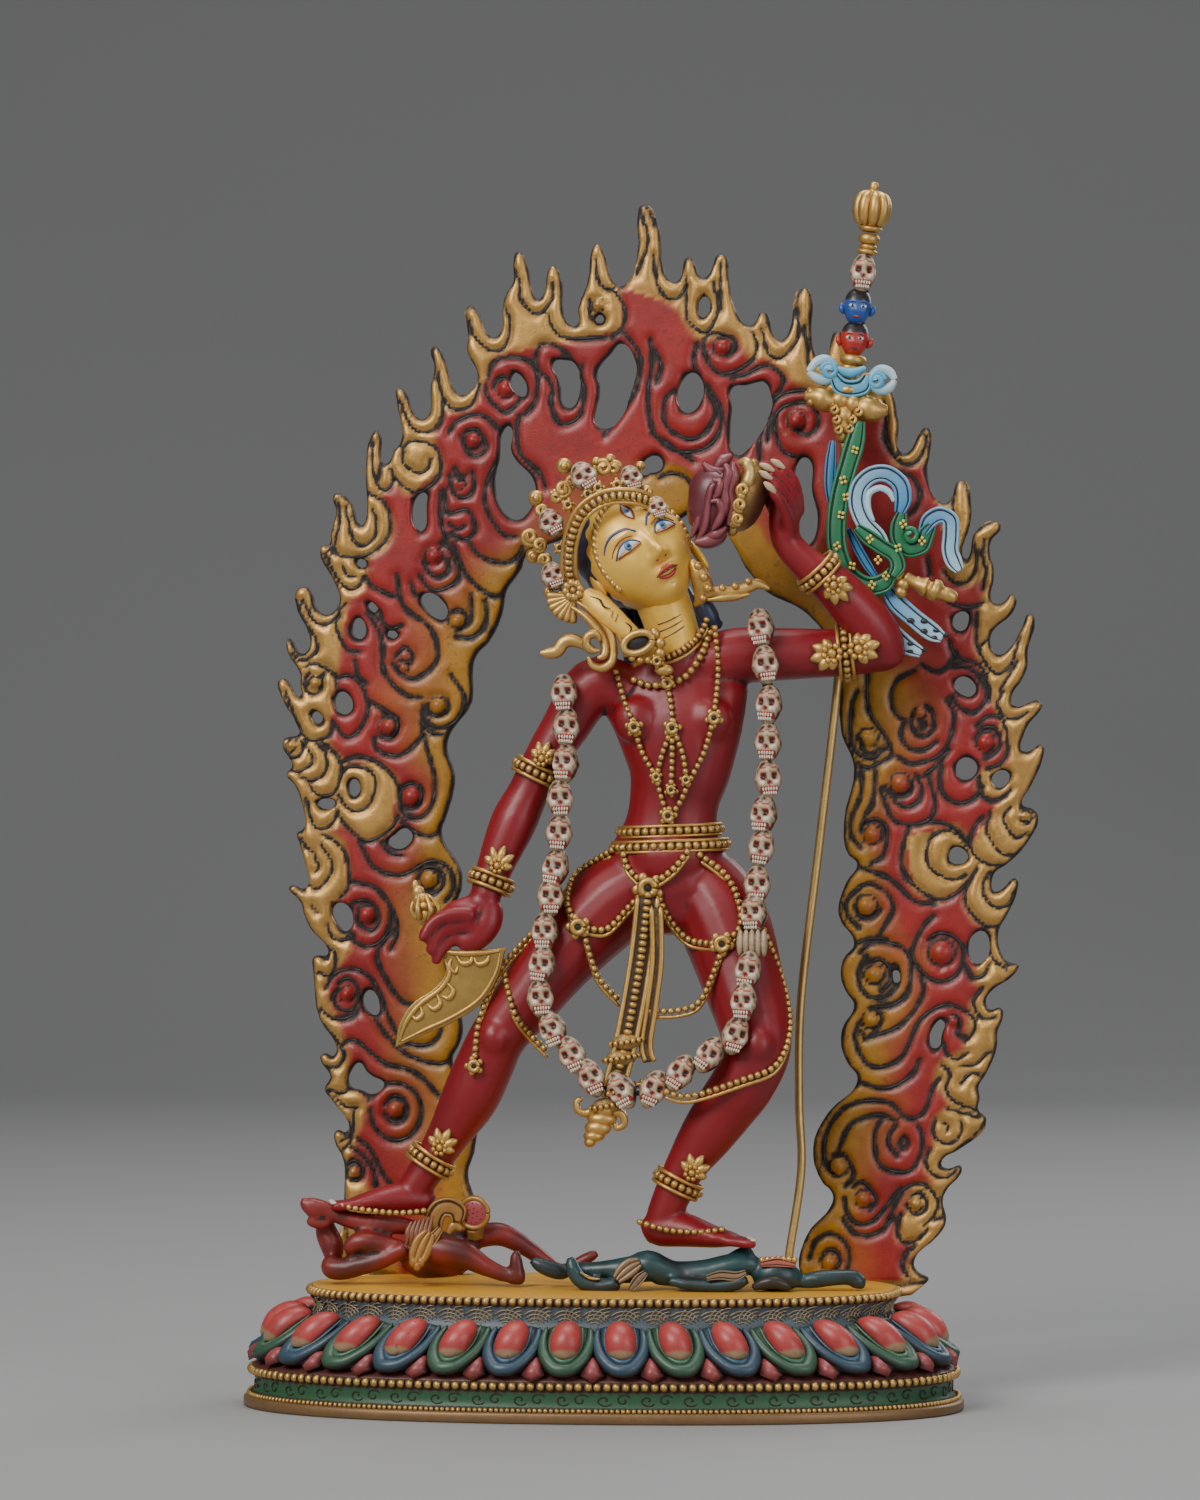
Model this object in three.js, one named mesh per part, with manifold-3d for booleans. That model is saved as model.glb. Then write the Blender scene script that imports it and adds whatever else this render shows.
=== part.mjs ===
// A painted vajrayogini statue: a striding figure with a curved knife, a skull cup and a tall staff,
// treading on two lying figures, on a lotus base and before an openwork flame aureole.
// Millimetres, +Z up. The front faces -Y, and the origin is the middle of the base's underside.
import * as THREE from "three";
import { mergeVertices } from "three/addons/utils/BufferGeometryUtils.js";
import Module from "manifold-3d";

const wasm = await Module();
wasm.setup();

// Driving dimensions
const GAP = 0.3;
const BASE_HALF_LENGTH = 105;
const BASE_DEPTH_RATIO = 0.51;
const BASE_HEIGHT = 35;
const BASE_SQUARENESS = 2.35;
const TOP_HALF_LENGTH = 86.3;
const PETAL_COUNT = 30;
const PLATE_THICKNESS = 4.6;
const PLATE_MIDDLE_Y = 30;
const PLATE_TURN = -0.07;
const STAFF_DIAMETER = 2.5;
const SKULL_RADIUS = 4.6;
const GARLAND_SKULLS = 30;
const FOOT_LEVEL = BASE_HEIGHT + GAP;

const DEPTH = new THREE.Vector3(0, 1, 0);
const UP = new THREE.Vector3(0, 0, 1);

// Solids

// The closed solid of a three.js geometry, with its faces pointing out.
function solid(geometry) {
  const bare = geometry.clone();
  bare.deleteAttribute("normal");
  bare.deleteAttribute("uv");
  const merged = mergeVertices(bare, 1e-4);
  const corners = merged.index.array;
  const kept = [];
  for (let i = 0; i < corners.length; i += 3) {
    const [a, b, c] = [corners[i], corners[i + 1], corners[i + 2]];
    if (a !== b && b !== c && c !== a) kept.push(a, b, c);
  }
  const wrap = (list) =>
    new wasm.Manifold(
      new wasm.Mesh({
        numProp: 3,
        vertProperties: merged.attributes.position.array,
        triVerts: new Uint32Array(list),
      }),
    );
  const made = wrap(kept);
  return made.volume() < 0 ? wrap(kept.reverse()) : made;
}

const join = (shapes) => shapes.map(solid).reduce((sum, next) => sum.add(next));

function geometryOf(made) {
  const mesh = made.getMesh();
  const geometry = new THREE.BufferGeometry();
  geometry.setAttribute("position", new THREE.BufferAttribute(mesh.vertProperties, 3));
  geometry.setIndex(new THREE.BufferAttribute(mesh.triVerts, 1));
  geometry.computeVertexNormals();
  return geometry;
}

// A neighbour that is cut away with the clearance, by cutting it in two places.
function clearOf(made, neighbour, shift) {
  const moved = neighbour.translate(shift.map((part) => part * GAP));
  return made.subtract(neighbour).subtract(moved);
}

// A round tapering limb along a smooth curve. A station is [x, y, z, half width, half depth], and the
// first and last stations are the points where the limb closes.
function limb(stations, sides = 6, rows = stations.length - 1, depth = DEPTH) {
  const centre = new THREE.CatmullRomCurve3(stations.map(([x, y, z]) => new THREE.Vector3(x, y, z)));
  const girth = new THREE.CatmullRomCurve3(stations.map(([, , , w, d = w]) => new THREE.Vector3(w, d, 0)));
  const geometry = new THREE.SphereGeometry(1, sides, rows);
  const place = geometry.attributes.position;
  for (let i = 0; i < place.count; i += 1) {
    const at = new THREE.Vector3().fromBufferAttribute(place, i);
    const along = Math.acos(THREE.MathUtils.clamp(at.y, -1, 1)) / Math.PI;
    const spread = Math.hypot(at.x, at.z);
    const round = spread < 1e-6 ? 0 : 1 / spread;
    const size = girth.getPoint(along);
    const way = centre.getTangent(along);
    const deep = depth.clone().addScaledVector(way, -depth.dot(way)).normalize();
    const side = way.clone().cross(deep);
    const point = centre.getPoint(along);
    point.addScaledVector(side, at.x * round * size.x);
    point.addScaledVector(deep, at.z * round * size.y);
    place.setXYZ(i, point.x, point.y, point.z);
  }
  return geometry;
}

// A bead strand, hem or ribbon of even section along a smooth curve through the points.
function strand(points, width, depth = width, sides = 3, steps = points.length) {
  const path = new THREE.CatmullRomCurve3(points.map((point) => new THREE.Vector3(...point)));
  const section = new THREE.Shape();
  for (let i = 0; i < sides; i += 1) {
    const angle = (2 * Math.PI * i) / sides;
    const corner = [depth * Math.cos(angle), width * Math.sin(angle)];
    if (i === 0) section.moveTo(...corner);
    else section.lineTo(...corner);
  }
  return new THREE.ExtrudeGeometry(section, { steps, extrudePath: path, bevelEnabled: false });
}

// An egg of the given half sizes, turned in the plane of the front view.
function egg([x, y, z], [halfX, halfY, halfZ], turn = 0, sides = 5, rows = 3) {
  const geometry = new THREE.SphereGeometry(1, sides, rows).rotateX(Math.PI / 2);
  geometry.scale(halfX, halfY, halfZ).rotateY(turn);
  return geometry.translate(x, y, z);
}

// Lotus base: stepped oval foot, a ring of plump petals and the flat top, moulded in one.

function ovalPoint(radius, angle) {
  const bend = (value) => Math.sign(value) * Math.abs(value) ** (2 / BASE_SQUARENESS);
  return [radius * bend(Math.cos(angle)), BASE_DEPTH_RATIO * radius * bend(Math.sin(angle))];
}

// Angles of petals and gaps by turns, evenly spaced along the oval's edge.
function evenAngles(count) {
  const fine = 1440;
  const length = [0];
  for (let i = 1; i <= fine; i += 1) {
    const [x0, y0] = ovalPoint(BASE_HALF_LENGTH, (2 * Math.PI * (i - 1)) / fine);
    const [x1, y1] = ovalPoint(BASE_HALF_LENGTH, (2 * Math.PI * i) / fine);
    length.push(length[i - 1] + Math.hypot(x1 - x0, y1 - y0));
  }
  const wanted = Array.from({ length: count }, (_, k) => (k * length[fine]) / count);
  return wanted.map((goal) => (2 * Math.PI * length.findIndex((reached) => reached >= goal - 1e-9)) / fine);
}

function lotusBase() {
  const angles = evenAngles(2 * PETAL_COUNT);
  const slabTop = 3;
  const bandTop = 9.2;
  const beadTop = 12;
  const petalFoot = 14;
  const petalRim = 18;
  const bulge = 22.6;
  const petalTop = 27;
  const rim = 32.4;
  const waist = TOP_HALF_LENGTH - 1.8;
  // Each row is radius, height and how far the gaps between the petals are cut back.
  const profile = [
    [0, 0, 0],
    [BASE_HALF_LENGTH, 0, 0],
    [BASE_HALF_LENGTH, slabTop, 0],
    [BASE_HALF_LENGTH - 2.6, slabTop + 0.2, 0],
    [BASE_HALF_LENGTH - 2.6, bandTop, 0],
    [BASE_HALF_LENGTH - 1.4, beadTop, 0],
    [BASE_HALF_LENGTH - 4.6, petalFoot, 4.5],
    [BASE_HALF_LENGTH - 3.4, petalRim, 5],
    [BASE_HALF_LENGTH - 7.4, bulge, 4],
    [waist, petalTop, 0],
    [TOP_HALF_LENGTH, rim, 0],
    [TOP_HALF_LENGTH, BASE_HEIGHT, 0],
    [0, BASE_HEIGHT, 0],
  ];
  const turned = new THREE.LatheGeometry(profile.map(([r, z]) => new THREE.Vector2(r, z)), angles.length);
  turned.rotateX(Math.PI / 2);
  const place = turned.attributes.position;
  for (let i = 0; i < place.count; i += 1) {
    const spoke = Math.floor(i / profile.length) % angles.length;
    const [radius, height, cut] = profile[i % profile.length];
    const [x, y] = ovalPoint(radius - cut * (spoke % 2), angles[spoke]);
    place.setXYZ(i, x, y, height);
  }
  return solid(turned);
}

// Flame aureole: one openwork plate with flame tongues, raised scrolls and pierced holes.
// Its own plane is X and Z, with the places measured from the base's middle.

const ARCH_OUTER = [
  [-78, FOOT_LEVEL], [-80.5, 72], [-84.5, 105], [-94, 150], [-97, 195], [-95, 222], [-80, 258], [-62, 287],
  [-37, 315], [-12, 322], [14, 330], [44, 317.5], [66, 301], [81, 296], [88, 280], [98, 266], [110, 248],
  [121, 203], [121, 160], [113, 112], [104.5, 76], [96, FOOT_LEVEL + 7], [95, FOOT_LEVEL],
];
const ARCH_INNER = [
  [57.8, FOOT_LEVEL], [57.8, 43], [65.4, 60], [60.5, 73], [71.5, 93], [69, 104], [71.5, 116], [69, 124], [72, 134],
  [68.4, 146], [73, 157], [69.6, 166], [73.4, 187], [68.6, 202], [67, 214], [60, 227], [43, 236.5], [31, 251],
  [10, 261], [-10, 256], [-31, 243], [-40.5, 219], [-42, 203], [-48, 192], [-47, 182], [-50.5, 166], [-45.5, 150],
  [-44.4, 114], [-46.5, 99], [-43, 76], [-45, 60], [-45, FOOT_LEVEL],
];

// Tips of the flame tongues, from the foot of the left leg over the top to the right leg.
const FLAME_TIPS = [
  [-84.8, 90], [-86.2, 100.5], [-89.2, 129], [-96.3, 149.5], [-94, 166.5], [-99.5, 185], [-100, 212],
  [-97.2, 225.5], [-93.4, 239.5], [-86.8, 252], [-82.4, 267.5], [-70.5, 286.5], [-64, 299.5],
  [-53.3, 311], [-43, 323], [-27.9, 339.5], [-17.8, 335], [-4.7, 341.5], [9.5, 352.5], [22.5, 337],
  [32.9, 338], [45, 320.5], [56.9, 328], [66.7, 315], [94, 286], [103.7, 271], [115, 258.5],
  [118.8, 237], [124.5, 231.5], [127.4, 205.5], [128, 192.5], [126.3, 171], [119.4, 153], [120.6, 129],
  [116.2, 115], [114.7, 104], [111.7, 83], [104, 67], [99.9, 54], [96, 37.5],
];

// Raised scrolls: middle, radius and the angle where the curl's tail runs in.
const SCROLLS = [
  [-3.3, 321.4, 6.5, 4], [-31.4, 297.7, 6.8, 3], [-58.7, 277, 6.4, 1], [-52.2, 247.3, 6.2, 2], [-61.9, 219.2, 7, 3],
  [-51.6, 204.3, 6.4, 0], [-60.2, 176.2, 5.6, 1], [-72.9, 142.1, 6.8, 2], [-64, 83.7, 6.8, 3], [34.7, 309.6, 6.4, 2],
  [56, 287.3, 7.4, 4], [93.1, 199.3, 6.6, 0], [77.6, 188, 6, 3], [101.9, 161.4, 8, 4], [76.8, 146.5, 6.6, 2],
  [98.4, 131.7, 7, 5], [80.2, 120, 7.6, 3], [87.1, 78.4, 7.4, 3], [76.8, 56, 6.6, 5],
];

// Pierced holes: middle, half width, half height and turn.
const HOLES = [
  [-75.9, 227.2, 2.4, 3, 0], [-80, 205, 2.7, 3.6, 0], [-77, 179.8, 2.1, 3, 0.3], [-63.1, 165, 3.8, 2.7, 0.3],
  [-80.6, 141.8, 2.4, 4.2, 0], [-71.7, 116, 2.4, 4.2, 0.3], [-72, 92.6, 3.6, 3.6, 0], [-53, 233.7, 4, 3.2, 0.5],
  [-57, 262.7, 2.2, 5, 0.2], [-28.7, 271, 4.5, 12, 0.15], [-13, 299.8, 3, 6.5, -0.3], [0.8, 298.6, 2.5, 13.8, -0.39],
  [23.4, 296.8, 2.1, 6, -0.1], [40.8, 290.5, 4.8, 9.6, 0.1], [12.2, 274.9, 3.6, 3.6, 0.8], [57.8, 265.1, 2.9, 12.4, 0.05],
  [103.7, 229.5, 2.7, 3, 0], [105.2, 210.3, 3, 2.4, 0.4], [105.2, 185.7, 3.2, 3.4, 0], [109, 133.8, 2.9, 4.6, 0.2],
  [97.5, 108, 1.8, 4.6, 0.2],
];

const flat = ([x, z]) => new THREE.Vector2(x, z);

// A shape in the plate's plane, made into a slab around the plate's middle.
function slab(shape, thickness, segments) {
  const options = { depth: thickness, bevelEnabled: false, curveSegments: segments };
  return new THREE.ExtrudeGeometry(shape, options).rotateX(Math.PI / 2).translate(0, thickness / 2, 0);
}

function archBand() {
  const outer = new THREE.SplineCurve(ARCH_OUTER.map(flat));
  const inner = new THREE.SplineCurve(ARCH_INNER.map(flat));
  const shape = new THREE.Shape([...outer.getPoints(22), ...inner.getPoints(31)]);
  return slab(shape, PLATE_THICKNESS, 1);
}

// A tongue rises from the band below its tip, swells to one side and ends in a bent point.
function flame(tip) {
  const drop = 10;
  const bend = 4.2;
  const edge = new THREE.SplineCurve(ARCH_OUTER.map(flat)).getPoints(150);
  const below = new THREE.Vector2(tip.x, tip.y - drop);
  const near = edge.reduce((best, point) => (point.distanceTo(below) < best.distanceTo(below) ? point : best));
  const inward = new THREE.Vector2(14, 190).sub(near).normalize();
  const root = near.clone().addScaledVector(inward, 2);
  const way = tip.clone().sub(root);
  const side = new THREE.Vector2(-way.y, way.x).normalize();
  const half = 3.4 + 0.12 * way.length();
  const at = (along, across) => root.clone().addScaledVector(way, along).addScaledVector(side, across);
  const shape = new THREE.Shape();
  const start = at(0, half);
  const [a1, a2] = [at(0.45, half + bend), at(0.7, bend * 0.3)];
  const [b1, b2] = [at(0.75, bend * 0.2 - 1), at(0.5, bend - half)];
  const end = at(0, -half);
  shape.moveTo(start.x, start.y);
  shape.bezierCurveTo(a1.x, a1.y, a2.x, a2.y, tip.x, tip.y);
  shape.bezierCurveTo(b1.x, b1.y, b2.x, b2.y, end.x, end.y);
  return slab(shape, PLATE_THICKNESS - 0.8, 2);
}

// A ridge that winds inwards to the scroll's middle.
function scroll([x, z, radius, start]) {
  const turns = 1.1;
  const points = Array.from({ length: 9 }, (_, i) => {
    const share = i / 8;
    const angle = start - 2 * Math.PI * turns * share * (x < 14 ? 1 : -1);
    const reach = radius * (1 - 0.66 * share);
    return [x + reach * Math.cos(angle), -PLATE_THICKNESS / 2, z + reach * Math.sin(angle)];
  });
  return strand(points, 1.4, 1.7, 3, 5);
}

function hole([x, z, halfWidth, halfHeight, turn]) {
  const shape = new THREE.Shape().absellipse(0, 0, halfWidth, halfHeight, 0, 2 * Math.PI, false, turn);
  return slab(shape, 3 * PLATE_THICKNESS, 3).translate(x, 0, z);
}

function flameAureole() {
  const tongues = FLAME_TIPS.map(flat).map(flame);
  const plate = join([archBand(), ...tongues]).subtract(join(HOLES.map(hole)));
  const carved = plate.add(join(SCROLLS.map(scroll)));
  const below = new THREE.BoxGeometry(400, 60, 40).translate(0, 0, FOOT_LEVEL - 20);
  return carved.subtract(solid(below));
}

// Figure: body, dress of bone beads, crown and jewels, cast in one.

const HEAD = [10.3, -4, 248.5];
const HEAD_TILT = -0.58;

function torso() {
  const trunk = limb([
    [20, 2, 137, 10, 8], [19.5, 2, 143, 17, 11], [18.2, 2, 151, 22.6, 13.5], [18.4, 1, 159, 16.4, 12],
    [18.6, 0.6, 160.6, 16.6, 14], [18.8, 0.4, 164.6, 15.6, 12.8], [19, 0.3, 166, 13.2, 10.8], [19.2, 0.2, 167.6, 15.2, 12],
    [19.6, 0, 171, 14.6, 11.6], [20, 0, 172.6, 12.6, 9.5], [21.8, -1, 186, 15, 10.5], [21.6, -1, 200, 19.2, 11],
    [20.4, 0, 210, 21.6, 9], [19.6, 0, 217, 12, 7.5], [19.5, 0, 221, 5, 5],
  ], 8);
  const breasts = [egg([9.5, -9, 200], [7, 5.5, 6.5]), egg([30, -9, 200], [7, 5.5, 6.5])];
  const neck = limb([[20.5, 0, 211, 6], [20.5, -0.6, 217, 9, 8.4], [21, -1, 219.4, 10.8, 10], [21.2, -1, 222.2, 9.8, 9.2],
    [20, -1.6, 225, 7.2], [17, -3, 233, 6.8], [12, -4, 243, 5]], 7);
  return [trunk, ...breasts, neck];
}

function head() {
  const [x, y, z] = HEAD;
  const skull = egg(HEAD, [13.6, 14.5, 17], HEAD_TILT, 8, 6);
  const jaw = egg([x + 5.4, y - 3.5, z - 8.5], [9, 9.5, 8.6], HEAD_TILT, 6, 4);
  const nose = egg([x + 4.6, y - 14.2, z - 1.2], [2, 3.4, 3.8], HEAD_TILT, 4, 3);
  const hair = egg([x + 1, y + 6, z + 1], [14.6, 12.5, 16.5], HEAD_TILT, 7, 5);
  const nape = limb([[12, 5, 250, 8], [17, 7, 240, 9.6], [25, 8, 230, 7], [32, 8, 220, 1.5]], 5);
  return [skull, jaw, nose, hair, nape];
}

// The diadem stands up round the face like a fan, with five skulls and curled leaves on its front.
function crown() {
  const diadem = egg([-2.4, -6.5, 256], [19.5, 5.6, 21.5], HEAD_TILT, 9, 4);
  const skulls = [[-6.1, -12, 270.4], [7.9, -12, 270], [-15.7, -10.6, 257.8], [-15.2, -9, 242.5], [14.6, -13, 262]];
  const curls = [[-0.6, -9, 274.4], [-13.6, -9, 267.6], [-21.6, -7, 251]];
  const side = limb([[-12, -5, 250, 4], [-14.4, -5, 242, 4], [-15, -4.4, 234, 5.4, 4], [-14, -3, 227.6, 3]], 5);
  const flower = egg([-8.6, -9, 236], [4.2, 5, 4.4]);
  return [
    diadem,
    ...skulls.map((place) => egg(place, [4, 4.6, 4.8], HEAD_TILT)),
    ...curls.map((place) => egg(place, [4, 4.4, 4.2])),
    side,
    flower,
  ];
}

function jewels() {
  const hoop = new THREE.TorusGeometry(4.3, 1.3, 3, 7).scale(1, 0.75, 1).rotateX(Math.PI / 2).rotateY(0.35);
  const lobe = limb([[-9, -7, 243, 3], [-3, -9.4, 236, 5.4, 4], [4, -10.6, 228.6, 5, 3.6], [10, -10.6, 223, 3, 2.6]], 5);
  const lock = strand([[1, -10, 231], [2.6, -13, 222], [-1, -12, 214.5], [-6, -11, 220.6], [-12, -10, 222.6], [-19, -9, 219.6]],
    3, 1.8, 4, 8);
  const pendant = limb([[23, -1, 245, 2], [28, -1, 240, 3.4], [33, 1, 231, 1.6]], 5);
  const lockBack = strand([[27, 0, 238], [38, 0, 237.8], [47, 0, 237.6]], 2.2, 2.2);
  return [hoop.translate(9.9, -12, 222.5), lobe, lock, pendant, lockBack];
}

function necklaces() {
  const long = strand([[31.5, -7.4, 223], [33.4, -10.6, 212], [32.5, -14.5, 200], [17.8, -12.4, 173.5], [7, -14.5, 199],
    [3, -8, 217]], 1.5, 1.5, 3, 9);
  const drop = limb([[19.8, -9, 216, 4], [19.5, -12.4, 209, 6.4, 2], [19.3, -13, 199, 3.2, 2.2], [18.8, -13, 185, 4.6, 2.2],
    [17.8, -11, 173.4, 2, 2]], 5);
  return [long, drop];
}

function bosses() {
  return [egg([12.6, -14.4, 151.4], [4.4, 3.4, 4.4]), egg([-7.6, -13, 140.4], [3.4, 3, 3.4]),
    egg([34.6, -15.6, 135.2], [3.4, 3, 3.4])];
}

// Front pendant with its fringe, and the bead swags over hips and thighs.
function skirt() {
  const pendant = limb([[12.8, -14, 152, 3, 2], [13.8, -15.4, 147, 4.4, 2], [11, -17, 118, 5.6, 2], [6.6, -18, 103, 5.2, 2],
    [2.6, -18, 94, 3, 2], [0, -18, 88, 6, 2.6], [-4.8, -17.5, 75.6, 3, 2.4]], 4);
  const routes = [
    [[4.6, -12, 163], [6.4, -15, 156], [13, -15, 151.6], [20, -15, 157], [24.5, -13, 163]],
    [[5, -9.5, 162], [-8.8, -8, 155], [-7.6, -12.6, 140.4], [3, -15, 139.4], [11, -15.4, 149.5]],
    [[-7, -13.4, 139], [-2.4, -16, 125.5], [5.4, -18, 117]],
    [[16, -15.4, 149.6], [21, -15.4, 140], [34, -16, 134.4], [40, -13, 145], [26, -12.8, 162]],
    [[34, -16, 134.6], [27.6, -19, 119.6], [9, -18.4, 116]],
    [[44, -13, 138.5], [52.4, -16, 124], [54, -21, 108.4], [46, -23.6, 96.6], [18, -20.8, 90.4]],
    [[-17.5, -10, 138.5], [-33, -10, 121], [-37.6, -9, 101]],
  ];
  return [pendant, ...routes.map((route) => strand(route, 1.7, 1.7))];
}

function arms() {
  const right = limb([[8, 0, 208, 8], [-3, 0, 211, 8], [-12, -1, 197, 7], [-17, -2, 189.6, 6.4], [-18, -2, 188, 8.2],
    [-21.6, -2, 180, 8], [-22.4, -2, 178.4, 6.1], [-26.4, -3, 169.5, 6.9], [-31.6, -5, 156, 5.4], [-32.2, -5.6, 154.4, 6.7],
    [-34, -6.4, 148, 6.5], [-34.8, -7, 146.2, 4.8], [-39, -7.8, 141.6, 4]]);
  const fist = limb([[-32.5, -7, 146, 3], [-38, -8, 142.6, 6.6, 5.4], [-46, -9, 139.6, 7, 6], [-52.5, -9, 139.6, 4]]);
  const leftUpper = limb([[22, 0, 213, 8], [36, 1, 218.2, 8.4], [60, 2.6, 219, 7.6], [61.4, 2.6, 219, 9.4],
    [66.6, 3, 219.4, 9.2], [68.4, 3, 219.6, 7.4], [79.6, 3, 220.6, 6.9], [86.4, 3, 222, 4]]);
  const leftFore = limb([[82.6, 3, 214.6, 5], [81, 2, 221.6, 6.6], [76, 0, 228.8, 7.3], [66.4, -3, 239, 6.2],
    [65.6, -3.2, 239.8, 7.6], [60, -4.6, 245.2, 7.4], [58.6, -4.8, 246.4, 4.9], [55.6, -5.2, 250.6, 4.7], [53, -5.6, 255, 4]]);
  const palm = limb([[56.5, -5, 248, 4], [54, -5.4, 254.6, 6.4, 4.6], [52.8, -6, 264, 5.8, 5], [52.4, -6, 269, 4]], 5);
  const fingers = limb([[52.6, -5.6, 260, 2.4, 5], [53, -6, 268.6, 2.6, 5.4], [49.6, -6.4, 273.6, 2.2, 4.8],
    [43, -7, 275, 1.6, 3.6]], 5);
  return [right, fist, leftUpper, leftFore, palm, fingers];
}

function legs() {
  const right = limb([[14, 2, 153, 10], [2.6, 2, 147, 12.8], [-12, 0, 132, 10.9], [-30, -3, 108.6, 8.3], [-38.8, -1, 89.5, 8.8],
    [-47.6, 0, 75.2, 6.8], [-48.8, 0, 73.8, 8.2], [-52, 0, 68.6, 8], [-53.2, 0, 67, 5.8], [-57, 0, 61.6, 5], [-58, 0, 58, 4]]);
  const rightFoot = limb([[-46, 0, 60.8, 3], [-52, 0, 61, 5, 5.6], [-64, -1.6, 60.2, 4.4, 6], [-76, -3.4, 59.2, 2.4, 4.8],
    [-79.6, -4, 59, 1]]);
  const left = limb([[27, 2, 155, 10], [34.4, 0, 143, 13], [41, -6, 124, 11.8], [45, -12, 105, 10], [39.6, -12, 94, 9.6],
    [29.6, -10, 79, 8.2], [24, -9.4, 69.8, 6.6], [23.2, -9.2, 68.4, 8.2], [20.6, -9, 62, 8.2], [19.6, -9, 60.6, 5.8],
    [17.4, -9, 54, 5.4], [16.4, -9, 50, 4]]);
  const leftFoot = limb([[8.8, -8.4, 52.8, 3], [14, -8.8, 52.8, 5.8, 5.4], [28, -11, 51.6, 4.8, 6.2],
    [41, -13.6, 50.2, 2.6, 5.2], [45, -14.2, 50, 1]]);
  return [right, rightFoot, left, leftFoot];
}

// Skull garland: moulded as one chain of skulls that hangs from both shoulders to the knees.

const GARLAND_ROUTE = [
  [-11.5, -9.5, 208], [-11.4, -11, 193], [-13, -11.5, 177], [-14.4, -13.5, 157.5], [-16.4, -17.5, 138.6],
  [-17.6, -17.8, 119.5], [-13.8, -18.5, 110.6], [-2.6, -20, 96.2], [10.6, -21.5, 91.8], [23, -22.5, 97.6], [39.6, -25, 109],
  [42, -24, 122.6], [44.2, -19.5, 144], [46.2, -15, 164.8], [47.6, -12.6, 186.4], [47.8, -11.6, 205.4], [47, -10.6, 216.2],
  [45.6, -9.6, 231],
];

function skullGarland() {
  const cordShare = 0.5;
  const route = new THREE.CatmullRomCurve3(GARLAND_ROUTE.map((point) => new THREE.Vector3(...point)));
  const places = Array.from({ length: 2 * GARLAND_SKULLS + 1 }, (_, i) => {
    const { x, y, z } = route.getPointAt(i / (2 * GARLAND_SKULLS));
    return [x, y, z, SKULL_RADIUS * (i % 2 ? 1 : cordShare)];
  });
  return solid(limb(places, 5));
}

// Curved knife: a crescent blade under a short vajra handle.

const KNIFE_Y = -9;

function curvedKnife() {
  const outline = new THREE.Shape();
  outline.moveTo(-51.6, 137.6);
  outline.lineTo(-30.2, 134.6);
  outline.bezierCurveTo(-29.8, 124, -38, 110.6, -60.6, 105);
  outline.bezierCurveTo(-55, 112, -50, 122, -51.6, 137.6);
  const blade = slab(outline, 2.4, 5).translate(0, KNIFE_Y, 0);
  const handle = limb([[-46.6, KNIFE_Y, 130.6, 2], [-48, KNIFE_Y, 134, 2.2], [-52, KNIFE_Y, 143.6, 2.2],
    [-53.2, KNIFE_Y, 146.4, 4], [-54.8, KNIFE_Y, 150.4, 4], [-56.6, KNIFE_Y, 155, 1]]);
  return join([blade, handle]);
}

// Skull cup: a gold bowl lying on its side in the raised hand, with its brimming contents.

function skullCup() {
  const bowl = limb([[51.6, -9, 259.3, 2], [48.4, -9, 260.4, 8.4, 7.4], [44, -9, 262, 11.6, 10], [37.4, -9, 264.4, 12.6, 10.6],
    [36.6, -9, 264.7, 4]], 8);
  const spill = limb([[45, -9, 265, 4], [39, -10, 269.6, 6, 5], [32, -10, 268.6, 6.8, 6.4], [30, -10.5, 260, 5.4, 5.6],
    [30, -10.5, 252, 5, 5], [24, -10, 250.4, 2]]);
  return join([bowl, spill]);
}

// Staff: a bent metal rod that stands on the base behind the figure, with a carved finial.

const STAFF_ROUTE = [
  [53.2, 10, FOOT_LEVEL + 0.4], [53.7, 10.2, 43], [57.2, 11, 68], [56.5, 12, 88.5], [57, 12.6, 118], [62, 13.2, 162],
  [67.6, 13.4, 213], [68.6, 13.4, 245], [68.8, 13, 281],
];

function staffRod() {
  return solid(strand(STAFF_ROUTE, STAFF_DIAMETER / 2, STAFF_DIAMETER / 2, 6, 11));
}

// The finial is one turned shape (height and radius) with two carved cross pieces.
function staffFinial() {
  const [x, y, base] = [68.8, 13, 281.6];
  const lean = 0.122;
  const place = (height, radius) => [x + lean * (height - base), y, height, radius];
  const turned = [[base, 2], [283, 4.2], [288, 4.2], [290.4, 2.8], [303.6, 3], [306, 4.7], [312.6, 4.7], [314.4, 3.2],
    [316.4, 4.8], [323, 4.8], [325, 3.2], [327, 4.8], [334, 4.7], [336, 2.8], [341.4, 2.4], [344.2, 5.6], [349.4, 6.2],
    [352.4, 2.8], [356, 0.8]].map(([height, radius]) => place(height, radius));
  const collar = egg(place(299.4).slice(0, 3), [13, 5.4, 3.4], 0.05, 6, 3);
  const cross = egg(place(292).slice(0, 3), [12.8, 5.2, 3.6], 0.03, 6, 3);
  return join([limb(turned, 5), collar, cross]);
}

// Staff ribbons: stiff painted scarf tails and a small gold bell handle, in one.

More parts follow.
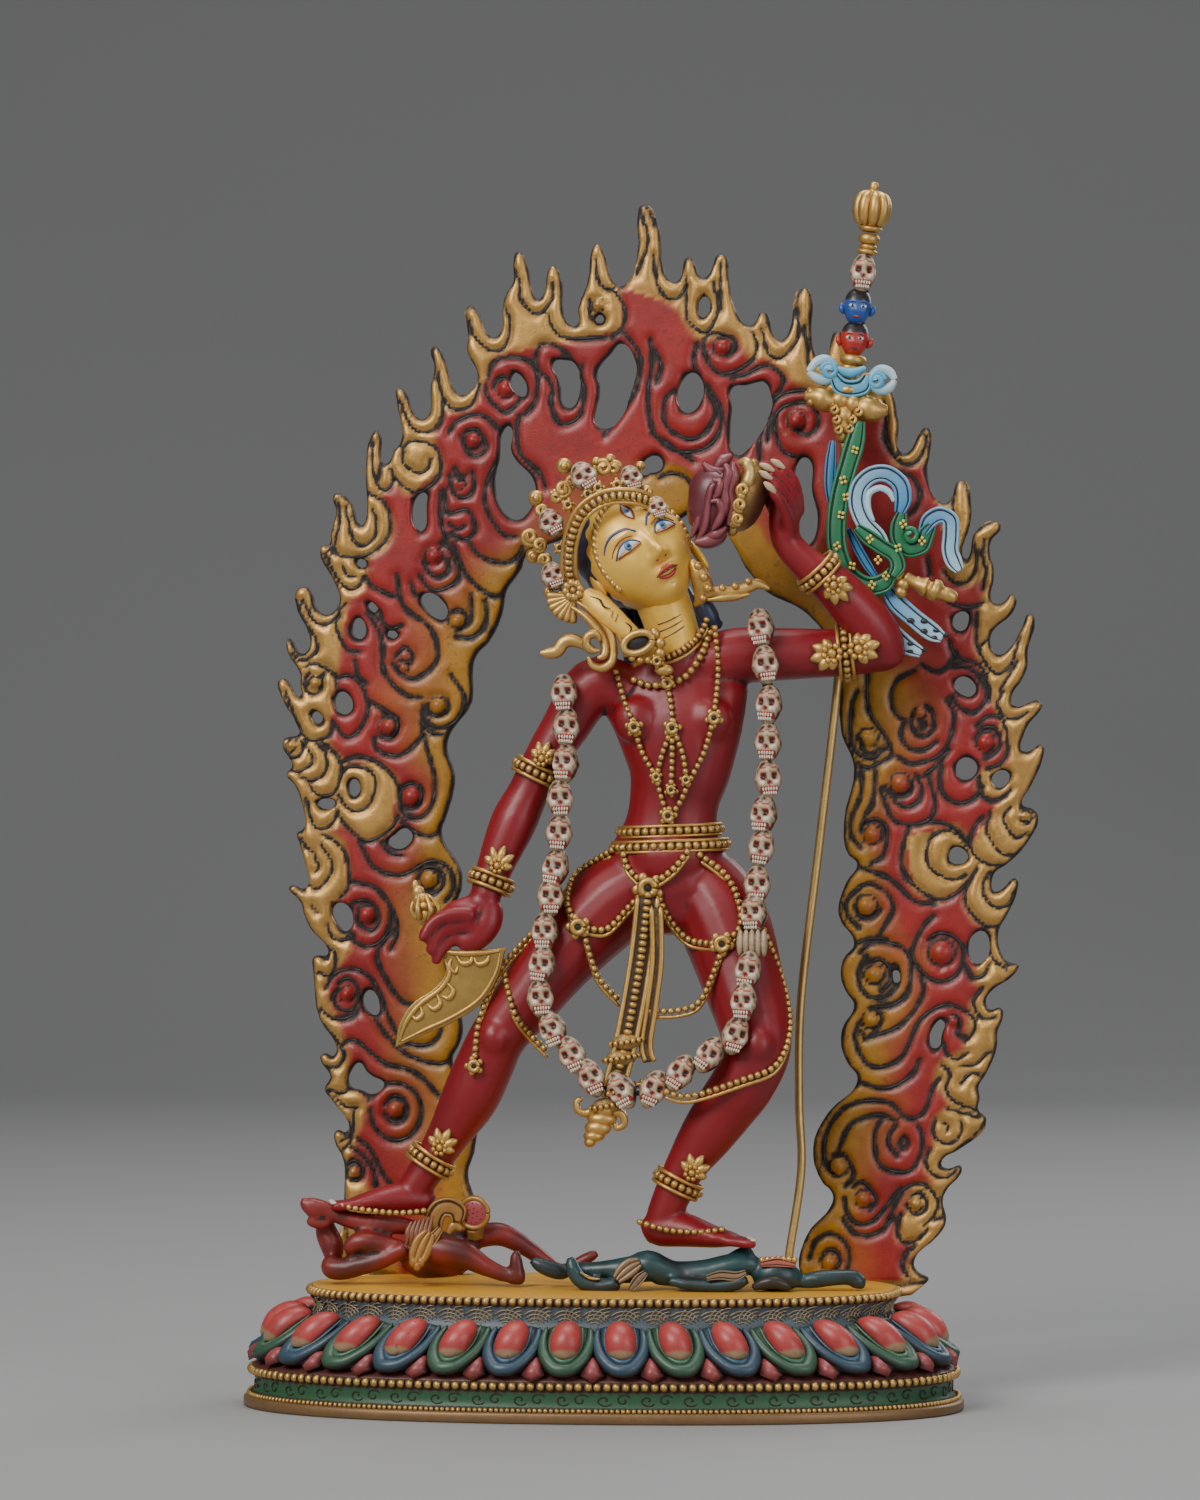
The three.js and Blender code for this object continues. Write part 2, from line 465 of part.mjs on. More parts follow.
function staffRibbon() {
  const scarf = strand([[70.6, 5, 290], [67.4, 4.6, 270], [68, 4.4, 255], [75, 4.4, 241.4], [89, 4.4, 231], [97, 4.4, 222]],
    5, 1.6, 4, 6);
  const loop = strand([[84, 4.4, 238], [87, 4.4, 256], [80, 4.4, 270.6], [74.6, 4.4, 264], [80, 4.4, 252.6], [103, 4.4, 248]],
    3.4, 1.6, 4, 8);
  const charm = limb([[80, 3.4, 246.2, 2], [84, 3.4, 245, 2.6], [93, 3.4, 241.6, 2.4], [98, 3.4, 240, 4], [102, 3.4, 238.6, 2]], 5);
  const tie = limb([[70.4, 8.4, 289, 3], [70.4, 8, 285, 3.4], [70, 4.6, 279, 3.4], [69.6, 4.4, 274, 3]], 5);
  return join([scarf, loop, charm, tie]);
}

// Trampled figures: one crouches in red, one lies in dark blue-green.

function trampledRed() {
  const floor = FOOT_LEVEL;
  return join([
    limb([[-89.5, 2, 56.2, 2], [-85, 2, 57, 3.4], [-76, 2, 53.6, 3.8], [-58, 4, 50.6, 4.6], [-50, 4, 49, 4]]),
    limb([[-87, 4, 51, 2], [-82, 5, 48.6, 3.6], [-78, 5, 43, 4.4], [-82, 4, floor, 3]], 5),
    limb([[-50, 0, floor + 5.4, 4], [-58, -1, floor + 5.2, 5.2], [-76, -2, floor + 5.2, 5.2], [-78, 2, floor + 10, 4],
      [-60, 5, floor + 11.6, 5]]),
    limb([[-66, 5, 47, 4], [-58, 5, 46, 6.4], [-46, 3, floor + 8, 8, 9], [-32, 2, floor + 6, 6, 8], [-26, 2, floor + 4.6, 4]]),
    limb([[-52, -2, floor + 12, 4], [-46, -3, floor + 10.4, 5.6], [-32, -6, floor + 5.6, 4.8], [-21, -9, floor + 4, 4]]),
    limb([[-48, 4, floor + 9, 4], [-42, 4, floor + 11, 4.6], [-31, 3, floor + 14.6, 4.4], [-19, 1, floor + 6.4, 3.8],
      [-14, 1, floor + 3, 3]]),
    limb([[-26.6, -9, floor, 2], [-26.4, -9, floor + 3, 3, 3.4], [-26.6, -9, floor + 10.6, 2.2]], 5, 2, new THREE.Vector3(1, 0, 0)),
    egg([-45.6, 0, 52.6], [7, 6, 5.6], 0.3),
    limb([[-37.6, 3, 53, 3], [-37.8, -2, 55, 6, 5.4], [-38, -7, 57, 3]], 6, 2, UP),
    limb([[-54, -2, floor + 17, 2], [-54, -4.4, floor + 13, 4.4, 4], [-51, -7.6, floor + 2, 2]], 5),
  ]);
}

function trampledBlue() {
  const floor = FOOT_LEVEL;
  return join([
    limb([[-21.5, -10, floor + 5.6, 2], [-14, -10.6, floor + 6, 4.2, 5], [-4, -11.4, floor + 5.4, 4], [5, -12, floor + 3, 2]]),
    limb([[-12, -10, floor + 3.6, 2], [-6, -11.4, floor + 3.4, 3], [8, -13, floor + 3.6, 3.2], [18, -12, floor + 5, 4]]),
    limb([[-4, -8, floor + 4, 2], [1, -8.6, floor + 4.6, 4, 6], [14, -10, floor + 6, 5.4, 8], [27, -11, floor + 4.4, 4, 7.6],
      [42, -11, floor + 6.2, 5.4, 8], [49, -11, floor + 5, 4.4, 6], [53, -11, floor + 4, 3]], 7),
    limb([[1, -11, floor + 12, 2], [-3, -11, floor + 10.6, 2.4], [-9, -10, floor + 6, 2.4]], 5),
    limb([[43, -12, floor + 5, 4], [50, -14, floor + 4.4, 3.8], [62, -17, floor + 4, 3.4], [73, -15, floor + 4.6, 3.8],
      [77, -14, floor + 3.4, 2]]),
    limb([[43, -14, floor + 7, 3], [38, -17, floor + 5, 3.8], [35, -21, floor + 3.4, 3], [44, -22.4, floor + 3.2, 2.8],
      [52, -21, floor + 3, 2]], 5),
    egg([52, -16, floor + 5.8], [6.2, 6.4, 5.4], 0.3, 7, 5),
    limb([[2, -14, floor + 7.6, 3], [6, -16, floor + 4.4, 3.6, 2.4], [14, -17.4, floor + 1.6, 2]], 5),
  ]);
}

// Assembly

const COLOURS = {
  base: [0x8a6a3c, 0.55, 0.1],
  flame: [0xa8331f, 0.6, 0.05],
  skin: [0xa01822, 0.45, 0],
  bone: [0xe6dccb, 0.6, 0],
  gold: [0xc79a3e, 0.35, 0.6],
  brass: [0xb08d4a, 0.3, 1],
  green: [0x1f8a4a, 0.5, 0],
  wine: [0x9a2320, 0.5, 0],
  teal: [0x2f4c4d, 0.5, 0],
};

function piece(name, made, [color, roughness, metalness]) {
  const material = new THREE.MeshStandardMaterial({ color, roughness, metalness });
  const mesh = new THREE.Mesh(geometryOf(made), material);
  mesh.name = name;
  return mesh;
}

const red = trampledRed();
const blue = clearOf(trampledBlue(), red, [1, 0, 0]);
const rod = clearOf(staffRod(), blue, [0, 1, 0]);
const finial = staffFinial();
const knife = curvedKnife();
const cup = skullCup();
const bodyShapes = [torso(), head(), crown(), jewels(), necklaces(), bosses(), skirt(), arms(), legs()];
let body = join(bodyShapes.flat());
for (const [neighbour, shift] of [[red, [0, 0, 1]], [blue, [0, 0, 1]], [rod, [0, -1, 0]], [knife, [0, -1, 0]],
  [cup, [1, 0, 0]]]) {
  body = clearOf(body, neighbour, shift);
}
const garland = clearOf(skullGarland(), body, [0, -1, 0]);
const ribbon = clearOf(clearOf(staffRibbon(), body, [0, 1, 0]), finial, [0, -1, 0]);

const aureole = new THREE.Group();
aureole.rotation.z = PLATE_TURN;
aureole.position.y = PLATE_MIDDLE_Y;
aureole.add(piece("flame_aureole", flameAureole(), COLOURS.flame));

const group = new THREE.Group();
group.add(
  piece("lotus_base", lotusBase(), COLOURS.base),
  aureole,
  piece("dancing_figure", body, COLOURS.skin),
  piece("skull_garland", garland, COLOURS.bone),
  piece("curved_knife", knife, COLOURS.gold),
  piece("skull_cup", cup, COLOURS.gold),
  piece("staff_rod", rod, COLOURS.brass),
  piece("staff_finial", finial, COLOURS.gold),
  piece("staff_ribbon", ribbon, COLOURS.green),
  piece("trampled_figure_red", red, COLOURS.wine),
  piece("trampled_figure_blue", blue, COLOURS.teal),
);

export default group;
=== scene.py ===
from math import acos, atan2, copysign, cos, exp, hypot, pi, radians, sin, sqrt, tau

import bmesh
import bpy
from mathutils import Matrix, Vector, noise
from mathutils.bvhtree import BVHTree
from mathutils.kdtree import KDTree


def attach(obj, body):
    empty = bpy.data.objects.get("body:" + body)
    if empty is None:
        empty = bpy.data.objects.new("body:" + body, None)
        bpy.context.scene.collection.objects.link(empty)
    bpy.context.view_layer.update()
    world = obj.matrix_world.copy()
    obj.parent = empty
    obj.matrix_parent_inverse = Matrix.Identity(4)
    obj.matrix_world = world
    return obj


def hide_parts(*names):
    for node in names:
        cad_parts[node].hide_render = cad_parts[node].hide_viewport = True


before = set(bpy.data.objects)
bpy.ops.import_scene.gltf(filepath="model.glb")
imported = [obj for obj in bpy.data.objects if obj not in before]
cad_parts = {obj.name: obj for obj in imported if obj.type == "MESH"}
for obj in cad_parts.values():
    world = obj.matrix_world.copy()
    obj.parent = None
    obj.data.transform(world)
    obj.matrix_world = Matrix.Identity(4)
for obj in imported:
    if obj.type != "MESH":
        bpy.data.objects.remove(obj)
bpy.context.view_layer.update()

# Studio: a camera level with the goddess's waist, a little to her left, on a pale floor under soft light.
# Places on the statue are read off this front view, on its grid of 1200 by 1500. At the staff a step is
# VIEW_STEP mm.
VIEW_TURN = radians(3.5)
VIEW_ROLL = radians(0.15)
VIEW_AWAY = 1800
VIEW_LEVEL = 191
FOCAL = 6174
VIEW_STEP = 0.292
FRONT_MIDDLE = (605, 750)
FRONT_ROWS = 1500
CAMERA_ASIDE = -1.46
FLOOR_HALF = 6
FLOOR_GREY = 0.26
WALL_FOOT = 1.6
WALL_BEND = 0.9
BEND_STEPS = 8
WALL_TALL = 4
AIM = Vector((0, 0, 0.18))


def spot(u, v, y=0):
    """The place in mm at column u and row v of the front view, at depth y."""
    right, down = u - FRONT_MIDDLE[0], v - FRONT_MIDDLE[1]
    right, down = right + VIEW_ROLL * down, down - VIEW_ROLL * right
    x = 0
    for _ in range(3):
        away = VIEW_AWAY - x * sin(VIEW_TURN) + y * cos(VIEW_TURN)
        x = (right * away / FOCAL - y * sin(VIEW_TURN)) / cos(VIEW_TURN)
    return Vector((x, y, VIEW_LEVEL - down * away / FOCAL))


camera_data = bpy.data.cameras.new("camera")
camera_data.sensor_fit = "VERTICAL"
camera_data.sensor_height = 36
camera_data.lens = FOCAL * camera_data.sensor_height / FRONT_ROWS
camera_data.clip_end = 20
camera = bpy.data.objects.new("camera", camera_data)
bpy.context.collection.objects.link(camera)
camera.location = Matrix.Rotation(VIEW_TURN, 3, "Z") @ Vector((CAMERA_ASIDE, -VIEW_AWAY, VIEW_LEVEL)) / 1000
turned = Matrix.Rotation(VIEW_TURN, 4, "Z") @ Matrix.Rotation(pi / 2, 4,
                                                              "X") @ Matrix.Rotation(VIEW_ROLL, 4, "Z")
camera.rotation_euler = turned.to_euler()
bpy.context.scene.camera = camera

floor_mesh = bpy.data.meshes.new("floor")
floor_bm = bmesh.new()
bmesh.ops.create_grid(floor_bm, x_segments=1, y_segments=1, size=FLOOR_HALF)
far_edge = [edge for edge in floor_bm.edges if all(vert.co.y > 0 for vert in edge.verts)]
for vert in far_edge[0].verts:
    vert.co.y = WALL_FOOT
bmesh.ops.recalc_face_normals(floor_bm, faces=floor_bm.faces)
for step in range(1, BEND_STEPS + 2):
    lift = bmesh.ops.extrude_edge_only(floor_bm, edges=far_edge)["geom"]
    far_edge = [part for part in lift if isinstance(part, bmesh.types.BMEdge)]
    turn = min(1, step / BEND_STEPS) * pi / 2
    for vert in (part for part in lift if isinstance(part, bmesh.types.BMVert)):
        vert.co.y, vert.co.z = WALL_FOOT + WALL_BEND * sin(turn), WALL_BEND * (1 - cos(turn))
        vert.co.z += WALL_TALL if step > BEND_STEPS else 0
floor_bm.to_mesh(floor_mesh)
floor_bm.free()
floor_mesh.shade_smooth()
floor = bpy.data.objects.new("floor", floor_mesh)
bpy.context.collection.objects.link(floor)
floor_paint = bpy.data.materials.new("pale floor")
floor_paint.use_nodes = True
floor_paint.node_tree.nodes["Principled BSDF"].inputs["Base Color"].default_value = (
    FLOOR_GREY, FLOOR_GREY, FLOOR_GREY, 1)
floor_paint.node_tree.nodes["Principled BSDF"].inputs["Roughness"].default_value = 0.8
floor_mesh.materials.append(floor_paint)

world = bpy.data.worlds.new("studio air")
world.use_nodes = True
world.node_tree.nodes["Background"].inputs["Color"].default_value = (0.75, 0.78, 0.82, 1)
world.node_tree.nodes["Background"].inputs["Strength"].default_value = 0.2
bpy.context.scene.world = world
for name, place, size, power, tint in (
    ("soft key", (-0.9, -1.5, 1.3), 0.9, 38, (1, 0.98, 0.95)),
    ("fill", (1.3, -1.4, 0.6), 1, 12, (0.95, 0.97, 1)),
    ("top", (0.1, 0.1, 1.5), 0.8, 16, (1, 1, 1)),
    ("back rim", (0.9, 1.2, 0.9), 0.8, 8, (1, 1, 1)),
):
    lamp = bpy.data.lights.new(name, "AREA")
    lamp.size = size
    lamp.energy = power
    lamp.color = tint
    holder = bpy.data.objects.new(name, lamp)
    bpy.context.collection.objects.link(holder)
    holder.location = place
    holder.rotation_euler = (AIM - Vector(place)).to_track_quat("-Z", "Y").to_euler()

# Lotus base body: an oval plinth cast in resin with the foot, the bands and the top in one.
# A bronze foot slab, a green band with black scrolls, a brown ledge, a hollow wave band and a yellow top.
OVAL_DEPTH = 0.51
OVAL_SQUARENESS = 2.35
BRONZE = (0.22, 0.125, 0.055, 0.45)
OLD_GOLD = (0.6, 0.37, 0.11, 0.85)
BAND_GREEN = (0.022, 0.085, 0.035, 0)
LEDGE_BROWN = (0.09, 0.025, 0.022, 0)
WAVE_BLUE = (0.07, 0.095, 0.11, 0)
TOP_YELLOW = (0.62, 0.31, 0.025, 0)
BLACK = (0.012, 0.01, 0.01, 0)
RIM_STEPS = 360


def oval(radius, angle, height):
    """A point of the plinth's outline, a squared oval."""
    bend = 2 / OVAL_SQUARENESS
    x, y = cos(angle), sin(angle)
    return Vector((copysign(abs(x) ** bend, x) * radius, copysign(abs(y) ** bend, y) * radius * OVAL_DEPTH,
                   height))


def even_turns(count):
    """Angles that part the oval into equal lengths."""
    fine = 4000
    turns, walked = [], 0
    steps = [(oval(100, tau * (k + 1) / fine, 0) - oval(100, tau * k / fine, 0)).length
             for k in range(fine)]
    goal = sum(steps) / count
    for k, step in enumerate(steps):
        if walked >= len(turns) * goal and len(turns) < count:
            turns.append(tau * k / fine)
        walked += step
    return turns


def layers(shape):
    """The two paint layers of a shape: its colour with its gilding, and its dark wash with painted shade."""
    paint = shape.verts.layers.float_color.get("paint") or shape.verts.layers.float_color.new("paint")
    wash_and_shade = shape.verts.layers.float.get("wash_and_shade") or shape.verts.layers.float.new("wash_and_shade")
    return paint, wash_and_shade


def shared_paint(name):
    """A worn paint effect: mottled colour with dark wash and painted shade in the hollows, and bare worn
    highs.
    """
    group = bpy.data.node_groups.new(name, "ShaderNodeTree")
    face = group.interface
    for title, kind in (("Paint", "NodeSocketColor"), ("Gilt", "NodeSocketFloat"),
                        ("Wash_and_shade", "NodeSocketFloat"),
                        ("Grime_and_shade", "NodeSocketColor"), ("Mottle", "NodeSocketFloat")):
        face.new_socket(title, in_out="INPUT", socket_type=kind)
    for title, kind in (("Color", "NodeSocketColor"), ("Roughness", "NodeSocketFloat"),
                        ("Metallic", "NodeSocketFloat"), ("Height", "NodeSocketFloat")):
        face.new_socket(title, in_out="OUTPUT", socket_type=kind)
    nodes, links = group.nodes, group.links
    entry, leave = nodes.new("NodeGroupInput"), nodes.new("NodeGroupOutput")
    where = nodes.new("ShaderNodeTexCoord")

    def math_node(kind, a, b, clamp=False):
        node = nodes.new("ShaderNodeMath")
        node.operation = kind
        node.use_clamp = clamp
        for socket, value in zip(node.inputs, (a, b)):
            if isinstance(value, (int, float)):
                socket.default_value = value
            else:
                links.new(value, socket)
        return node.outputs[0]

    def cloud(size, detail, rough):
        node = nodes.new("ShaderNodeTexNoise")
        node.inputs["Detail"].default_value = detail
        node.inputs["Roughness"].default_value = rough
        links.new(where.outputs["Object"], node.inputs["Vector"])
        node.inputs["Scale"].default_value = size
        return node.outputs["Fac"]

    broad, middling, fine = cloud(90, 3, 0.6), cloud(420, 4, 0.65), cloud(1900, 2, 0.6)
    streak = math_node("ADD", math_node("MULTIPLY", middling, 0.6), math_node("MULTIPLY", fine, 0.4))
    uneven = math_node("MULTIPLY", math_node("SUBTRACT", streak, 0.5), 0.9)
    # The wash layer turns the paint towards the grime colour: real dark wash, and painted shade in hollows
    # and creases.
    dirt_and_shade = nodes.new("ShaderNodeMapRange")
    dirt_and_shade.interpolation_type = "SMOOTHSTEP"
    dirt_and_shade.inputs["From Min"].default_value = 0.34
    dirt_and_shade.inputs["From Max"].default_value = 0.86
    links.new(math_node("ADD", entry.outputs["Wash_and_shade"], uneven), dirt_and_shade.inputs["Value"])
    specks = math_node("MULTIPLY", math_node("GREATER_THAN", broad, 0.56),
                       math_node("GREATER_THAN", middling, 0.6))
    smudge = math_node("MULTIPLY", math_node("MULTIPLY", specks, entry.outputs["Mottle"]), 0.55)
    dark = math_node("MAXIMUM", dirt_and_shade.outputs[0], smudge, clamp=True)
    shift = math_node("ADD",
                      math_node("MULTIPLY", math_node("SUBTRACT", broad, 0.5), entry.outputs["Mottle"]), 1)
    shift = math_node("ADD", shift,
                      math_node("MULTIPLY", math_node("SUBTRACT", middling, 0.5), entry.outputs["Mottle"]))
    vary = nodes.new("ShaderNodeHueSaturation")
    links.new(entry.outputs["Paint"], vary.inputs["Color"])
    links.new(shift, vary.inputs["Value"])
    blend = nodes.new("ShaderNodeMix")
    blend.data_type = "RGBA"
    links.new(dark, blend.inputs["Factor"])
    links.new(vary.outputs["Color"], blend.inputs[6])
    links.new(entry.outputs["Grime_and_shade"], blend.inputs[7])
    links.new(blend.outputs[2], leave.inputs["Color"])
    rough = math_node("ADD", math_node("MULTIPLY", dark, 0.3), math_node("MULTIPLY", fine, 0.22))
    links.new(math_node("ADD", rough, 0.34), leave.inputs["Roughness"])
    bare = math_node("SUBTRACT", 1, dark)
    links.new(math_node("MULTIPLY", entry.outputs["Gilt"], bare), leave.inputs["Metallic"])
    links.new(streak, leave.inputs["Height"])
    return group


worn_paint_and_shade = shared_paint("worn paint and shade over resin")


def painted(name, grime_and_shade=(0.02, 0.013, 0.01), mottle=0.5, gloss=0, bump=0.00012):
    """A hand-painted resin finish whose colour, wash and painted shade are laid on the shape itself."""
    finish = bpy.data.materials.new(name)
    finish.use_nodes = True
    nodes, links = finish.node_tree.nodes, finish.node_tree.links
    shader = nodes["Principled BSDF"]
    effect = nodes.new("ShaderNodeGroup")
    effect.node_tree = worn_paint_and_shade
    effect.inputs["Grime_and_shade"].default_value = (*grime_and_shade, 1)
    effect.inputs["Mottle"].default_value = mottle
    for layer, out, into in (("paint", "Color", "Paint"), ("paint", "Alpha", "Gilt"),
                             ("wash_and_shade", "Fac", "Wash_and_shade")):
        read = nodes.new("ShaderNodeAttribute")
        read.attribute_name = layer
        links.new(read.outputs[out], effect.inputs[into])
    for out, into in (("Color", "Base Color"), ("Roughness", "Roughness"), ("Metallic", "Metallic")):
        links.new(effect.outputs[out], shader.inputs[into])
    relief = nodes.new("ShaderNodeBump")
    relief.inputs["Distance"].default_value = bump
    relief.inputs["Strength"].default_value = 0.6
    links.new(effect.outputs["Height"], relief.inputs["Height"])
    links.new(relief.outputs["Normal"], shader.inputs["Normal"])
    shader.inputs["Coat Weight"].default_value = gloss
    shader.inputs["Coat Roughness"].default_value = 0.3
    return finish


def piece(name, shape, finish, slot, *nodes):
    """A finished piece: its mesh goes from mm to metres, rides on the statue and may stand for solids."""
    mesh = bpy.data.meshes.new(name)
    shape.to_mesh(mesh)
    shape.free()
    mesh.transform(Matrix.Scale(0.001, 4))
    mesh.shade_smooth()
    mesh.materials.append(finish)
    made = bpy.data.objects.new(name, mesh)
    bpy.context.collection.objects.link(made)
    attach(made, "root")
    if nodes:
        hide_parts(*nodes)
    return made


RIM_TURNS = even_turns(RIM_STEPS)
plinth = bmesh.new()
paint, wash_and_shade = layers(plinth)
ring = bmesh.ops.create_circle(plinth, cap_ends=True, segments=RIM_STEPS, radius=1)["verts"]
bmesh.ops.reverse_faces(plinth, faces=plinth.faces)
ring_edges = list(plinth.edges)
for vert, turn in zip(ring, RIM_TURNS):
    vert.co = oval(104.4, turn, 0)
    vert[paint], vert[wash_and_shade] = BRONZE, 0.5
# Rows from the foot up: radius, height, paint and wash. The black rows lie behind the petals: painted shade.
# The higher washes at the inner corners are partly painted shade.
PLINTH_ROWS = [
    (105, 0.5, BRONZE, 0.35), (105, 2.5, BRONZE, 0.1), (104.4, 3.1, BRONZE, 0.2), (103, 3.3, BRONZE, 0.9),
    (102.4, 4.4, BAND_GREEN, 0.8), (101.6, 5.2, BAND_GREEN, 0.1), (101.4, 6.8, BAND_GREEN, 0.05),
    (101.6, 8.4, BAND_GREEN, 0.2), (102, 9.2, LEDGE_BROWN, 0.8), (102.4, 11.6, LEDGE_BROWN, 0.8),
    (102, 12.2, LEDGE_BROWN, 0.2), (100.4, 12.8, LEDGE_BROWN, 0.1), (97.6, 13.6, LEDGE_BROWN, 0.5),
    (95.5, 16.5, BLACK, 0.6), (93, 20, BLACK, 0.6), (88, 24.5, WAVE_BLUE, 0.7),
    (85.4, 26.2, WAVE_BLUE, 0.25),
    (84, 28.2, WAVE_BLUE, 0.1), (84, 30.2, WAVE_BLUE, 0.15), (84.8, 32, WAVE_BLUE, 0.5),
    (85, 32.6, BRONZE, 0.9),
    (85.2, 34.5, BRONZE, 0.8), (84.8, 35, TOP_YELLOW, 0.5), (83.6, 35, TOP_YELLOW, 0.12),
    (60, 35, TOP_YELLOW, 0.05),
    (30, 35, TOP_YELLOW, 0.05),
]
for radius, height, tint, dirt_and_shade in PLINTH_ROWS:
    grown = bmesh.ops.extrude_edge_only(plinth, edges=ring_edges)["geom"]
    ring = [part for part in grown if isinstance(part, bmesh.types.BMVert)]
    ring_edges = [part for part in grown if isinstance(part, bmesh.types.BMEdge)]
    for vert, turn in zip(ring, RIM_TURNS):
        vert.co = oval(radius, turn, height)
        vert[paint], vert[wash_and_shade] = tint, dirt_and_shade
bmesh.ops.contextual_create(plinth, geom=ring_edges)
piece("plinth_body", plinth, painted("painted plinth", grime_and_shade=(0.025, 0.012, 0.008), mottle=0.4),
      "painted_base", "lotus_base")

# Bead rims of the base: three gilded rows, cast in the round and rubbed bright over a dark wash, with
# painted shade where the beads touch.
# A fine row sits on the foot slab, a broad row above the green band and one around the top.
BEAD_SIDES = 8
BEAD_ROWS = 5


def put(shape, part, place=None, keep=False):
    """Sets a part into a shape at a place."""
    if place is None:
        shape.from_mesh(part)
    else:
        copy = part.copy()
        copy.transform(place)
        shape.from_mesh(copy)
        bpy.data.meshes.remove(copy)
    if not keep:
        bpy.data.meshes.remove(part)


def shape_of(*parts):
    """An open shape with the given closed parts in it."""
    made = bmesh.new()
    layers(made)
    for part in parts:
        put(made, part)
    return made


def mesh_of(made, name):
    """Closes a shape into a mesh."""
    mesh = bpy.data.meshes.new(name)
    made.to_mesh(mesh)
    made.free()
    return mesh


def circle(count):
    """Angles once round a circle, its first and last the same place."""
    return [k * tau / count for k in range(count + 1)]


def on_rim(radius, turn, height):
    """A frame on the oval: its X runs along the edge, Y outwards and Z up."""
    along = (oval(radius, turn + 0.004, height) - oval(radius, turn - 0.004, height)).normalized()
    outward = along.cross(Vector((0, 0, 1)))
    grid = Matrix((along, outward, Vector((0, 0, 1)))).transposed().to_4x4()
    return Matrix.Translation(oval(radius, turn, height)) @ grid


# One bead is darkest at its two ends, where its neighbours touch it: painted shade, with the wash that
# pools there.
bead = shape_of()
bmesh.ops.create_uvsphere(bead, u_segments=BEAD_SIDES, v_segments=BEAD_ROWS, radius=1)
paint, wash_and_shade = layers(bead)
for vert in bead.verts:
    vert[paint], vert[wash_and_shade] = OLD_GOLD, vert.co.z ** 2
gilded_bead = mesh_of(bead, "bead")
rims = shape_of()
lie = Matrix.Rotation(pi / 2, 4, "Y")
for count, radius, height, half_height, half_depth in ((330, 103.4, 3.75, 0.75, 0.8),
                                                       (190, 102.8, 10.6, 1.35, 1.3),
                                                       (164, 85.6, 33.7, 1.35, 1.5)):
    turns = even_turns(count)
    half_length = 0.44 * (oval(radius, turns[1], 0) - oval(radius, turns[0], 0)).length
    for turn in turns:
        put(rims, gilded_bead, on_rim(radius, turn, height)
            @ Matrix.Diagonal((half_length, half_depth, half_height, 1)) @ lie, keep=True)
gilding = painted("rubbed gilding", grime_and_shade=(0.03, 0.015, 0.008), mottle=0.5, gloss=0.1)
piece("base_beads", rims, gilding, "gold_paint")

# Lotus petals: thirty plump petals hang round the base, modelled in relief and painted by hand. Each is a
# green or blue scale with a rolled rim, a pink bulb with a worn tip, and a small pink point between two.
PETALS = 30
PETAL_HALF = 7.3
PINK = (0.38, 0.045, 0.04, 0)
PINK_DARK = (0.25, 0.045, 0.045, 0)
WORN_TAN = (0.3, 0.19, 0.1, 0)
PETAL_GREEN = (0.02, 0.055, 0.03, 0)
PETAL_BLUE = (0.018, 0.04, 0.06, 0)


def flow(line, share):
    """The point at a share of a smooth line through points."""
    spans = len(line) - 1
    k = min(int(share * spans), spans - 1)
    t = share * spans - k
    a, b, c, d = line[max(k - 1, 0)], line[k], line[k + 1], line[min(k + 2, spans)]
    return 0.5 * ((b * 2) + (c - a) * t + (a * 2 - b * 5 + c * 4 - d) * (t * t) + (b * 3 - a - c * 3 + d)
                  * (t * t * t))


def mix(first, second, share):
    """A tint between two, or one of them beyond the ends."""
    share = max(0, min(1, share))
    return tuple(a + (b - a) * share for a, b in zip(first, second))


def limb(stations, tint=OLD_GOLD, sides=8, rows=None, deep=(0, -1, 0), dirt_and_shade=0):
    """A closed tapering body along a smooth line. A station is x, y, z, half width and half depth."""
    made = bmesh.new()
    paint, wash_and_shade = layers(made)
    rows = rows or 3 * len(stations)
    bmesh.ops.create_uvsphere(made, u_segments=sides, v_segments=rows, radius=1)
    line = [Vector((*station, station[3])[:5]) for station in stations]
    deep = Vector(deep)
    cuts = {}
    for vert in made.verts:
        row = round(acos(max(-1, min(1, vert.co.z))) / pi * rows)
        if row not in cuts:
            share = row / rows
            here = flow(line, share)
            way = Vector(
                (flow(line, min(1, share + 0.01)) - flow(line, max(0, share - 0.01)))[:3]).normalized()
            out = (deep - way * deep.dot(way)).normalized()
            cuts[row] = (Vector(here[:3]), way.cross(out) * here[3], out * here[4], share)
        middle, side, out, share = cuts[row]
        around = hypot(vert.co.x, vert.co.y)
        across, front = (vert.co.x / around, vert.co.y / around) if around > 1e-6 else (0, 0)
        vert.co = middle + side * across + out * front
        vert[paint] = tint(share, front) if callable(tint) else tint
        vert[wash_and_shade] = dirt_and_shade(share, front) if callable(dirt_and_shade) else dirt_and_shade
    return mesh_of(made, "limb")


def rubbed_and_shaded(most, worn):
    """A wash that is rubbed thin along the crest of a raised stroke, and dark down its flanks and
    underside as painted shade.
    """
    return lambda share, front: most - worn * front


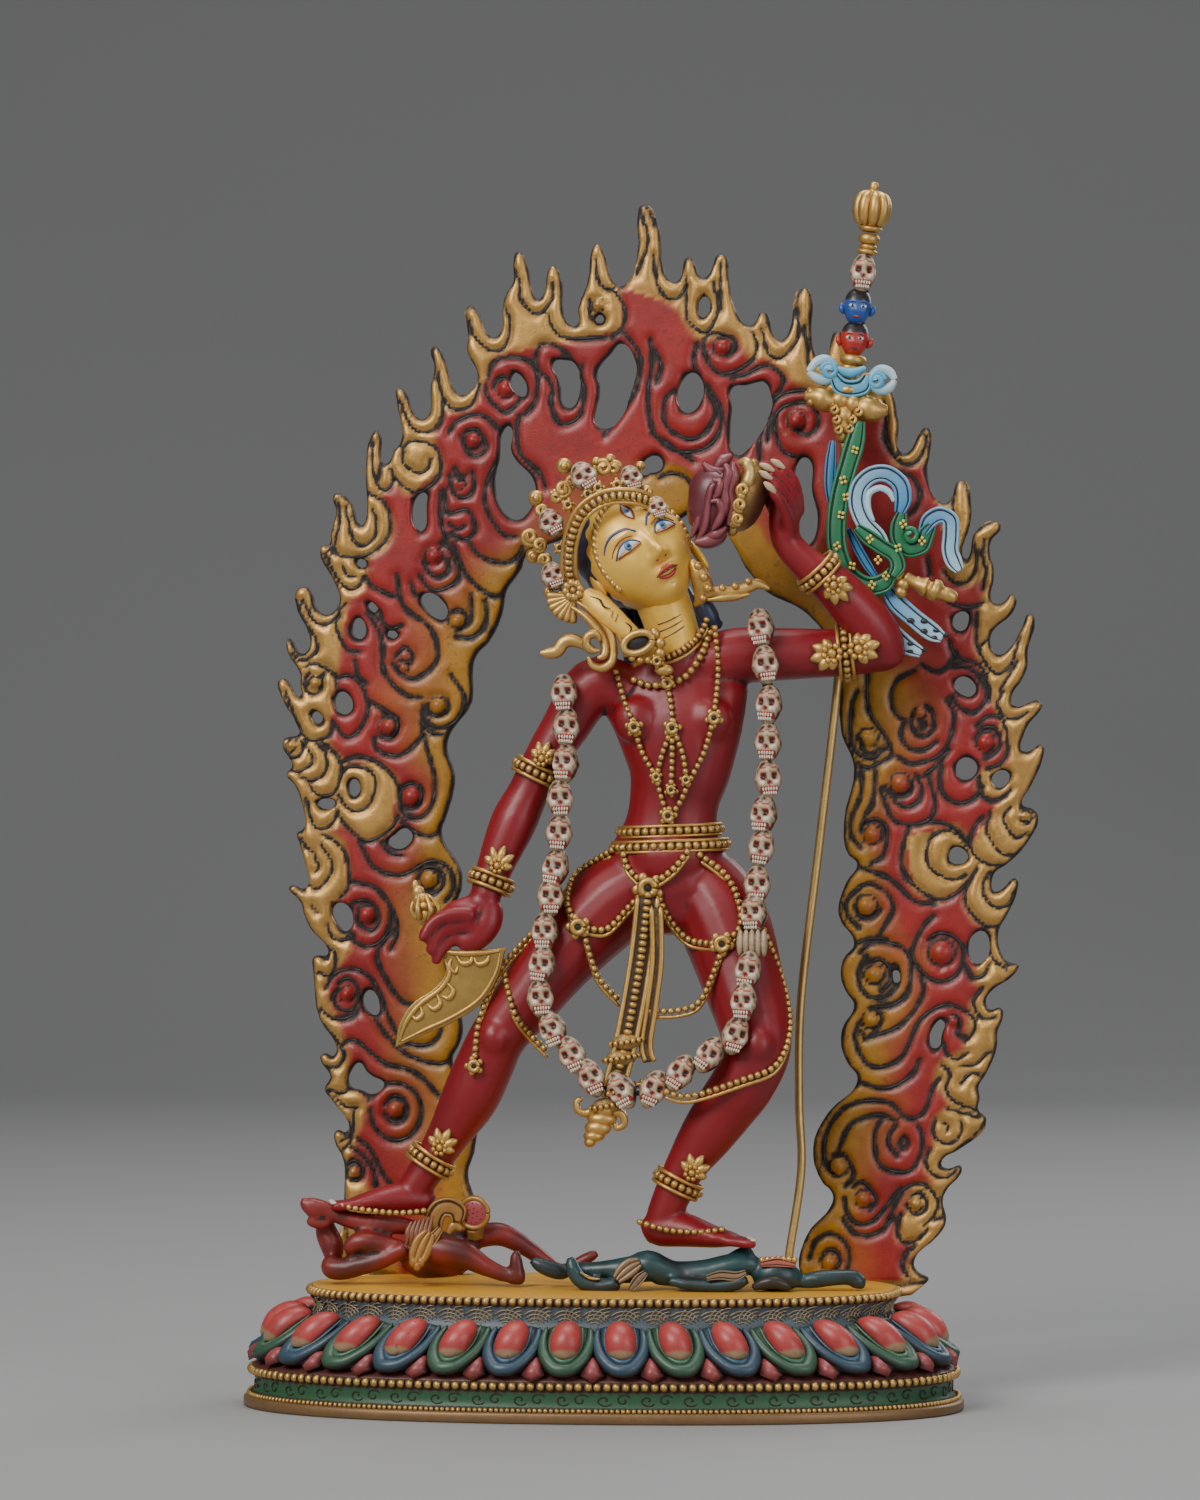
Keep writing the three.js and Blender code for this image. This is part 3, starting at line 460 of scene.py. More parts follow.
petals = shape_of()
petal_turns = even_turns(2 * PETALS)
for k, turn in enumerate(petal_turns):
    low, high = oval(99.5, turn, 15.4), oval(86.2, turn, 26.8)
    rise = high - low
    length = rise.length
    frame_x = (oval(100, turn + 0.004, 0) - oval(100, turn - 0.004, 0)).normalized()
    frame_z = frame_x.cross(rise.normalized())
    if frame_z.z < 0:
        frame_z = -frame_z
    seat = Matrix.Translation(low) @ Matrix((frame_x, rise.normalized(), frame_z)).transposed().to_4x4()
    if k % 2:
        point = limb([(0, -2.6, 0.4, 2.2, 1.6), (0, -2.2, 0.8, 3.3, 2.6), (0, 0.6, 1, 2.4, 2.4),
                      (0, 3.8, 0.4, 0.3)],
                     PINK_DARK, sides=4, rows=7, deep=(0, 0, 1), dirt_and_shade=rubbed_and_shaded(0.75, 0.6))
        put(petals, point, seat)
        continue
    skin = PETAL_BLUE if k % 4 else PETAL_GREEN
    pale = tuple(1.9 * part for part in skin[:3]) + (0,)
    scale = limb([(0, -1.6, -0.4, 3, 2), (0, 0.6, 0, PETAL_HALF - 0.8, 3),
                  (0, 0.55 * length, 0, PETAL_HALF - 0.4, 2.4), (0, length + 1, -0.6, PETAL_HALF - 1.8, 1)],
                 skin, sides=14, rows=12, deep=(0, 0, 1), dirt_and_shade=0.25)
    put(petals, scale, seat)
    for inset, girth, lift, tone in ((0, 1.9, 1.2, skin), (2.2, 0.75, 2.2, pale)):
        reach = PETAL_HALF - 0.6 - inset
        rim = [(-reach + 0.6, length * 0.98, lift - 0.6, girth * 0.3),
               (-reach, length * 0.62, lift, girth * 0.7),
               (-reach * 0.86, length * 0.26 + inset * 0.5, lift + 0.3, girth),
               (-reach * 0.42, -0.4 + inset, lift + 0.6, girth * 1.1),
               (0, -1.2 + inset, lift + 0.8, girth * 1.15),
               (reach * 0.42, -0.4 + inset, lift + 0.6, girth * 1.1),
               (reach * 0.86, length * 0.26 + inset * 0.5, lift + 0.3, girth),
               (reach, length * 0.62, lift, girth * 0.7),
               (reach - 0.6, length * 0.98, lift - 0.6, girth * 0.3)]
        # Each rim is painted lighter along its outward crest: a painted highlight.
        put(petals, limb(rim,
                         lambda share, front, tone=tone: tuple(part * (0.8 + 0.7 * max(0, front))
                                                               for part in tone[:3]) + (0,),
                         sides=8, rows=26, deep=(0, 0, 1), dirt_and_shade=rubbed_and_shaded(0.85, 0.75)), seat)

    def bulb_paint(share, front):
        return WORN_TAN if share < 0.3 else PINK

    # Dark on the bulb's back, where it lies against the scale: painted shade; thinner wash at its crest.
    def bulb_wash_and_shade(share, front):
        return 0.95 if front < -0.1 else 0.38 - 0.3 * front

    bulb = limb([(0, 0.16 * length, 2.6, 1, 1), (0, 0.24 * length, 3.2, 3.7, 2.6),
                 (0, 0.5 * length, 3.4, 4.6, 4.2), (0, 0.8 * length, 2.6, 4, 3.6),
                 (0, 1.02 * length, 0.8, 1.6, 1)],
                bulb_paint, sides=14, rows=16, deep=(0, 0, 1), dirt_and_shade=bulb_wash_and_shade)
    put(petals, bulb, seat)
petal_paint = painted("petal paint", grime_and_shade=(0.02, 0.012, 0.01), mottle=0.75, gloss=0.15, bump=0.00015)
piece("lotus_petals", petals, petal_paint, "painted_base")

# Wave band and green band: fans of fine gilded arcs are cut into the hollow band under the top,
# and black scrolls are drawn round the green band.
ARC_GOLD = (0.3, 0.24, 0.15, 0.3)
BAND_LEAST = 84
FANS = 50
SCROLLS = 42


def band_radius(height):
    return BAND_LEAST + 0.16 * (height - 29.2) ** 2


lines = shape_of()
for k, turn in enumerate(even_turns(2 * FANS)):
    stretch = BAND_LEAST / (oval(BAND_LEAST, turn + 0.01, 0) - oval(BAND_LEAST, turn, 0)).length * 0.01
    low = k % 2
    centre_height = 26.6 if low else 28.6
    spread = 1 if low else -1
    for ring_index in range(4):
        radius = 1.5 + 1.15 * ring_index
        stroke = []
        for step in range(7):
            angle = radians(20 + 21 * step) if low else radians(-10 + 19 * step)
            height = centre_height + radius * sin(angle) * 0.95
            if not 25.6 < height < 32.2:
                continue
            shift = spread * radius * cos(angle) / BAND_LEAST
            there = oval(band_radius(height) + 0.15, turn + shift * stretch, height)
            stroke.append((*there, 0.24, 0.34))
        if len(stroke) > 3:
            put(lines, limb(stroke, ARC_GOLD, sides=4, rows=8, deep=(cos(turn), sin(turn), 0),
                            dirt_and_shade=rubbed_and_shaded(0.5, 0.5)))
for turn in even_turns(SCROLLS):
    pitch = 0.01 / (oval(101.6, turn + 0.01, 0) - oval(101.6, turn, 0)).length
    for side in (-1, 1):
        stroke = []
        for step in range(12):
            angle = side * (0.4 + 0.62 * step)
            reach = 2.3 * (1 - step / 13)
            there = oval(101.75, turn + pitch * (side * 2.6 + reach * cos(angle)),
                         6.8 + reach * 0.8 * sin(angle))
            stroke.append((*there, 0.2, 0.16))
        put(lines, limb(stroke, BLACK, sides=4, rows=14, deep=(cos(turn), sin(turn), 0), dirt_and_shade=1))
piece("base_linework", lines, gilding, "painted_base")

# Flame aureole: an openwork arch of flames, cast flat in resin, carved on its front, stood behind the
# figure. Grooves part rolled tongues and curls, darkened with black wash and painted shade. The flames are
# painted ochre inside, then red, with gilded tips.
PLATE_PLACE = Matrix.Translation((0, 30, 0)) @ Matrix.Rotation(-0.07, 4, "Z")
PLATE_HALF = 2.2
PLATE_MIDDLE = (611, 750)
PLATE_STEPS = 3.374
PLATE_VOXEL = 1
FRONT_LEVEL = -0.5
ROLL_REACH = 3
WASH_AND_SHADE_REACH = 1.2
GOLD_WASH_AND_SHADE_REACH = 0.85
GOLD_BLEND = 1.2
FLAME_RED = (0.28, 0.012, 0.009, 0)
FLAME_ORANGE = (0.3, 0.06, 0.01, 0)
FLAME_YELLOW = (0.36, 0.17, 0.01, 0)
FLAME_GOLD = (0.5, 0.28, 0.075, 0.7)
FLAME_BACK = (0.13, 0.03, 0.018, 0.1)
# Columns and rows of the front view in turn: the outer edge from the left foot round to the right foot.
FLAME_EDGE = [
    348, 1275, 342, 1197, 341, 1162, 331, 1140, 334, 1132, 345, 1137, 328, 1101, 321, 1092, 328, 1080,
    317, 1060, 321, 1055, 330, 1060, 334, 1054, 332, 1044, 316, 1020, 310, 972, 309, 960, 317, 957,
    324, 961, 325, 951, 308, 932, 301, 918, 296, 902, 284, 888, 293, 888, 300, 893, 296, 846, 293, 833,
    299, 832, 296, 799, 289, 784, 281, 775, 288, 769, 285, 759, 278, 749, 279, 740, 290, 737, 296, 737,
    275, 694, 274, 680, 280, 679, 297, 699, 296, 686, 296, 674, 285, 657, 281, 645, 283, 638, 297, 655,
    304, 650, 306, 640, 290, 598, 295, 587, 304, 588, 313, 610, 322, 615, 331, 611, 336, 600, 333, 587,
    315, 549, 319, 544, 333, 554, 328, 546, 327, 534, 332, 508, 328, 498, 332, 492, 349, 505, 352, 518,
    357, 526, 362, 520, 362, 462, 368, 434, 373, 429, 378, 438, 377, 450, 380, 463, 386, 462, 390, 451,
    398, 442, 393, 398, 393, 387, 400, 388, 412, 414, 419, 419, 426, 415, 428, 385, 432, 368, 430, 345,
    437, 348, 454, 392, 461, 395, 476, 377, 465, 351, 466, 335, 467, 304, 475, 310, 490, 337, 497, 335,
    501, 304, 505, 292, 512, 280, 511, 265, 517, 250, 523, 257, 535, 299, 540, 298, 546, 272, 551, 264,
    558, 272, 562, 310, 568, 324, 576, 326, 577, 308, 587, 280, 591, 249, 596, 243, 602, 250, 613, 282,
    621, 287, 637, 251, 637, 213, 642, 204, 658, 228, 662, 266, 669, 281, 677, 283, 688, 257, 694, 264,
    699, 277, 706, 278, 720, 254, 727, 259, 728, 274, 741, 321, 752, 327, 763, 312, 774, 337, 782, 342,
    789, 333, 804, 288, 811, 296, 811, 332, 815, 354, 822, 364, 838, 331, 845, 345, 858, 366, 888, 386,
    898, 420, 901, 454, 907, 455, 928, 428, 931, 440, 929, 457, 927, 472, 940, 503, 948, 504, 961, 480,
    971, 508, 970, 524, 962, 556, 967, 562, 971, 550, 973, 536, 998, 522, 1000, 530, 991, 540, 989, 551,
    993, 566, 993, 582, 990, 597, 997, 605, 1006, 600, 1012, 593, 1016, 601, 1011, 614, 991, 633, 991, 647,
    998, 655, 1007, 651, 1021, 629, 1030, 613, 1034, 618, 1027, 650, 1027, 665, 1021, 680, 1012, 693,
    1012, 705, 1042, 701, 1038, 712, 1029, 722, 1023, 735, 1021, 750, 1030, 750, 1042, 743, 1043, 754,
    1031, 784, 1022, 805, 1031, 806, 1038, 813, 1029, 838, 1006, 863, 996, 869, 992, 879, 995, 890,
    1004, 886, 1017, 875, 1018, 886, 1006, 915, 999, 928, 1004, 955, 1011, 960, 1019, 961, 1014, 972,
    991, 989, 986, 1000, 991, 1007, 1002, 1004, 1003, 1016, 998, 1028, 998, 1042, 986, 1072, 979, 1083,
    981, 1094, 979, 1107, 988, 1114, 958, 1147, 946, 1153, 942, 1162, 950, 1165, 963, 1162, 960, 1173,
    950, 1183, 944, 1196, 948, 1217, 941, 1230, 915, 1260, 921, 1269, 932, 1275,
]
FLAME_INSIDE = [
    806, 1275, 808, 1234, 835, 1199, 834, 1189, 824, 1179, 815, 1145, 830, 1110, 860, 1076, 850, 1062,
    843, 1044, 844, 1026, 856, 1003, 847, 989, 842, 972, 846, 955, 856, 943, 840, 914, 848, 880, 859, 862,
    849, 853, 845, 820, 855, 766, 842, 732, 838, 660, 808, 614, 764, 590, 699, 512, 672, 522, 655, 517,
    640, 508, 560, 540, 524, 556, 520, 568, 504, 592, 502, 608, 487, 642, 475, 654, 471, 668, 470, 702,
    445, 742, 453, 778, 444, 818, 439, 832, 461, 876, 446, 930, 452, 990, 462, 1030, 458, 1046, 451, 1060,
    468, 1100, 476, 1130, 473, 1155, 467, 1175, 476, 1210, 464, 1275,
]
FLAME_HOLES = [
    (594, 318, 599, 314, 604, 318, 603, 323, 597, 324), (552, 360, 562, 360, 573, 362, 577, 400, 571, 408,
    564, 407, 559, 383), (620, 343, 635, 362, 635, 378, 600, 429, 599, 385, 596, 372, 611, 352), (511, 372,
    518, 374, 526, 392, 523, 398), (502, 428, 508, 425, 510, 453, 534, 484, 526, 514, 516, 520, 506, 516,
    493, 486, 498, 455), (704, 296, 710, 309, 702, 319, 698, 311), (685, 376, 697, 374, 697, 409, 683, 412),
    (731, 388, 745, 386, 768, 385, 743, 455, 735, 455, 730, 428, 732, 408), (642, 463, 658, 456, 663, 465,
    659, 472, 650, 473, 643, 477), (800, 459, 807, 458, 812, 464, 812, 490, 818, 520, 809, 546, 800, 546,
    797, 510), (352, 560, 361, 559, 364, 565, 358, 568), (412, 498, 425, 492, 424, 502, 423, 527, 419, 532),
    (419, 594, 441, 601, 444, 619, 438, 620, 419, 602), (364, 602, 378, 613, 379, 620, 372, 615), (383, 630,
    391, 630, 396, 634, 389, 639), (355, 617, 363, 631, 359, 639, 352, 638, 348, 630), (331, 698, 336, 692,
    343, 693, 349, 710, 338, 715), (307, 714, 311, 711, 320, 722, 316, 726), (345, 785, 348, 780, 354, 780,
    356, 795, 350, 798), (313, 803, 318, 800, 333, 804, 319, 810), (384, 842, 392, 836, 400, 829, 409, 831,
    411, 838, 405, 847, 395, 850), (331, 906, 347, 909, 344, 934, 338, 931), (363, 993, 369, 991, 378, 1010,
    376, 1017, 362, 1009), (350, 1070, 358, 1064, 364, 1073, 373, 1080, 383, 1084, 370, 1097, 358, 1092,
    347, 1089), (953, 617, 967, 612, 969, 618, 962, 632, 956, 629), (955, 680, 970, 678, 975, 694,
    962, 694), (920, 723, 924, 721, 927, 725, 924, 728), (956, 765, 967, 756, 978, 767, 964, 779),
    (992, 775, 1006, 769, 1010, 773, 999, 787), (953, 846, 962, 846, 969, 857, 955, 862, 950, 859),
    (969, 943, 981, 928, 988, 931, 979, 962), (895, 962, 899, 965, 898, 984, 895, 979), (931, 1040,
    938, 1019, 945, 1016, 942, 1035, 942, 1042, 936, 1046), (906, 1133, 910, 1139, 906, 1145, 902, 1139),
]
# The gilding ends along this line; outside it the tongues are gold.
GOLD_LINE = [
    400, 1275, 372, 1200, 350, 1160, 366, 1105, 348, 1078, 346, 1050, 324, 988, 350, 946, 330, 906,
    345, 892, 341, 842, 328, 832, 342, 826, 366, 842, 390, 832, 396, 782, 372, 762, 346, 764, 326, 742,
    336, 664, 346, 600, 362, 590, 366, 560, 386, 546, 390, 520, 378, 498, 392, 484, 406, 494, 440, 470,
    432, 438, 442, 414, 470, 408, 495, 356, 620, 330, 622, 288, 672, 305, 700, 341, 735, 336, 752, 360,
    768, 360, 800, 386, 884, 410, 897, 468, 928, 468, 950, 560, 945, 576, 970, 586, 985, 580, 975, 640,
    1010, 762, 984, 768, 980, 790, 1000, 800, 972, 840, 958, 824, 908, 835, 915, 888, 940, 898, 968, 882,
    965, 900, 976, 919, 990, 926, 975, 978, 985, 985, 972, 1000, 965, 1045, 945, 1056, 936, 1076, 950, 1100,
    936, 1116, 936, 1140, 925, 1160, 935, 1178, 915, 1182, 900, 1235, 915, 1240, 905, 1275,
]
# Grooves between the rolls of flame.
FLAME_GROOVES = [
    (397, 400, 410, 427, 422, 432, 434, 428, 441, 415, 436, 370), (435, 372, 437, 385, 450, 408, 469, 405,
    478, 384), (468, 320, 472, 335, 492, 351, 503, 347, 509, 322, 504, 308), (513, 268, 519, 285, 520, 300,
    537, 314, 552, 297, 551, 284), (547, 313, 552, 328, 562, 337, 606, 338), (604, 288, 612, 290, 625, 312,
    622, 328, 612, 338), (589, 300, 588, 311, 592, 321), (595, 258, 599, 283, 608, 292), (640, 212,
    648, 240, 636, 276), (650, 215, 655, 228), (570, 356, 550, 344, 540, 345, 535, 365, 549, 381, 552, 392,
    550, 402, 560, 424, 578, 418, 584, 390, 580, 378, 581, 366), (487, 378, 490, 366, 500, 358, 528, 361,
    536, 373, 534, 402, 524, 415), (492, 386, 498, 377, 508, 378, 520, 396, 505, 412, 486, 396, 484, 386),
    (448, 432, 454, 422, 480, 415, 499, 432, 500, 446), (464, 431, 474, 429, 485, 447, 479, 455, 468, 454,
    459, 436), (519, 416, 516, 430, 520, 454, 540, 474, 545, 488), (624, 333, 640, 356, 637, 388, 604, 436),
    (653, 255, 658, 286, 665, 297, 676, 300, 684, 292, 686, 278), (687, 286, 688, 320, 705, 333, 718, 315,
    714, 284), (720, 264, 722, 312), (752, 332, 757, 345, 752, 362, 725, 375, 713, 369, 703, 345, 710, 335,
    733, 339, 736, 350, 729, 357), (697, 345, 694, 360, 697, 375, 716, 412, 704, 435, 690, 440, 666, 425,
    666, 400, 674, 392), (650, 340, 652, 360, 648, 400, 656, 436, 684, 453, 714, 443, 722, 412, 708, 386),
    (655, 350, 661, 366, 657, 382), (733, 379, 745, 376, 768, 367, 784, 380, 780, 392, 770, 402, 760, 445,
    760, 462), (778, 440, 775, 425, 780, 411, 806, 404, 817, 412, 819, 425, 811, 435, 800, 434, 797, 426),
    (768, 442, 773, 405, 785, 395, 815, 393, 828, 402), (778, 442, 785, 453, 796, 458), (762, 330, 770, 356,
    781, 359, 798, 340, 798, 308), (805, 328, 811, 370, 820, 384, 832, 388), (652, 434, 694, 462),
    (660, 478, 672, 474, 686, 478, 694, 490, 695, 504), (371, 440, 369, 455, 375, 485, 383, 490, 390, 482,
    389, 470), (378, 464, 376, 480), (365, 492, 384, 505, 386, 535, 366, 554, 338, 556, 331, 550),
    (342, 506, 352, 542, 362, 545, 371, 538, 374, 525, 370, 508), (334, 500, 337, 515, 331, 545), (321, 552,
    338, 583, 347, 589, 356, 586, 360, 577), (340, 565, 343, 574, 352, 577), (299, 600, 312, 622, 325, 624,
    342, 603), (293, 600, 297, 615, 313, 640, 313, 652, 297, 661, 288, 653), (399, 456, 402, 446, 412, 440,
    435, 449, 437, 476, 415, 492, 393, 478, 388, 467), (402, 450, 401, 462, 417, 473, 426, 468, 429, 458),
    (448, 475, 450, 488, 458, 497, 468, 496, 473, 485, 471, 472), (453, 468, 460, 482, 463, 476), (495, 462,
    484, 490, 486, 510, 503, 535, 515, 537), (443, 490, 447, 513, 466, 510, 474, 530, 466, 539, 450, 534),
    (448, 524, 457, 529, 463, 526), (469, 543, 478, 555, 505, 563, 518, 556, 522, 548), (452, 545, 468, 578,
    492, 596, 504, 596), (440, 490, 438, 510, 446, 548), (418, 575, 425, 586, 437, 591, 458, 578, 449, 550,
    440, 543), (422, 562, 428, 573, 438, 577, 447, 571, 446, 560), (395, 575, 401, 605, 430, 630, 436, 660,
    413, 679, 400, 675, 391, 664), (409, 582, 413, 595), (362, 576, 368, 585, 392, 597), (380, 623,
    388, 629, 400, 626), (365, 612, 380, 640, 382, 672, 405, 696, 420, 698), (338, 612, 333, 625, 345, 650,
    357, 652), (470, 595, 470, 619, 462, 628, 453, 627), (484, 600, 486, 615, 482, 630, 470, 638, 455, 637),
    (450, 613, 458, 610, 466, 616), (394, 656, 403, 648, 411, 655, 408, 663, 399, 661), (352, 660, 356, 676,
    364, 684), (281, 692, 305, 740, 327, 735, 331, 725), (322, 672, 318, 680, 318, 690, 310, 695, 302, 690,
    301, 680, 306, 673), (301, 667, 311, 664, 331, 675, 334, 686), (334, 679, 345, 676, 356, 682, 366, 708,
    355, 733, 344, 738, 330, 722), (366, 700, 396, 720), (382, 717, 390, 716, 396, 723, 388, 739, 379, 737),
    (372, 738, 375, 750, 398, 756, 420, 737, 421, 720), (297, 740, 299, 749, 295, 757, 286, 757, 282, 750),
    (301, 742, 309, 763, 292, 773, 284, 768), (312, 743, 322, 753, 324, 768, 318, 778, 306, 781, 296, 777),
    (318, 741, 338, 764, 332, 793, 320, 797, 310, 792, 306, 784), (286, 781, 293, 791, 299, 820), (303, 800,
    312, 828, 322, 830, 331, 822, 334, 812), (339, 776, 345, 768, 367, 771, 374, 783, 365, 808, 352, 812,
    342, 806, 336, 795), (340, 763, 352, 758, 368, 760, 393, 780, 400, 812), (397, 816, 390, 828, 365, 842,
    340, 822, 334, 810), (400, 788, 410, 784, 420, 790, 415, 808, 405, 810), (400, 812, 408, 818, 420, 818,
    430, 808, 434, 780, 426, 750, 424, 735), (400, 822, 412, 832, 428, 837, 441, 832), (446, 700, 447, 710,
    438, 716, 428, 714, 422, 706), (420, 713, 425, 722, 438, 728, 452, 724, 464, 700, 450, 675), (420, 723,
    430, 733, 442, 735), (298, 839, 303, 848, 312, 855), (312, 860, 316, 867, 313, 873), (318, 845,
    330, 868, 315, 890, 305, 886), (318, 835, 332, 842, 343, 855, 346, 888, 338, 899), (358, 843, 372, 868,
    400, 876, 430, 862, 445, 866, 453, 878, 452, 892, 445, 902), (417, 880, 422, 870, 433, 868, 442, 876,
    441, 888, 430, 895, 418, 892), (380, 843, 388, 853, 401, 856), (350, 883, 375, 890, 394, 918, 396, 935,
    390, 950), (352, 903, 365, 902, 375, 910, 377, 922, 370, 932, 354, 922, 358, 914), (389, 912, 388, 928,
    380, 942, 366, 948, 352, 942, 342, 918, 348, 908), (394, 930, 376, 956, 402, 1003, 416, 1007),
    (304, 930, 312, 942, 333, 955, 327, 977, 316, 975), (309, 908, 314, 914), (325, 926, 330, 939, 342, 942,
    351, 937), (323, 990, 330, 978, 345, 971, 360, 973, 372, 983, 393, 1030, 401, 1040), (336, 985,
    345, 980, 355, 987, 357, 1000, 350, 1012, 338, 1011, 331, 1001, 335, 992), (318, 1010, 330, 1020,
    345, 1020, 357, 1013), (375, 1021, 384, 1035, 408, 1057, 440, 1065, 450, 1062), (313, 1018, 340, 1050,
    341, 1062, 334, 1070, 324, 1068), (342, 1045, 352, 1042, 385, 1065, 415, 1074, 440, 1098), (400, 1041,
    412, 1046, 428, 1046, 438, 1038, 442, 1026), (368, 1102, 375, 1092, 390, 1085, 405, 1087, 417, 1098,
    421, 1115, 415, 1132, 400, 1142, 385, 1140, 373, 1128, 369, 1112), (385, 1106, 392, 1098, 402, 1100,
    407, 1110, 402, 1122, 392, 1124, 384, 1117), (324, 1095, 341, 1120, 349, 1128, 348, 1138, 340, 1143),
    (334, 1100, 345, 1109, 356, 1110), (326, 1092, 340, 1095, 350, 1091), (352, 1112, 350, 1140, 341, 1152,
    336, 1152), (355, 1140, 368, 1150, 385, 1180, 393, 1189), (348, 1148, 362, 1158, 372, 1172, 376, 1190),
    (345, 1168, 352, 1163, 360, 1168, 362, 1178, 354, 1184, 345, 1180), (884, 400, 887, 420, 886, 440,
    903, 465, 915, 464, 924, 452, 926, 438), (897, 473, 912, 478, 920, 492, 917, 508, 909, 516), (955, 495,
    953, 510, 956, 525, 952, 545), (945, 572, 955, 583, 967, 582, 975, 572, 975, 541), (985, 540, 982, 555,
    986, 570, 983, 590), (940, 595, 955, 605, 970, 608, 985, 602), (928, 558, 930, 575), (1002, 625,
    982, 645), (978, 613, 978, 645, 996, 673, 1008, 668, 1020, 638), (1018, 660, 1000, 690), (950, 640,
    955, 655, 980, 665, 988, 680, 990, 700), (922, 664, 938, 672, 950, 665, 957, 652), (915, 670, 898, 680,
    892, 695, 896, 712, 905, 720), (951, 666, 970, 668, 988, 692, 975, 712, 962, 708, 952, 696), (1004, 690,
    998, 703, 1004, 715, 1015, 718, 1028, 712), (915, 712, 912, 722, 918, 734, 928, 735, 935, 725, 933, 712,
    927, 706), (905, 722, 902, 735, 910, 747, 925, 749, 938, 741), (948, 700, 955, 715, 943, 752, 912, 763,
    898, 755), (864, 738, 863, 747, 871, 753, 881, 748), (859, 690, 853, 705, 853, 742, 862, 755, 875, 757,
    886, 748), (868, 670, 870, 710, 888, 738, 893, 752), (858, 762, 868, 767, 894, 755), (885, 786,
    893, 794, 905, 796, 913, 787, 909, 777), (917, 774, 923, 787, 920, 800, 908, 806, 896, 800), (882, 790,
    897, 820, 928, 820, 936, 806, 930, 776), (943, 766, 940, 780, 946, 795, 960, 802, 975, 797, 984, 785),
    (950, 748, 940, 762, 925, 775), (978, 736, 985, 727, 996, 728, 1001, 740, 996, 752, 986, 757),
    (977, 725, 988, 716, 1002, 718, 1008, 750, 1000, 763, 988, 768), (980, 775, 981, 790, 990, 799,
    1002, 797, 1012, 787), (862, 770, 863, 790, 852, 820, 853, 835, 862, 846), (877, 770, 873, 805,
    866, 816, 862, 830), (865, 822, 876, 818, 887, 825, 884, 855, 872, 862), (910, 824, 903, 858, 908, 875,
    938, 897, 955, 893, 968, 881), (968, 842, 957, 832, 942, 830, 931, 838, 930, 864, 955, 878, 968, 872),
    (928, 820, 945, 822, 960, 830, 970, 842), (1010, 806, 1004, 816, 1016, 835, 1028, 831), (992, 811,
    987, 827, 1003, 852, 1013, 853), (984, 815, 975, 826, 971, 841, 977, 855, 990, 862, 1003, 862),
    (1021, 818, 1028, 822, 1033, 815), (990, 870, 984, 882, 987, 897, 998, 905, 1010, 901, 1015, 890),
    (978, 865, 966, 897, 985, 922, 998, 924), (862, 866, 890, 877, 918, 900, 936, 902), (857, 903, 860, 913,
    871, 917, 882, 908), (883, 887, 870, 882, 848, 900, 850, 915, 861, 926), (888, 890, 895, 905, 880, 935),
    (856, 943, 870, 937, 888, 937), (930, 937, 940, 931, 955, 934, 964, 946, 963, 962), (935, 913, 924, 926,
    914, 955, 932, 976, 945, 979, 958, 972, 965, 960), (862, 950, 873, 941, 903, 945, 912, 958, 908, 992,
    893, 1003, 872, 1005), (868, 954, 861, 968, 862, 984, 872, 995, 886, 995, 895, 988), (871, 962,
    881, 957, 891, 966, 892, 980, 883, 988), (922, 972, 925, 990, 903, 1022, 866, 1037), (876, 1005,
    884, 1016, 868, 1036, 863, 1028), (862, 1018, 857, 1035, 872, 1063, 900, 1058, 924, 1015, 950, 1002,
    975, 1015, 975, 1028, 967, 1038), (955, 1012, 962, 1020, 959, 1030, 966, 1034), (945, 1040, 948, 1050,
    958, 1056, 969, 1049), (860, 1079, 890, 1085, 915, 1070, 921, 1057), (990, 933, 990, 948, 998, 960,
    1008, 966), (966, 960, 974, 975, 985, 972, 990, 962), (984, 984, 975, 1000, 984, 1015, 998, 1013),
    (1000, 1046, 988, 1050, 978, 1060, 962, 1062), (962, 1080, 972, 1070, 986, 1072), (945, 1062, 952, 1070,
    948, 1085, 956, 1097, 978, 1106), (905, 1112, 915, 1115, 925, 1110, 935, 1084, 942, 1074), (902, 1108,
    890, 1099, 850, 1103, 829, 1130, 828, 1162, 836, 1171), (898, 1118, 885, 1112, 855, 1120, 841, 1145),
    (835, 1152, 845, 1151, 856, 1172, 848, 1183), (884, 1115, 877, 1130, 883, 1162, 912, 1167, 925, 1138,
    921, 1122), (898, 1122, 891, 1132, 892, 1144, 899, 1152), (914, 1192, 922, 1188, 929, 1197, 926, 1208,
    915, 1210, 909, 1201), (890, 1217, 905, 1187, 917, 1180, 930, 1183, 939, 1195, 937, 1210, 927, 1220),
    (856, 1183, 864, 1178, 879, 1196, 873, 1206), (847, 1195, 850, 1210, 860, 1220, 874, 1218, 903, 1184),
    (845, 1215, 855, 1228, 870, 1232, 885, 1226, 896, 1213), (903, 1210, 900, 1225, 905, 1237, 918, 1236,
    930, 1225), (824, 1256, 828, 1248, 838, 1247, 843, 1256, 839, 1266), (812, 1255, 818, 1238, 832, 1230,
    846, 1236, 852, 1250, 850, 1268), (932, 1145, 928, 1158, 935, 1170, 948, 1173, 957, 1167), (938, 1115,
    935, 1128, 943, 1138, 955, 1138, 963, 1128, 962, 1115), (945, 1118, 950, 1122, 948, 1128), (950, 1105,
    980, 1113), (918, 1241, 908, 1250, 905, 1262, 912, 1273), (935, 1216, 944, 1213),
]
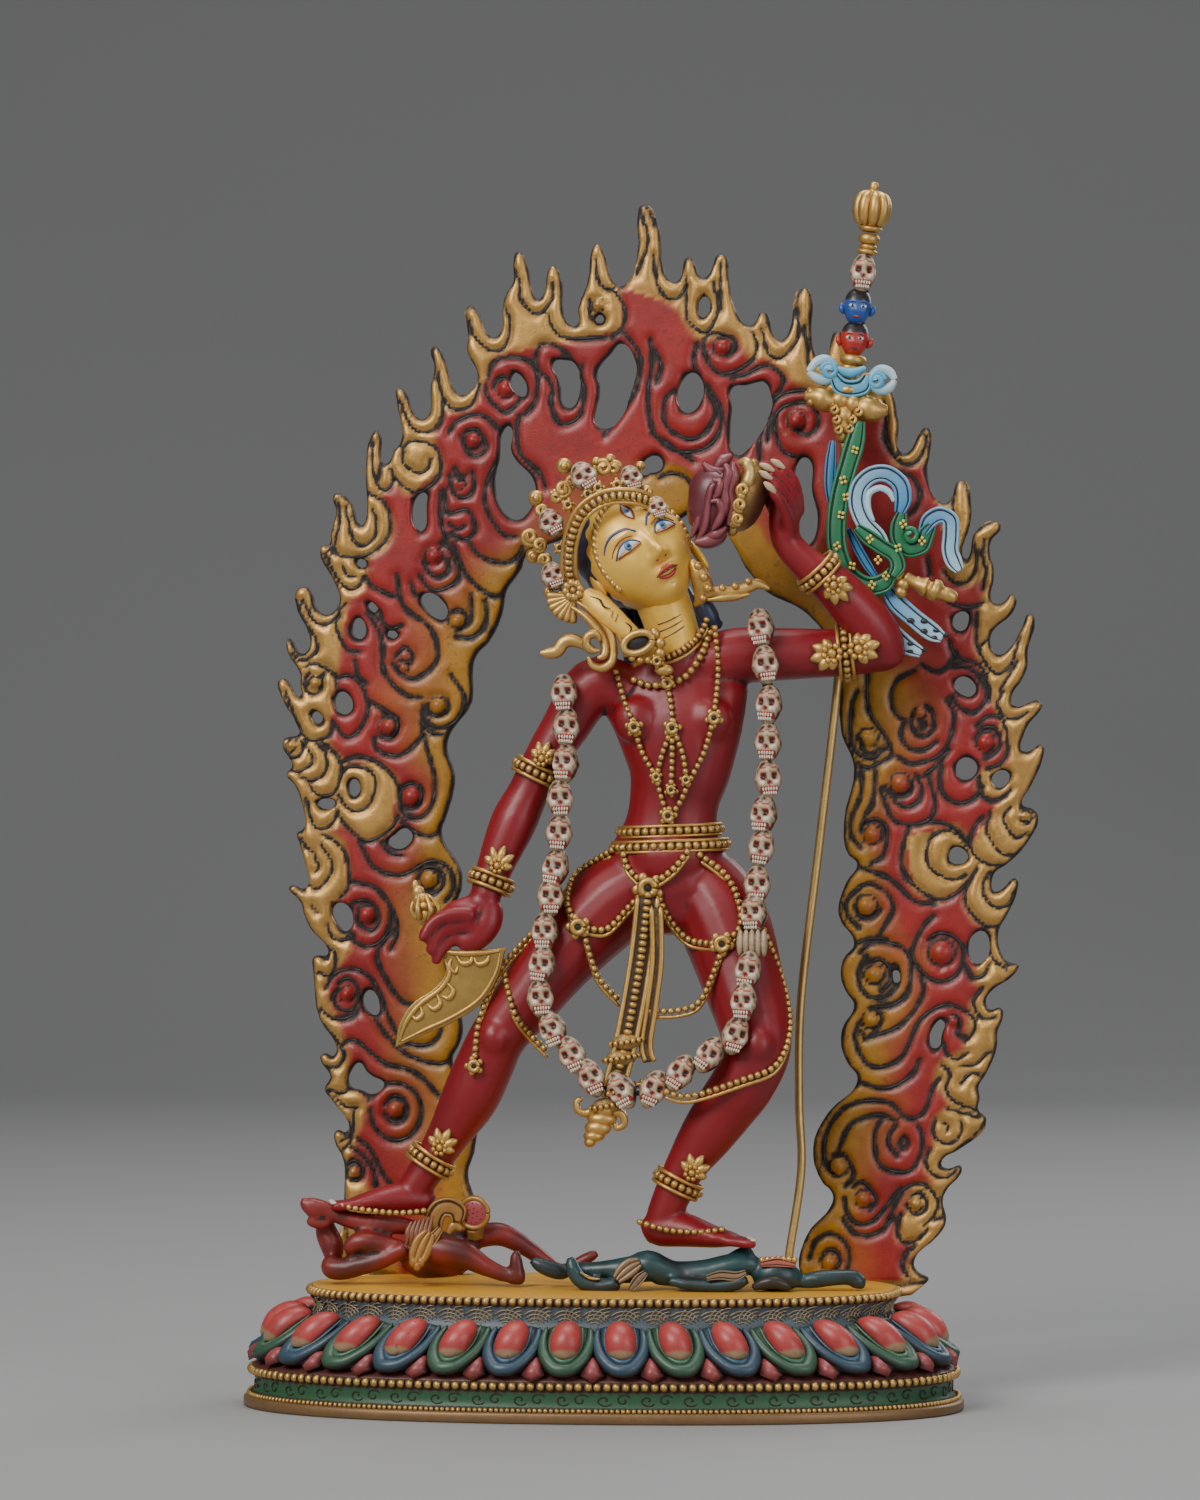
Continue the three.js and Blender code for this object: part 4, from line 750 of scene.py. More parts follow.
# Bosses at the hearts of the curls: column, row and radius.
FLAME_BOSSES = [
    (598, 305, 6), (505, 388, 9), (472, 440, 8), (460, 484, 4), (456, 621, 8), (312, 683, 6), (387, 727, 9),
    (288, 746, 5), (410, 797, 10), (437, 706, 9), (428, 880, 9), (365, 916, 9), (345, 996, 7),
    (394, 1111, 9), (353, 1174, 6), (722, 348, 8), (797, 422, 9), (921, 712, 6), (869, 737, 9),
    (902, 782, 10), (986, 741, 9), (874, 833, 9), (1025, 814, 5), (868, 904, 10), (943, 950, 12),
    (876, 972, 9), (873, 1017, 8), (955, 1018, 5), (841, 1163, 9), (866, 1195, 8), (918, 1199, 7),
    (832, 1258, 8), (432, 556, 8), (402, 668, 5),
]


def on_plate(u, v):
    """A place on the aureole's own plane, in mm across and up."""
    return Vector(((u - PLATE_MIDDLE[0]) / PLATE_STEPS, VIEW_LEVEL - (v - PLATE_MIDDLE[1]) / PLATE_STEPS))


def on_plate_line(numbers):
    """Places on the aureole's plane from columns and rows in turn."""
    return [on_plate(u, v) for u, v in zip(numbers[::2], numbers[1::2])]


def is_inside(place, loop):
    """Whether a place lies within a loop, by counting the crossings to its right."""
    crossings = 0
    for a, b in zip(loop, loop[1:] + loop[:1]):
        if (a.y > place.y) != (b.y > place.y) and place.x < a.x + (place.y - a.y) * (b.x - a.x) / (
            b.y - a.y):
            crossings += 1
    return crossings % 2 == 1


def cut_plate(loops, half_thick, detail=4, edge=0, sharp=()):
    """A flat plate within smooth closed loops, standing in the front view, with the named corners sharp."""
    curve = bpy.data.curves.new("plate", "CURVE")
    curve.dimensions = "2D"
    curve.fill_mode = "BOTH"
    curve.extrude = half_thick
    curve.bevel_depth = edge
    curve.resolution_u = detail
    for places in loops:
        line = curve.splines.new("BEZIER")
        line.bezier_points.add(len(places) - 1)
        line.use_cyclic_u = True
        for k, (place, knot) in enumerate(zip(places, line.bezier_points)):
            knot.co = (*place, 0)
            knot.handle_left_type = knot.handle_right_type = "VECTOR" if k in sharp else "AUTO"
    holder = bpy.data.objects.new("plate", curve)
    mesh = bpy.data.meshes.new_from_object(holder)
    bpy.data.objects.remove(holder)
    mesh.transform(Matrix.Rotation(pi / 2, 4, "X"))
    return mesh


flame_loop = on_plate_line(FLAME_EDGE + FLAME_INSIDE)
flame_loops = [flame_loop] + [on_plate_line(hole) for hole in FLAME_HOLES]
plate_holder = bpy.data.objects.new("flame plate", cut_plate(flame_loops, PLATE_HALF))
bpy.context.collection.objects.link(plate_holder)
knit = plate_holder.modifiers.new("knit", "REMESH")
knit.mode = "VOXEL"
knit.voxel_size = PLATE_VOXEL
ease = plate_holder.modifiers.new("ease", "SMOOTH")
ease.iterations = 2
aureole = bmesh.new()
aureole.from_mesh(
    bpy.data.meshes.new_from_object(plate_holder.evaluated_get(bpy.context.evaluated_depsgraph_get())))
bpy.data.objects.remove(plate_holder)
paint, wash_and_shade = layers(aureole)


def traced(line, step=0.8):
    """Even places along a smooth line that keeps close to its unevenly spaced points."""
    ends = [line[0] * 2 - line[1], *line, line[-1] * 2 - line[-2]]
    made = []
    for a, b, c, d in zip(ends, ends[1:], ends[2:], ends[3:]):
        before, span, after = ((q - p).length ** 0.5 for p, q in ((a, b), (b, c), (c, d)))
        leave = ((b - a) / before - (c - a) / (before + span) + (c - b) / span) * span
        enter = ((c - b) / span - (d - b) / (span + after) + (d - c) / after) * span
        count = max(1, round((c - b).length / step))
        for t in (k / count for k in range(count)):
            made.append(b * (2 * t ** 3 - 3 * t * t + 1) + leave * (t ** 3 - 2 * t * t + t) + c
                        * (3 * t * t - 2 * t ** 3)
                        + enter * (t ** 3 - t * t))
    return made + [line[-1]]


def line_tree(lines):
    """Finds distances to smooth lines."""
    fine = [place for line in lines for place in traced(line)]
    tree = KDTree(len(fine))
    for k, place in enumerate(fine):
        tree.insert((*place, 0), k)
    tree.balance()
    return tree


groove_lines = [on_plate_line(line) for line in FLAME_GROOVES]
carving_tree = line_tree([loop + loop[:1] for loop in flame_loops] + groove_lines)
inner_tree = line_tree([on_plate_line(FLAME_INSIDE)])
gold_loop = on_plate_line(GOLD_LINE + FLAME_INSIDE)
gold_tree = line_tree([on_plate_line(GOLD_LINE)])
OCHRE_ROLLS = [(on_plate(668, 492), 7.5), (on_plate(735, 550), 9), (on_plate(790, 600), 14)]


def flame_tint(x, z):
    """Ochre along the inner edge, then orange and red, and gilding on the outer tongues."""
    inner, outer = inner_tree.find((x, z, 0))[2], gold_tree.find((x, z, 0))[2]
    share = inner / (inner + outer + 0.01) + 0.2 * noise.noise(Vector((x, z, 3)) * 0.07)
    share += 0.5 * max(0, min(1, (z - 236) / 16)) * (1 - exp(-((x - 10) / 60) ** 4) * 0.2)
    for middle, reach in OCHRE_ROLLS:
        share -= 1.1 * exp(-((Vector((x, z)) - middle).length / reach) ** 4)
    stops = ((0, FLAME_YELLOW), (0.24, FLAME_YELLOW), (0.5, FLAME_ORANGE), (0.72, FLAME_RED),
             (9, FLAME_RED))
    for (a, first), (b, second) in zip(stops, stops[1:]):
        if share <= b:
            tint = mix(first, second, (share - a) / (b - a))
            gold = 0.5 + (-0.5 if is_inside(Vector((x, z)), gold_loop) else 0.5) * min(
                1, outer / GOLD_BLEND)
            return mix(tint, FLAME_GOLD, gold)


bosses = [(on_plate(u, v), radius / PLATE_STEPS) for u, v, radius in FLAME_BOSSES]
# On the front the paint darkens towards the grooves and edges and in a ring round each boss: painted shade
# over the black wash in the grooves. On the back the walls of the edges and holes are darker than the flat
# back: painted shade.
for vert in aureole.verts:
    place = vert.co
    gap = carving_tree.find((place.x, place.z, 0))[2]
    if place.y > FRONT_LEVEL:
        vert[paint], vert[wash_and_shade] = FLAME_BACK, 0.75 if place.y < PLATE_HALF - 0.4 else 0.35
        continue
    vert[paint] = flame_tint(place.x, place.z)
    roll = sqrt(1 - (1 - min(1, gap / ROLL_REACH)) ** 2)
    dark = exp(-(gap / (GOLD_WASH_AND_SHADE_REACH if vert[paint][3] > 0.5 else WASH_AND_SHADE_REACH)) ** 2)
    for middle, radius in bosses:
        reach = (Vector((place.x, place.z)) - middle).length / radius
        if reach < 1.5:
            roll = max(0.55 * roll, 1.35 * sqrt(max(0, 1 - reach ** 2)) + 0.2)
            dark = max(dark * min(1, reach), exp(-((reach - 1.08) / 0.2) ** 2))
    place.y = FRONT_LEVEL - (FRONT_LEVEL - place.y) / (PLATE_HALF + FRONT_LEVEL) * (0.4 + 2.2 * roll)
    vert[wash_and_shade] = min(1, 0.1 + 0.85 * dark + 0.3 * max(0, noise.noise(place * 0.25)))
plate_tree = BVHTree.FromBMesh(aureole)


def on_front(place):
    """The carved front under a place on the plate, or nothing over a hole."""
    hit = plate_tree.ray_cast(Vector((place.x, -30, place.y)), Vector((0, 1, 0)))[0]
    return hit if hit and hit.y < FRONT_LEVEL + 0.1 else None


aureole.transform(PLATE_PLACE)
flame_paint = painted("flame paint", grime_and_shade=(0.016, 0.009, 0.007), mottle=0.7, gloss=0.12, bump=0.0002)
piece("flame_arch", aureole, flame_paint, "painted_flames", "flame_aureole")
# Black strokes in the grooves, widest half way along: the lacquer that stays there, and painted shade.
lines = shape_of()
for line in groove_lines:
    fine = traced(line, 1)
    run = []
    for k, place in enumerate(fine + [None]):
        hit = place and on_front(place)
        if hit:
            share = k / max(1, len(fine) - 1)
            run.append((place.x, hit.y + 0.1, place.y, 0.16 + 0.42 * max(0, sin(pi * share)) ** 0.5, 0.3))
            continue
        if len(run) > 3:
            put(lines, limb(run, BLACK, sides=6, rows=len(run) + 2, dirt_and_shade=1))
        run = []
lines.transform(PLATE_PLACE)
piece("flame_grooves", lines, painted("groove lacquer and shade", grime_and_shade=(0.01, 0.006, 0.005), gloss=0.3, mottle=0.1),
      "painted_flames")

# Goddess: the naked striding body, cast in resin and painted deep crimson, its creases darkened with
# wash and painted shade. Limbs are modelled round, then fused and smoothed into one skin. The knee, breast
# and belly forms are full.
CRIMSON = (0.215, 0.003, 0.008, 0)
CRIMSON_DEEP = (0.09, 0.004, 0.008, 0)
NAIL_IVORY = (0.5, 0.38, 0.22, 0)
NAIL_WHITE = (0.55, 0.5, 0.45, 0)
SKIN_GOLD = (0.84, 0.5, 0.075, 0.35)
SKIN_VOXEL = 0.85
CREASE_LEAST = 0.012
CREASE_SHADE_AND_WASH = 12


def fused(name, parts, voxel, soften, tint, dirt_and_shade=0.1):
    """Overlapping parts fused into one smooth closed skin of the given voxel size."""
    rough = shape_of(*parts)
    holder = bpy.data.objects.new(name, mesh_of(rough, name))
    bpy.context.collection.objects.link(holder)
    skin = holder.modifiers.new("skin", "REMESH")
    skin.mode = "VOXEL"
    skin.voxel_size = voxel
    ease = holder.modifiers.new("ease", "SMOOTH")
    ease.factor = 0.5
    ease.iterations = soften
    made = bmesh.new()
    made.from_mesh(
        bpy.data.meshes.new_from_object(holder.evaluated_get(bpy.context.evaluated_depsgraph_get())))
    bpy.data.objects.remove(holder)
    paint, wash_and_shade = layers(made)
    made.normal_update()
    for vert in made.verts:
        around = sum((edge.other_vert(vert).co for edge in vert.link_edges),
                     Vector()) / len(vert.link_edges)
        # Hollow places on the skin are darkened: painted shade, with the wash that pools in creases.
        crease = max(0, (around - vert.co).dot(vert.normal) - CREASE_LEAST)
        vert[paint] = tint(vert.co) if callable(tint) else tint
        vert[wash_and_shade] = min(1, (dirt_and_shade(vert.co) if callable(dirt_and_shade) else dirt_and_shade) + CREASE_SHADE_AND_WASH * crease)
    return made


def egg(x, y, z, half_x, half_y, half_z, tint=OLD_GOLD, sides=8, dirt_and_shade=0):
    """A closed oval lump of the given half sizes."""
    return limb([(x, y, z - half_z, 0.05), (x, y, z - half_z * 0.75, half_x * 0.68, half_y * 0.68),
                 (x, y, z, half_x, half_y),
                 (x, y, z + half_z * 0.75, half_x * 0.68, half_y * 0.68), (x, y, z + half_z, 0.05)], tint,
                sides=sides, rows=10, dirt_and_shade=dirt_and_shade)


def skin_egg(*sizes):
    return egg(*sizes, CRIMSON, sides=12)


def skin_limb(*stations):
    return limb(stations, CRIMSON, sides=16, rows=5 * len(stations))


TORSO = [(20, 2, 137, 10, 8), (19.5, 2, 143, 17, 11.5), (18.2, 2, 151, 22.6, 13.5),
         (18.6, 0.6, 161, 17.4, 12), (19.4, 0, 169, 13.6, 10),
         (20.4, -0.4, 177, 13.2, 9.6), (21.8, -1, 186, 15.4, 10.6), (21.6, -1, 198, 19, 11),
         (20.4, 0, 208, 21, 9), (19.6, 0, 216, 13, 7.5), (19.5, 0, 221, 5, 5)]
RIGHT_ARM = [(8, 0, 207, 8), (-3, 0, 210, 8.2), (-12, -1, 197, 7), (-17.5, -2, 188, 6.3),
             (-22, -2, 179, 6.1), (-26.6, -3, 169.5, 6.8), (-31.6, -5, 157, 5.4), (-34.8, -7, 146.6, 4.4)]
LEFT_UPPER = [(22, 0, 212, 8), (36, 1, 218, 8.4), (50, 2, 219, 7.8), (64, 3, 219.4, 7.2),
              (76, 3, 220.2, 6.8), (83, 3, 221, 6.2), (87, 3, 222, 3)]
LEFT_FORE = [(83, 3, 215.5, 4), (81, 2, 221.6, 6.4), (76, 0, 228.8, 7.2), (67, -3, 238.4, 6.4),
             (58.6, -4.6, 245.2, 5), (53.6, -5.2, 250.6, 4.4), (52.2, -5.6, 255, 4.2)]
RIGHT_LEG = [(14, 2, 153, 12), (2.6, 2, 147, 13), (-12, 0, 132, 11.2), (-22, -2, 119, 9.6),
             (-30.4, -3, 108, 8.4), (-35, -2, 98.5, 8.6), (-39.4, -1, 89, 8.4),
             (-46, 0, 77.6, 6.2), (-52, 0, 68, 5.2), (-56, 0, 62, 4.8), (-57, 0, 58, 3.4)]
LEFT_LEG = [(26.6, 2, 155, 11), (34, 0, 143, 13.4), (40.6, -6, 124, 12), (45, -12.6, 107, 10.2),
            (41.6, -13, 96, 9.4), (36, -11, 87.6, 8.8), (30, -10, 79, 7.8),
            (24, -9.4, 69.8, 6), (19.8, -9, 60.6, 5.4), (17, -9, 54, 4.6), (16.4, -9, 50.6, 3)]
body_parts = [
    limb(TORSO, CRIMSON, sides=20, rows=44),
    skin_egg(9.8, -7.6, 199.6, 7.4, 4.6, 7), skin_egg(30.4, -7.6, 199.6, 7.4, 4.6, 7),
    skin_egg(19, -7.4, 160, 11, 6, 8.5),
    skin_limb((20.5, 0.4, 211, 8), (20.2, -0.6, 219, 8.4), (19, -2, 228, 7.8), (15.4, -3.2, 238, 8),
              (12, -3.6, 245, 6)),
    skin_limb(*RIGHT_ARM), skin_limb(*LEFT_UPPER), skin_limb(*LEFT_FORE), skin_limb(*RIGHT_LEG),
    skin_limb(*LEFT_LEG),
    skin_egg(-31.4, -8.4, 107.4, 5, 4.6, 5.6), skin_egg(45.4, -19.6, 106, 5.4, 5, 6),
    skin_limb((-33.6, -6.6, 148, 4), (-37, -7.8, 144, 5.4, 4), (-43, -9, 141.4, 5.6, 3.8),
              (-46.4, -9.2, 140.6, 4, 2.8)),
    skin_limb((53, -5.4, 250, 4), (52.2, -5.4, 256, 4.6, 3.6), (52.4, -5.2, 262, 4.4, 3.4),
              (52.6, -5, 266, 3.4, 2.6)),
    skin_limb((-50, 0, 57.4, 3), (-55, 0, 59.6, 4.8, 5), (-62, -1.2, 59.8, 4.4, 5.6),
              (-70, -2.6, 58.8, 2.8, 5.8), (-74.4, -3.2, 58.2, 1.6, 5)),
    skin_limb((12, -8.6, 50.6, 3), (16, -9, 52, 5, 5), (24, -10, 52, 5, 5.6), (33, -12, 50.2, 3.2, 6),
              (39.4, -13.4, 49.6, 1.8, 5.2)),
]
# Fingers close round the knife's handle and over the cup; toes are spread in a row.
KNIFE_FINGERS = [[(476, 915), (456, 914), (440, 918), (428, 928), (421, 942)],
                 [(476, 924), (457, 925), (442, 931), (433, 943), (430, 955)],
                 [(478, 934), (460, 937), (447, 943), (439, 954), (435, 965)]]
for k, knuckles in enumerate(KNIFE_FINGERS):
    body_parts.append(skin_limb(*[(*spot(u, v, -11.4 - 0.7 * n + 1.2 * k), 2.5 - 0.26 * n)
                                  for n, (u, v) in enumerate(knuckles)]))
body_parts.append(skin_limb((-33.4, -6.6, 146, 4.4), (-34, -8, 141, 4.8, 4.2), (-37, -9, 136.6, 4.2, 3.6),
                            (-42, -9.6, 134.4, 3, 2.6)))
CUP_FINGERS = [((56.4, -4, 259), (56, -4.4, 265), (54.4, -5, 270.2), (50.4, -6.4, 273.4)),
               ((55.6, -5.6, 258), (54.8, -7.2, 264.4), (51.8, -8.6, 269.4), (47.4, -10.4, 272.2)),
               ((54.8, -6.8, 256), (53.8, -9.6, 262), (50.8, -12, 267), (47, -13.6, 269.8)),
               ((54, -7.6, 253), (53.4, -11, 258), (51.2, -14.4, 263), (48.4, -16, 266.2)),
               ((52, -3.4, 256), (49, -2.6, 261), (47, -3, 266), (46.4, -5, 269))]
for knuckles in CUP_FINGERS:
    body_parts.append(skin_limb(*[(*place, 2 - 0.16 * n) for n, place in enumerate(knuckles)]))
RIGHT_TOES, LEFT_TOES = [], []
for k in range(5):
    aside, long = (k - 2) * 2.3, 1.6 - 0.5 * k
    RIGHT_TOES.append(((-71, -3 - aside, 58.4), (-78.6 - long * 0.8, -3.8 - aside, 57.8)))
    LEFT_TOES.append(((36, -13 + aside * 0.95, 49.4), (43 + long * 0.9, -14.4 + aside * 1, 48.7)))
    for heel, tip in (RIGHT_TOES[-1], LEFT_TOES[-1]):
        middle = [(a + b) / 2 for a, b in zip(heel, tip)]
        body_parts.append(skin_limb((*heel, 1.5), (*middle, 1.5, 1.3), (*tip, 1.3, 1.2),
                                    (tip[0] + (0.8 if tip[0] > 0 else -0.8), tip[1], tip[2], 0.3)))


def skin_tint(place):
    """Crimson clouded with a darker red, and gold leaf on the neck above the choker."""
    along = max(0, min(1, (place.z - 212) / 31))
    from_neck = hypot(place.x - (20.4 - 8.4 * along), place.y + 0.5 + 3.5 * along)
    if from_neck < 11.5 and place.z > 214.9 + 0.5 * (place.x - 10) + 0.28 * (place.y + 8):
        return SKIN_GOLD
    return mix(CRIMSON, CRIMSON_DEEP, 0.5 * noise.noise(place * 0.05))


goddess = fused("goddess", body_parts, SKIN_VOXEL, 4, skin_tint,
                lambda place: 0.12 + 0.4 * max(0, noise.noise(place * 0.05 + Vector((7, 0, 0)))))
navel = Vector((19.4, -13.6, 163.6))
for vert in goddess.verts:
    gap = vert.co - navel
    vert.co.y += 1.6 * exp(-(gap.x ** 2 + gap.z ** 2) / 2.2) if vert.co.y < 0 else 0
body_tree = BVHTree.FromBMesh(goddess)
skin_paint = painted("crimson lacquer", grime_and_shade=(0.035, 0.004, 0.006), mottle=0.28, gloss=0.12, bump=0.00006)
piece("goddess_body", goddess, skin_paint, "painted_skin", "dancing_figure")

nails = shape_of()
for knuckles in CUP_FINGERS[:4]:
    tip, before = Vector(knuckles[3]), Vector(knuckles[2])
    way = (tip - before).normalized()
    nail = [(*(tip - way * 2.6 + Vector((0.2, -1.3, 0.8))), 0.4),
            (*(tip + way * 0.2 + Vector((0.1, -1.3, 0.6))), 1.05, 0.5),
            (*(tip + way * 2.8 + Vector((0, -0.5, 0.2))), 0.4)]
    put(nails, limb(nail, NAIL_IVORY, rows=12, dirt_and_shade=rubbed_and_shaded(0.5, 0.5)))
for heel, tip in RIGHT_TOES + LEFT_TOES:
    put(nails, egg(tip[0], tip[1] - 0.2, tip[2] + 1.15, 1, 0.8, 0.45, NAIL_WHITE))
piece("goddess_nails", nails, painted("nail paint", gloss=0.4, mottle=0.2), "painted_skin")

# Bone and gold ornaments: strings of gilded beads cast on the body, hung in swags between round bosses.
# They hug the skin where they touch it and hang free between the legs.


def drape(places, lift=1, free=-15):
    """Front view places laid on the goddess's skin, or hung between their neighbours over a gap."""
    depths = []
    for u, v in places:
        there = spot(u, v, free)
        hit = body_tree.ray_cast(Vector((there.x, -60, there.z)), Vector((0, 1, 0)))[0]
        depths.append(None if hit is None else hit.y - lift)
    known = [(k, depth) for k, depth in enumerate(depths) if depth is not None]
    made = []
    for k, (u, v) in enumerate(places):
        if depths[k] is None:
            left = [item for item in known if item[0] < k][-1:] or known[:1]
            right = [item for item in known if item[0] > k][:1] or known[-1:]
            if not left:
                depths[k] = free
            else:
                gap = right[0][0] - left[0][0]
                share = (k - left[0][0]) / gap if gap > 0 else 0
                depths[k] = left[0][1] + (right[0][1] - left[0][1]) * max(0, min(1, share))
        made.append(spot(u, v, depths[k]))
    return made


def walk(line, pitch):
    """Evenly spaced places and ways along a smooth line."""
    steps = 24 * (len(line) - 1)
    fine = [flow(line, k / steps) for k in range(steps + 1)]
    walked, made = 0, []
    for a, b in zip(fine, fine[1:]):
        length = (b - a).length
        while length > 1e-9 and walked <= length:
            made.append((a.lerp(b, walked / length), (b - a).normalized()))
            walked += pitch
        walked -= length
    return made


def string_beads(shape, line, pitch=2.1, half=1.05):
    """A string of gilded beads along a smooth line."""
    for place, way in walk(line, pitch):
        put(shape, gilded_bead, Matrix.Translation(place) @ way.to_track_quat("Z", "Y").to_matrix().to_4x4()
            @ Matrix.Diagonal((half, half, pitch * 0.5, 1)), keep=True)


def rope(shape, line, half, rows=None):
    """A thin gilded cord along a smooth line."""
    put(shape, limb([(*place, half) for place in line], sides=6, rows=rows or 6 * len(line), dirt_and_shade=0.25))


def swag(shape, places):
    """A bead string with a plain rope below it, laid along front view places."""
    line = drape(places, 1.2)
    string_beads(shape, line)
    rope(shape, [place + Vector((0, 0.5, -1.75)) for place in line], 0.62)


def boss(shape, place, half):
    """A raised ring with a dark hole, between small balls."""
    for k in range(5):
        angle = tau * k / 5 + place.x
        put(shape, egg(place.x + half * 0.8 * cos(angle), place.y + 0.3, place.z + half * 0.8 * sin(angle),
                       half * 0.34, 0.7, half * 0.34, dirt_and_shade=0.4))
    ring_line = [(place.x + half * 0.5 * cos(a), place.y - 0.7, place.z + half * 0.5 * sin(a), half * 0.27)
                 for a in circle(12)]
    put(shape, limb(ring_line, rows=40, dirt_and_shade=0.1))
    put(shape, egg(place.x, place.y - 0.3, place.z, half * 0.4, 0.6, half * 0.4, BLACK))


ornaments = shape_of()
# Two belt rows round the waist, and the swags below them.
for level, half_width, half_depth in ((167.6, 14.9, 11.4), (163.2, 16.8, 12.8)):
    ring_line = [Vector((19 + half_width * cos(a), 0.3 - half_depth * sin(a), level + 0.6 * cos(a)))
                 for a in circle(24)]
    string_beads(ornaments, ring_line, 2.5, 1.25)
    for shift in (-1.5, 1.5):
        rope(ornaments, [place + Vector((0, 0, shift)) for place in ring_line], 0.5, rows=72)
for places in (
    [(622, 848), (628, 868), (648, 883), (672, 870), (690, 848)],
    [(612, 850), (592, 862), (574, 876), (567, 902), (577, 926)],
    [(580, 926), (606, 929), (628, 908), (642, 893)], [(584, 934), (597, 975), (620, 1001)],
    [(657, 893), (670, 920), (690, 940), (722, 944)],
    [(700, 855), (725, 875), (738, 900), (740, 926), (724, 944)],
    [(722, 950), (702, 998), (680, 1010), (648, 1011)],
    [(750, 905), (768, 940), (784, 985), (790, 1030), (776, 1065), (742, 1080), (690, 1096), (664, 1091)],
    [(560, 905), (530, 935), (500, 970), (480, 1018), (474, 1062)],
    [(505, 975), (514, 1012), (530, 1034), (548, 1052)],
):
    swag(ornaments, places)
for u, v, half in ((648, 888, 4.2), (578, 927, 3.4), (722, 944, 3.4), (474, 1066, 2.6), (640, 1088, 2.4)):
    boss(ornaments, drape([(u, v)], 1.8)[0], half)
# Necklaces: a choker, two long strings that meet at the waist, and an inner string with small bosses.
string_beads(ornaments, drape([(658, 659), (670, 656), (684, 649), (695, 640), (703, 629), (707, 619)],
                              0.9), 1.7, 1)
rope(ornaments, drape([(652, 664), (670, 662), (686, 655), (698, 645), (706, 634), (711, 620)], 0.6), 0.6)
inner_string = [(634, 680), (648, 685), (667, 684), (686, 676), (700, 657), (709, 636), (713, 622)]
string_beads(ornaments, drape(inner_string, 1.4), 2.3, 1.15)
for places in (
    [(616, 672), (624, 700), (633, 724), (642, 752), (655, 776), (662, 800), (668, 818)],
    [(715, 628), (718, 672), (713, 718), (704, 752), (690, 780), (680, 802), (669, 818)],
    [(668, 688), (671, 706), (672, 724)],
    [(672, 734), (672, 756), (671, 786)], [(668, 738), (662, 754), (657, 774)],
    [(677, 738), (683, 756), (686, 776)],
):
    string_beads(ornaments, drape(places, 1), 2, 0.95)
for u, v, half in ((714, 718, 2.6), (634, 727, 2.6), (667, 683, 2.4), (672, 728, 2.6), (656, 777, 1.9),
                   (686, 780, 1.9), (671, 790, 2), (668, 816, 2.6)):
    boss(ornaments, drape([(u, v)], 1.3)[0], half)
# The long front pendant: three parallel strings on a strip, a barrel joint and a fringed end.
PENDANT = [(648, 895), (642, 950), (634, 1000), (624, 1050), (614, 1088)]
pendant_line = [spot(u, v, y) for (u, v), y in zip(PENDANT, (-15.6, -16, -17, -18, -18.4))]
# The strip shows dark between the strings: wash and painted shade.
put(ornaments, limb([(*place, 3.5, 0.9) for place in pendant_line], rows=30, dirt_and_shade=0.9))
string_beads(ornaments, [place + Vector((0, -0.9, 0)) for place in pendant_line], 2, 1.35)
for shift in (-2.9, 2.9):
    rope(ornaments, [place + Vector((shift, -0.5, 0)) for place in pendant_line], 0.85)
side_strip = [spot(u, v, -16.6) for u, v in ((656, 905), (657, 960), (651, 1010), (646, 1045), (650, 1062))]
# This strip too is dark between its ropes: wash and painted shade.
put(ornaments, limb([(*place, 1.9, 0.8) for place in side_strip], rows=30, dirt_and_shade=0.8))
for shift in (-1.3, 1.3):
    rope(ornaments, [place + Vector((shift, -0.6, 0)) for place in side_strip], 0.85)
for (u, v), wide in (((626, 1042), 4.6), ((621, 1058), 4.8), ((616, 1092), 3.6), ((606, 1106), 4.4)):
    middle = spot(u, v, -18.4)
    ring_line = [middle + Vector((wide * cos(a), -2.2 * sin(a), 0.8 * cos(a))) for a in circle(14)]
    string_beads(ornaments, ring_line, 1.7, 0.95)
    put(ornaments, egg(*middle, wide * 0.92, 2, 2.4, sides=12, dirt_and_shade=0.6))
for (u, v), wide, tall in (((605, 1110), 3, 2.4), ((602, 1119), 4.4, 2.2), ((598, 1128), 4, 2.4),
                           ((594, 1136), 3.2, 1.8), ((590, 1142), 1.8, 1.6)):
    put(ornaments, egg(*spot(u, v, -17.8), wide, 2.6, tall, sides=12, dirt_and_shade=0.2))
for places in ([(600, 1104), (588, 1113), (578, 1110), (577, 1101), (583, 1099)],
               [(612, 1112), (622, 1114), (624, 1124), (617, 1128), (614, 1122)]):
    put(ornaments, limb([(*spot(u, v, -17.6), 1.5 - 0.2 * k) for k, (u, v) in enumerate(places)], rows=16,
                        dirt_and_shade=0.4))


def knobs(shape, places, y, plump=1, dirt_and_shade=0.1):
    """Gilded balls at front view places, each given as column, row and half size."""
    for u, v, half in places:
        put(shape, egg(*spot(u, v, y), half, half * plump, half, sides=12, dirt_and_shade=dirt_and_shade))


def seen(*stations):
    """Stations for a limb from columns, rows, depths and half sizes."""
    return [(*spot(u, v, y), *halves) for u, v, y, *halves in stations]


def cuff(shape, place, way, half):
    """A bracelet: a ring of beads between plain ropes, square to the limb."""
    place, way = Vector(place), Vector(way).normalized()
    deep = (Vector((0, -1, 0)) + way * way.y).normalized()
    side = way.cross(deep)
    ring_line = [place + side * half * cos(a) + deep * half * sin(a) for a in circle(16)]
    string_beads(shape, ring_line, 2.3, 1.2)
    for shift in (-1.9, 1.9):
        rope(shape, [point + way * shift for point in ring_line], 0.62, rows=48)


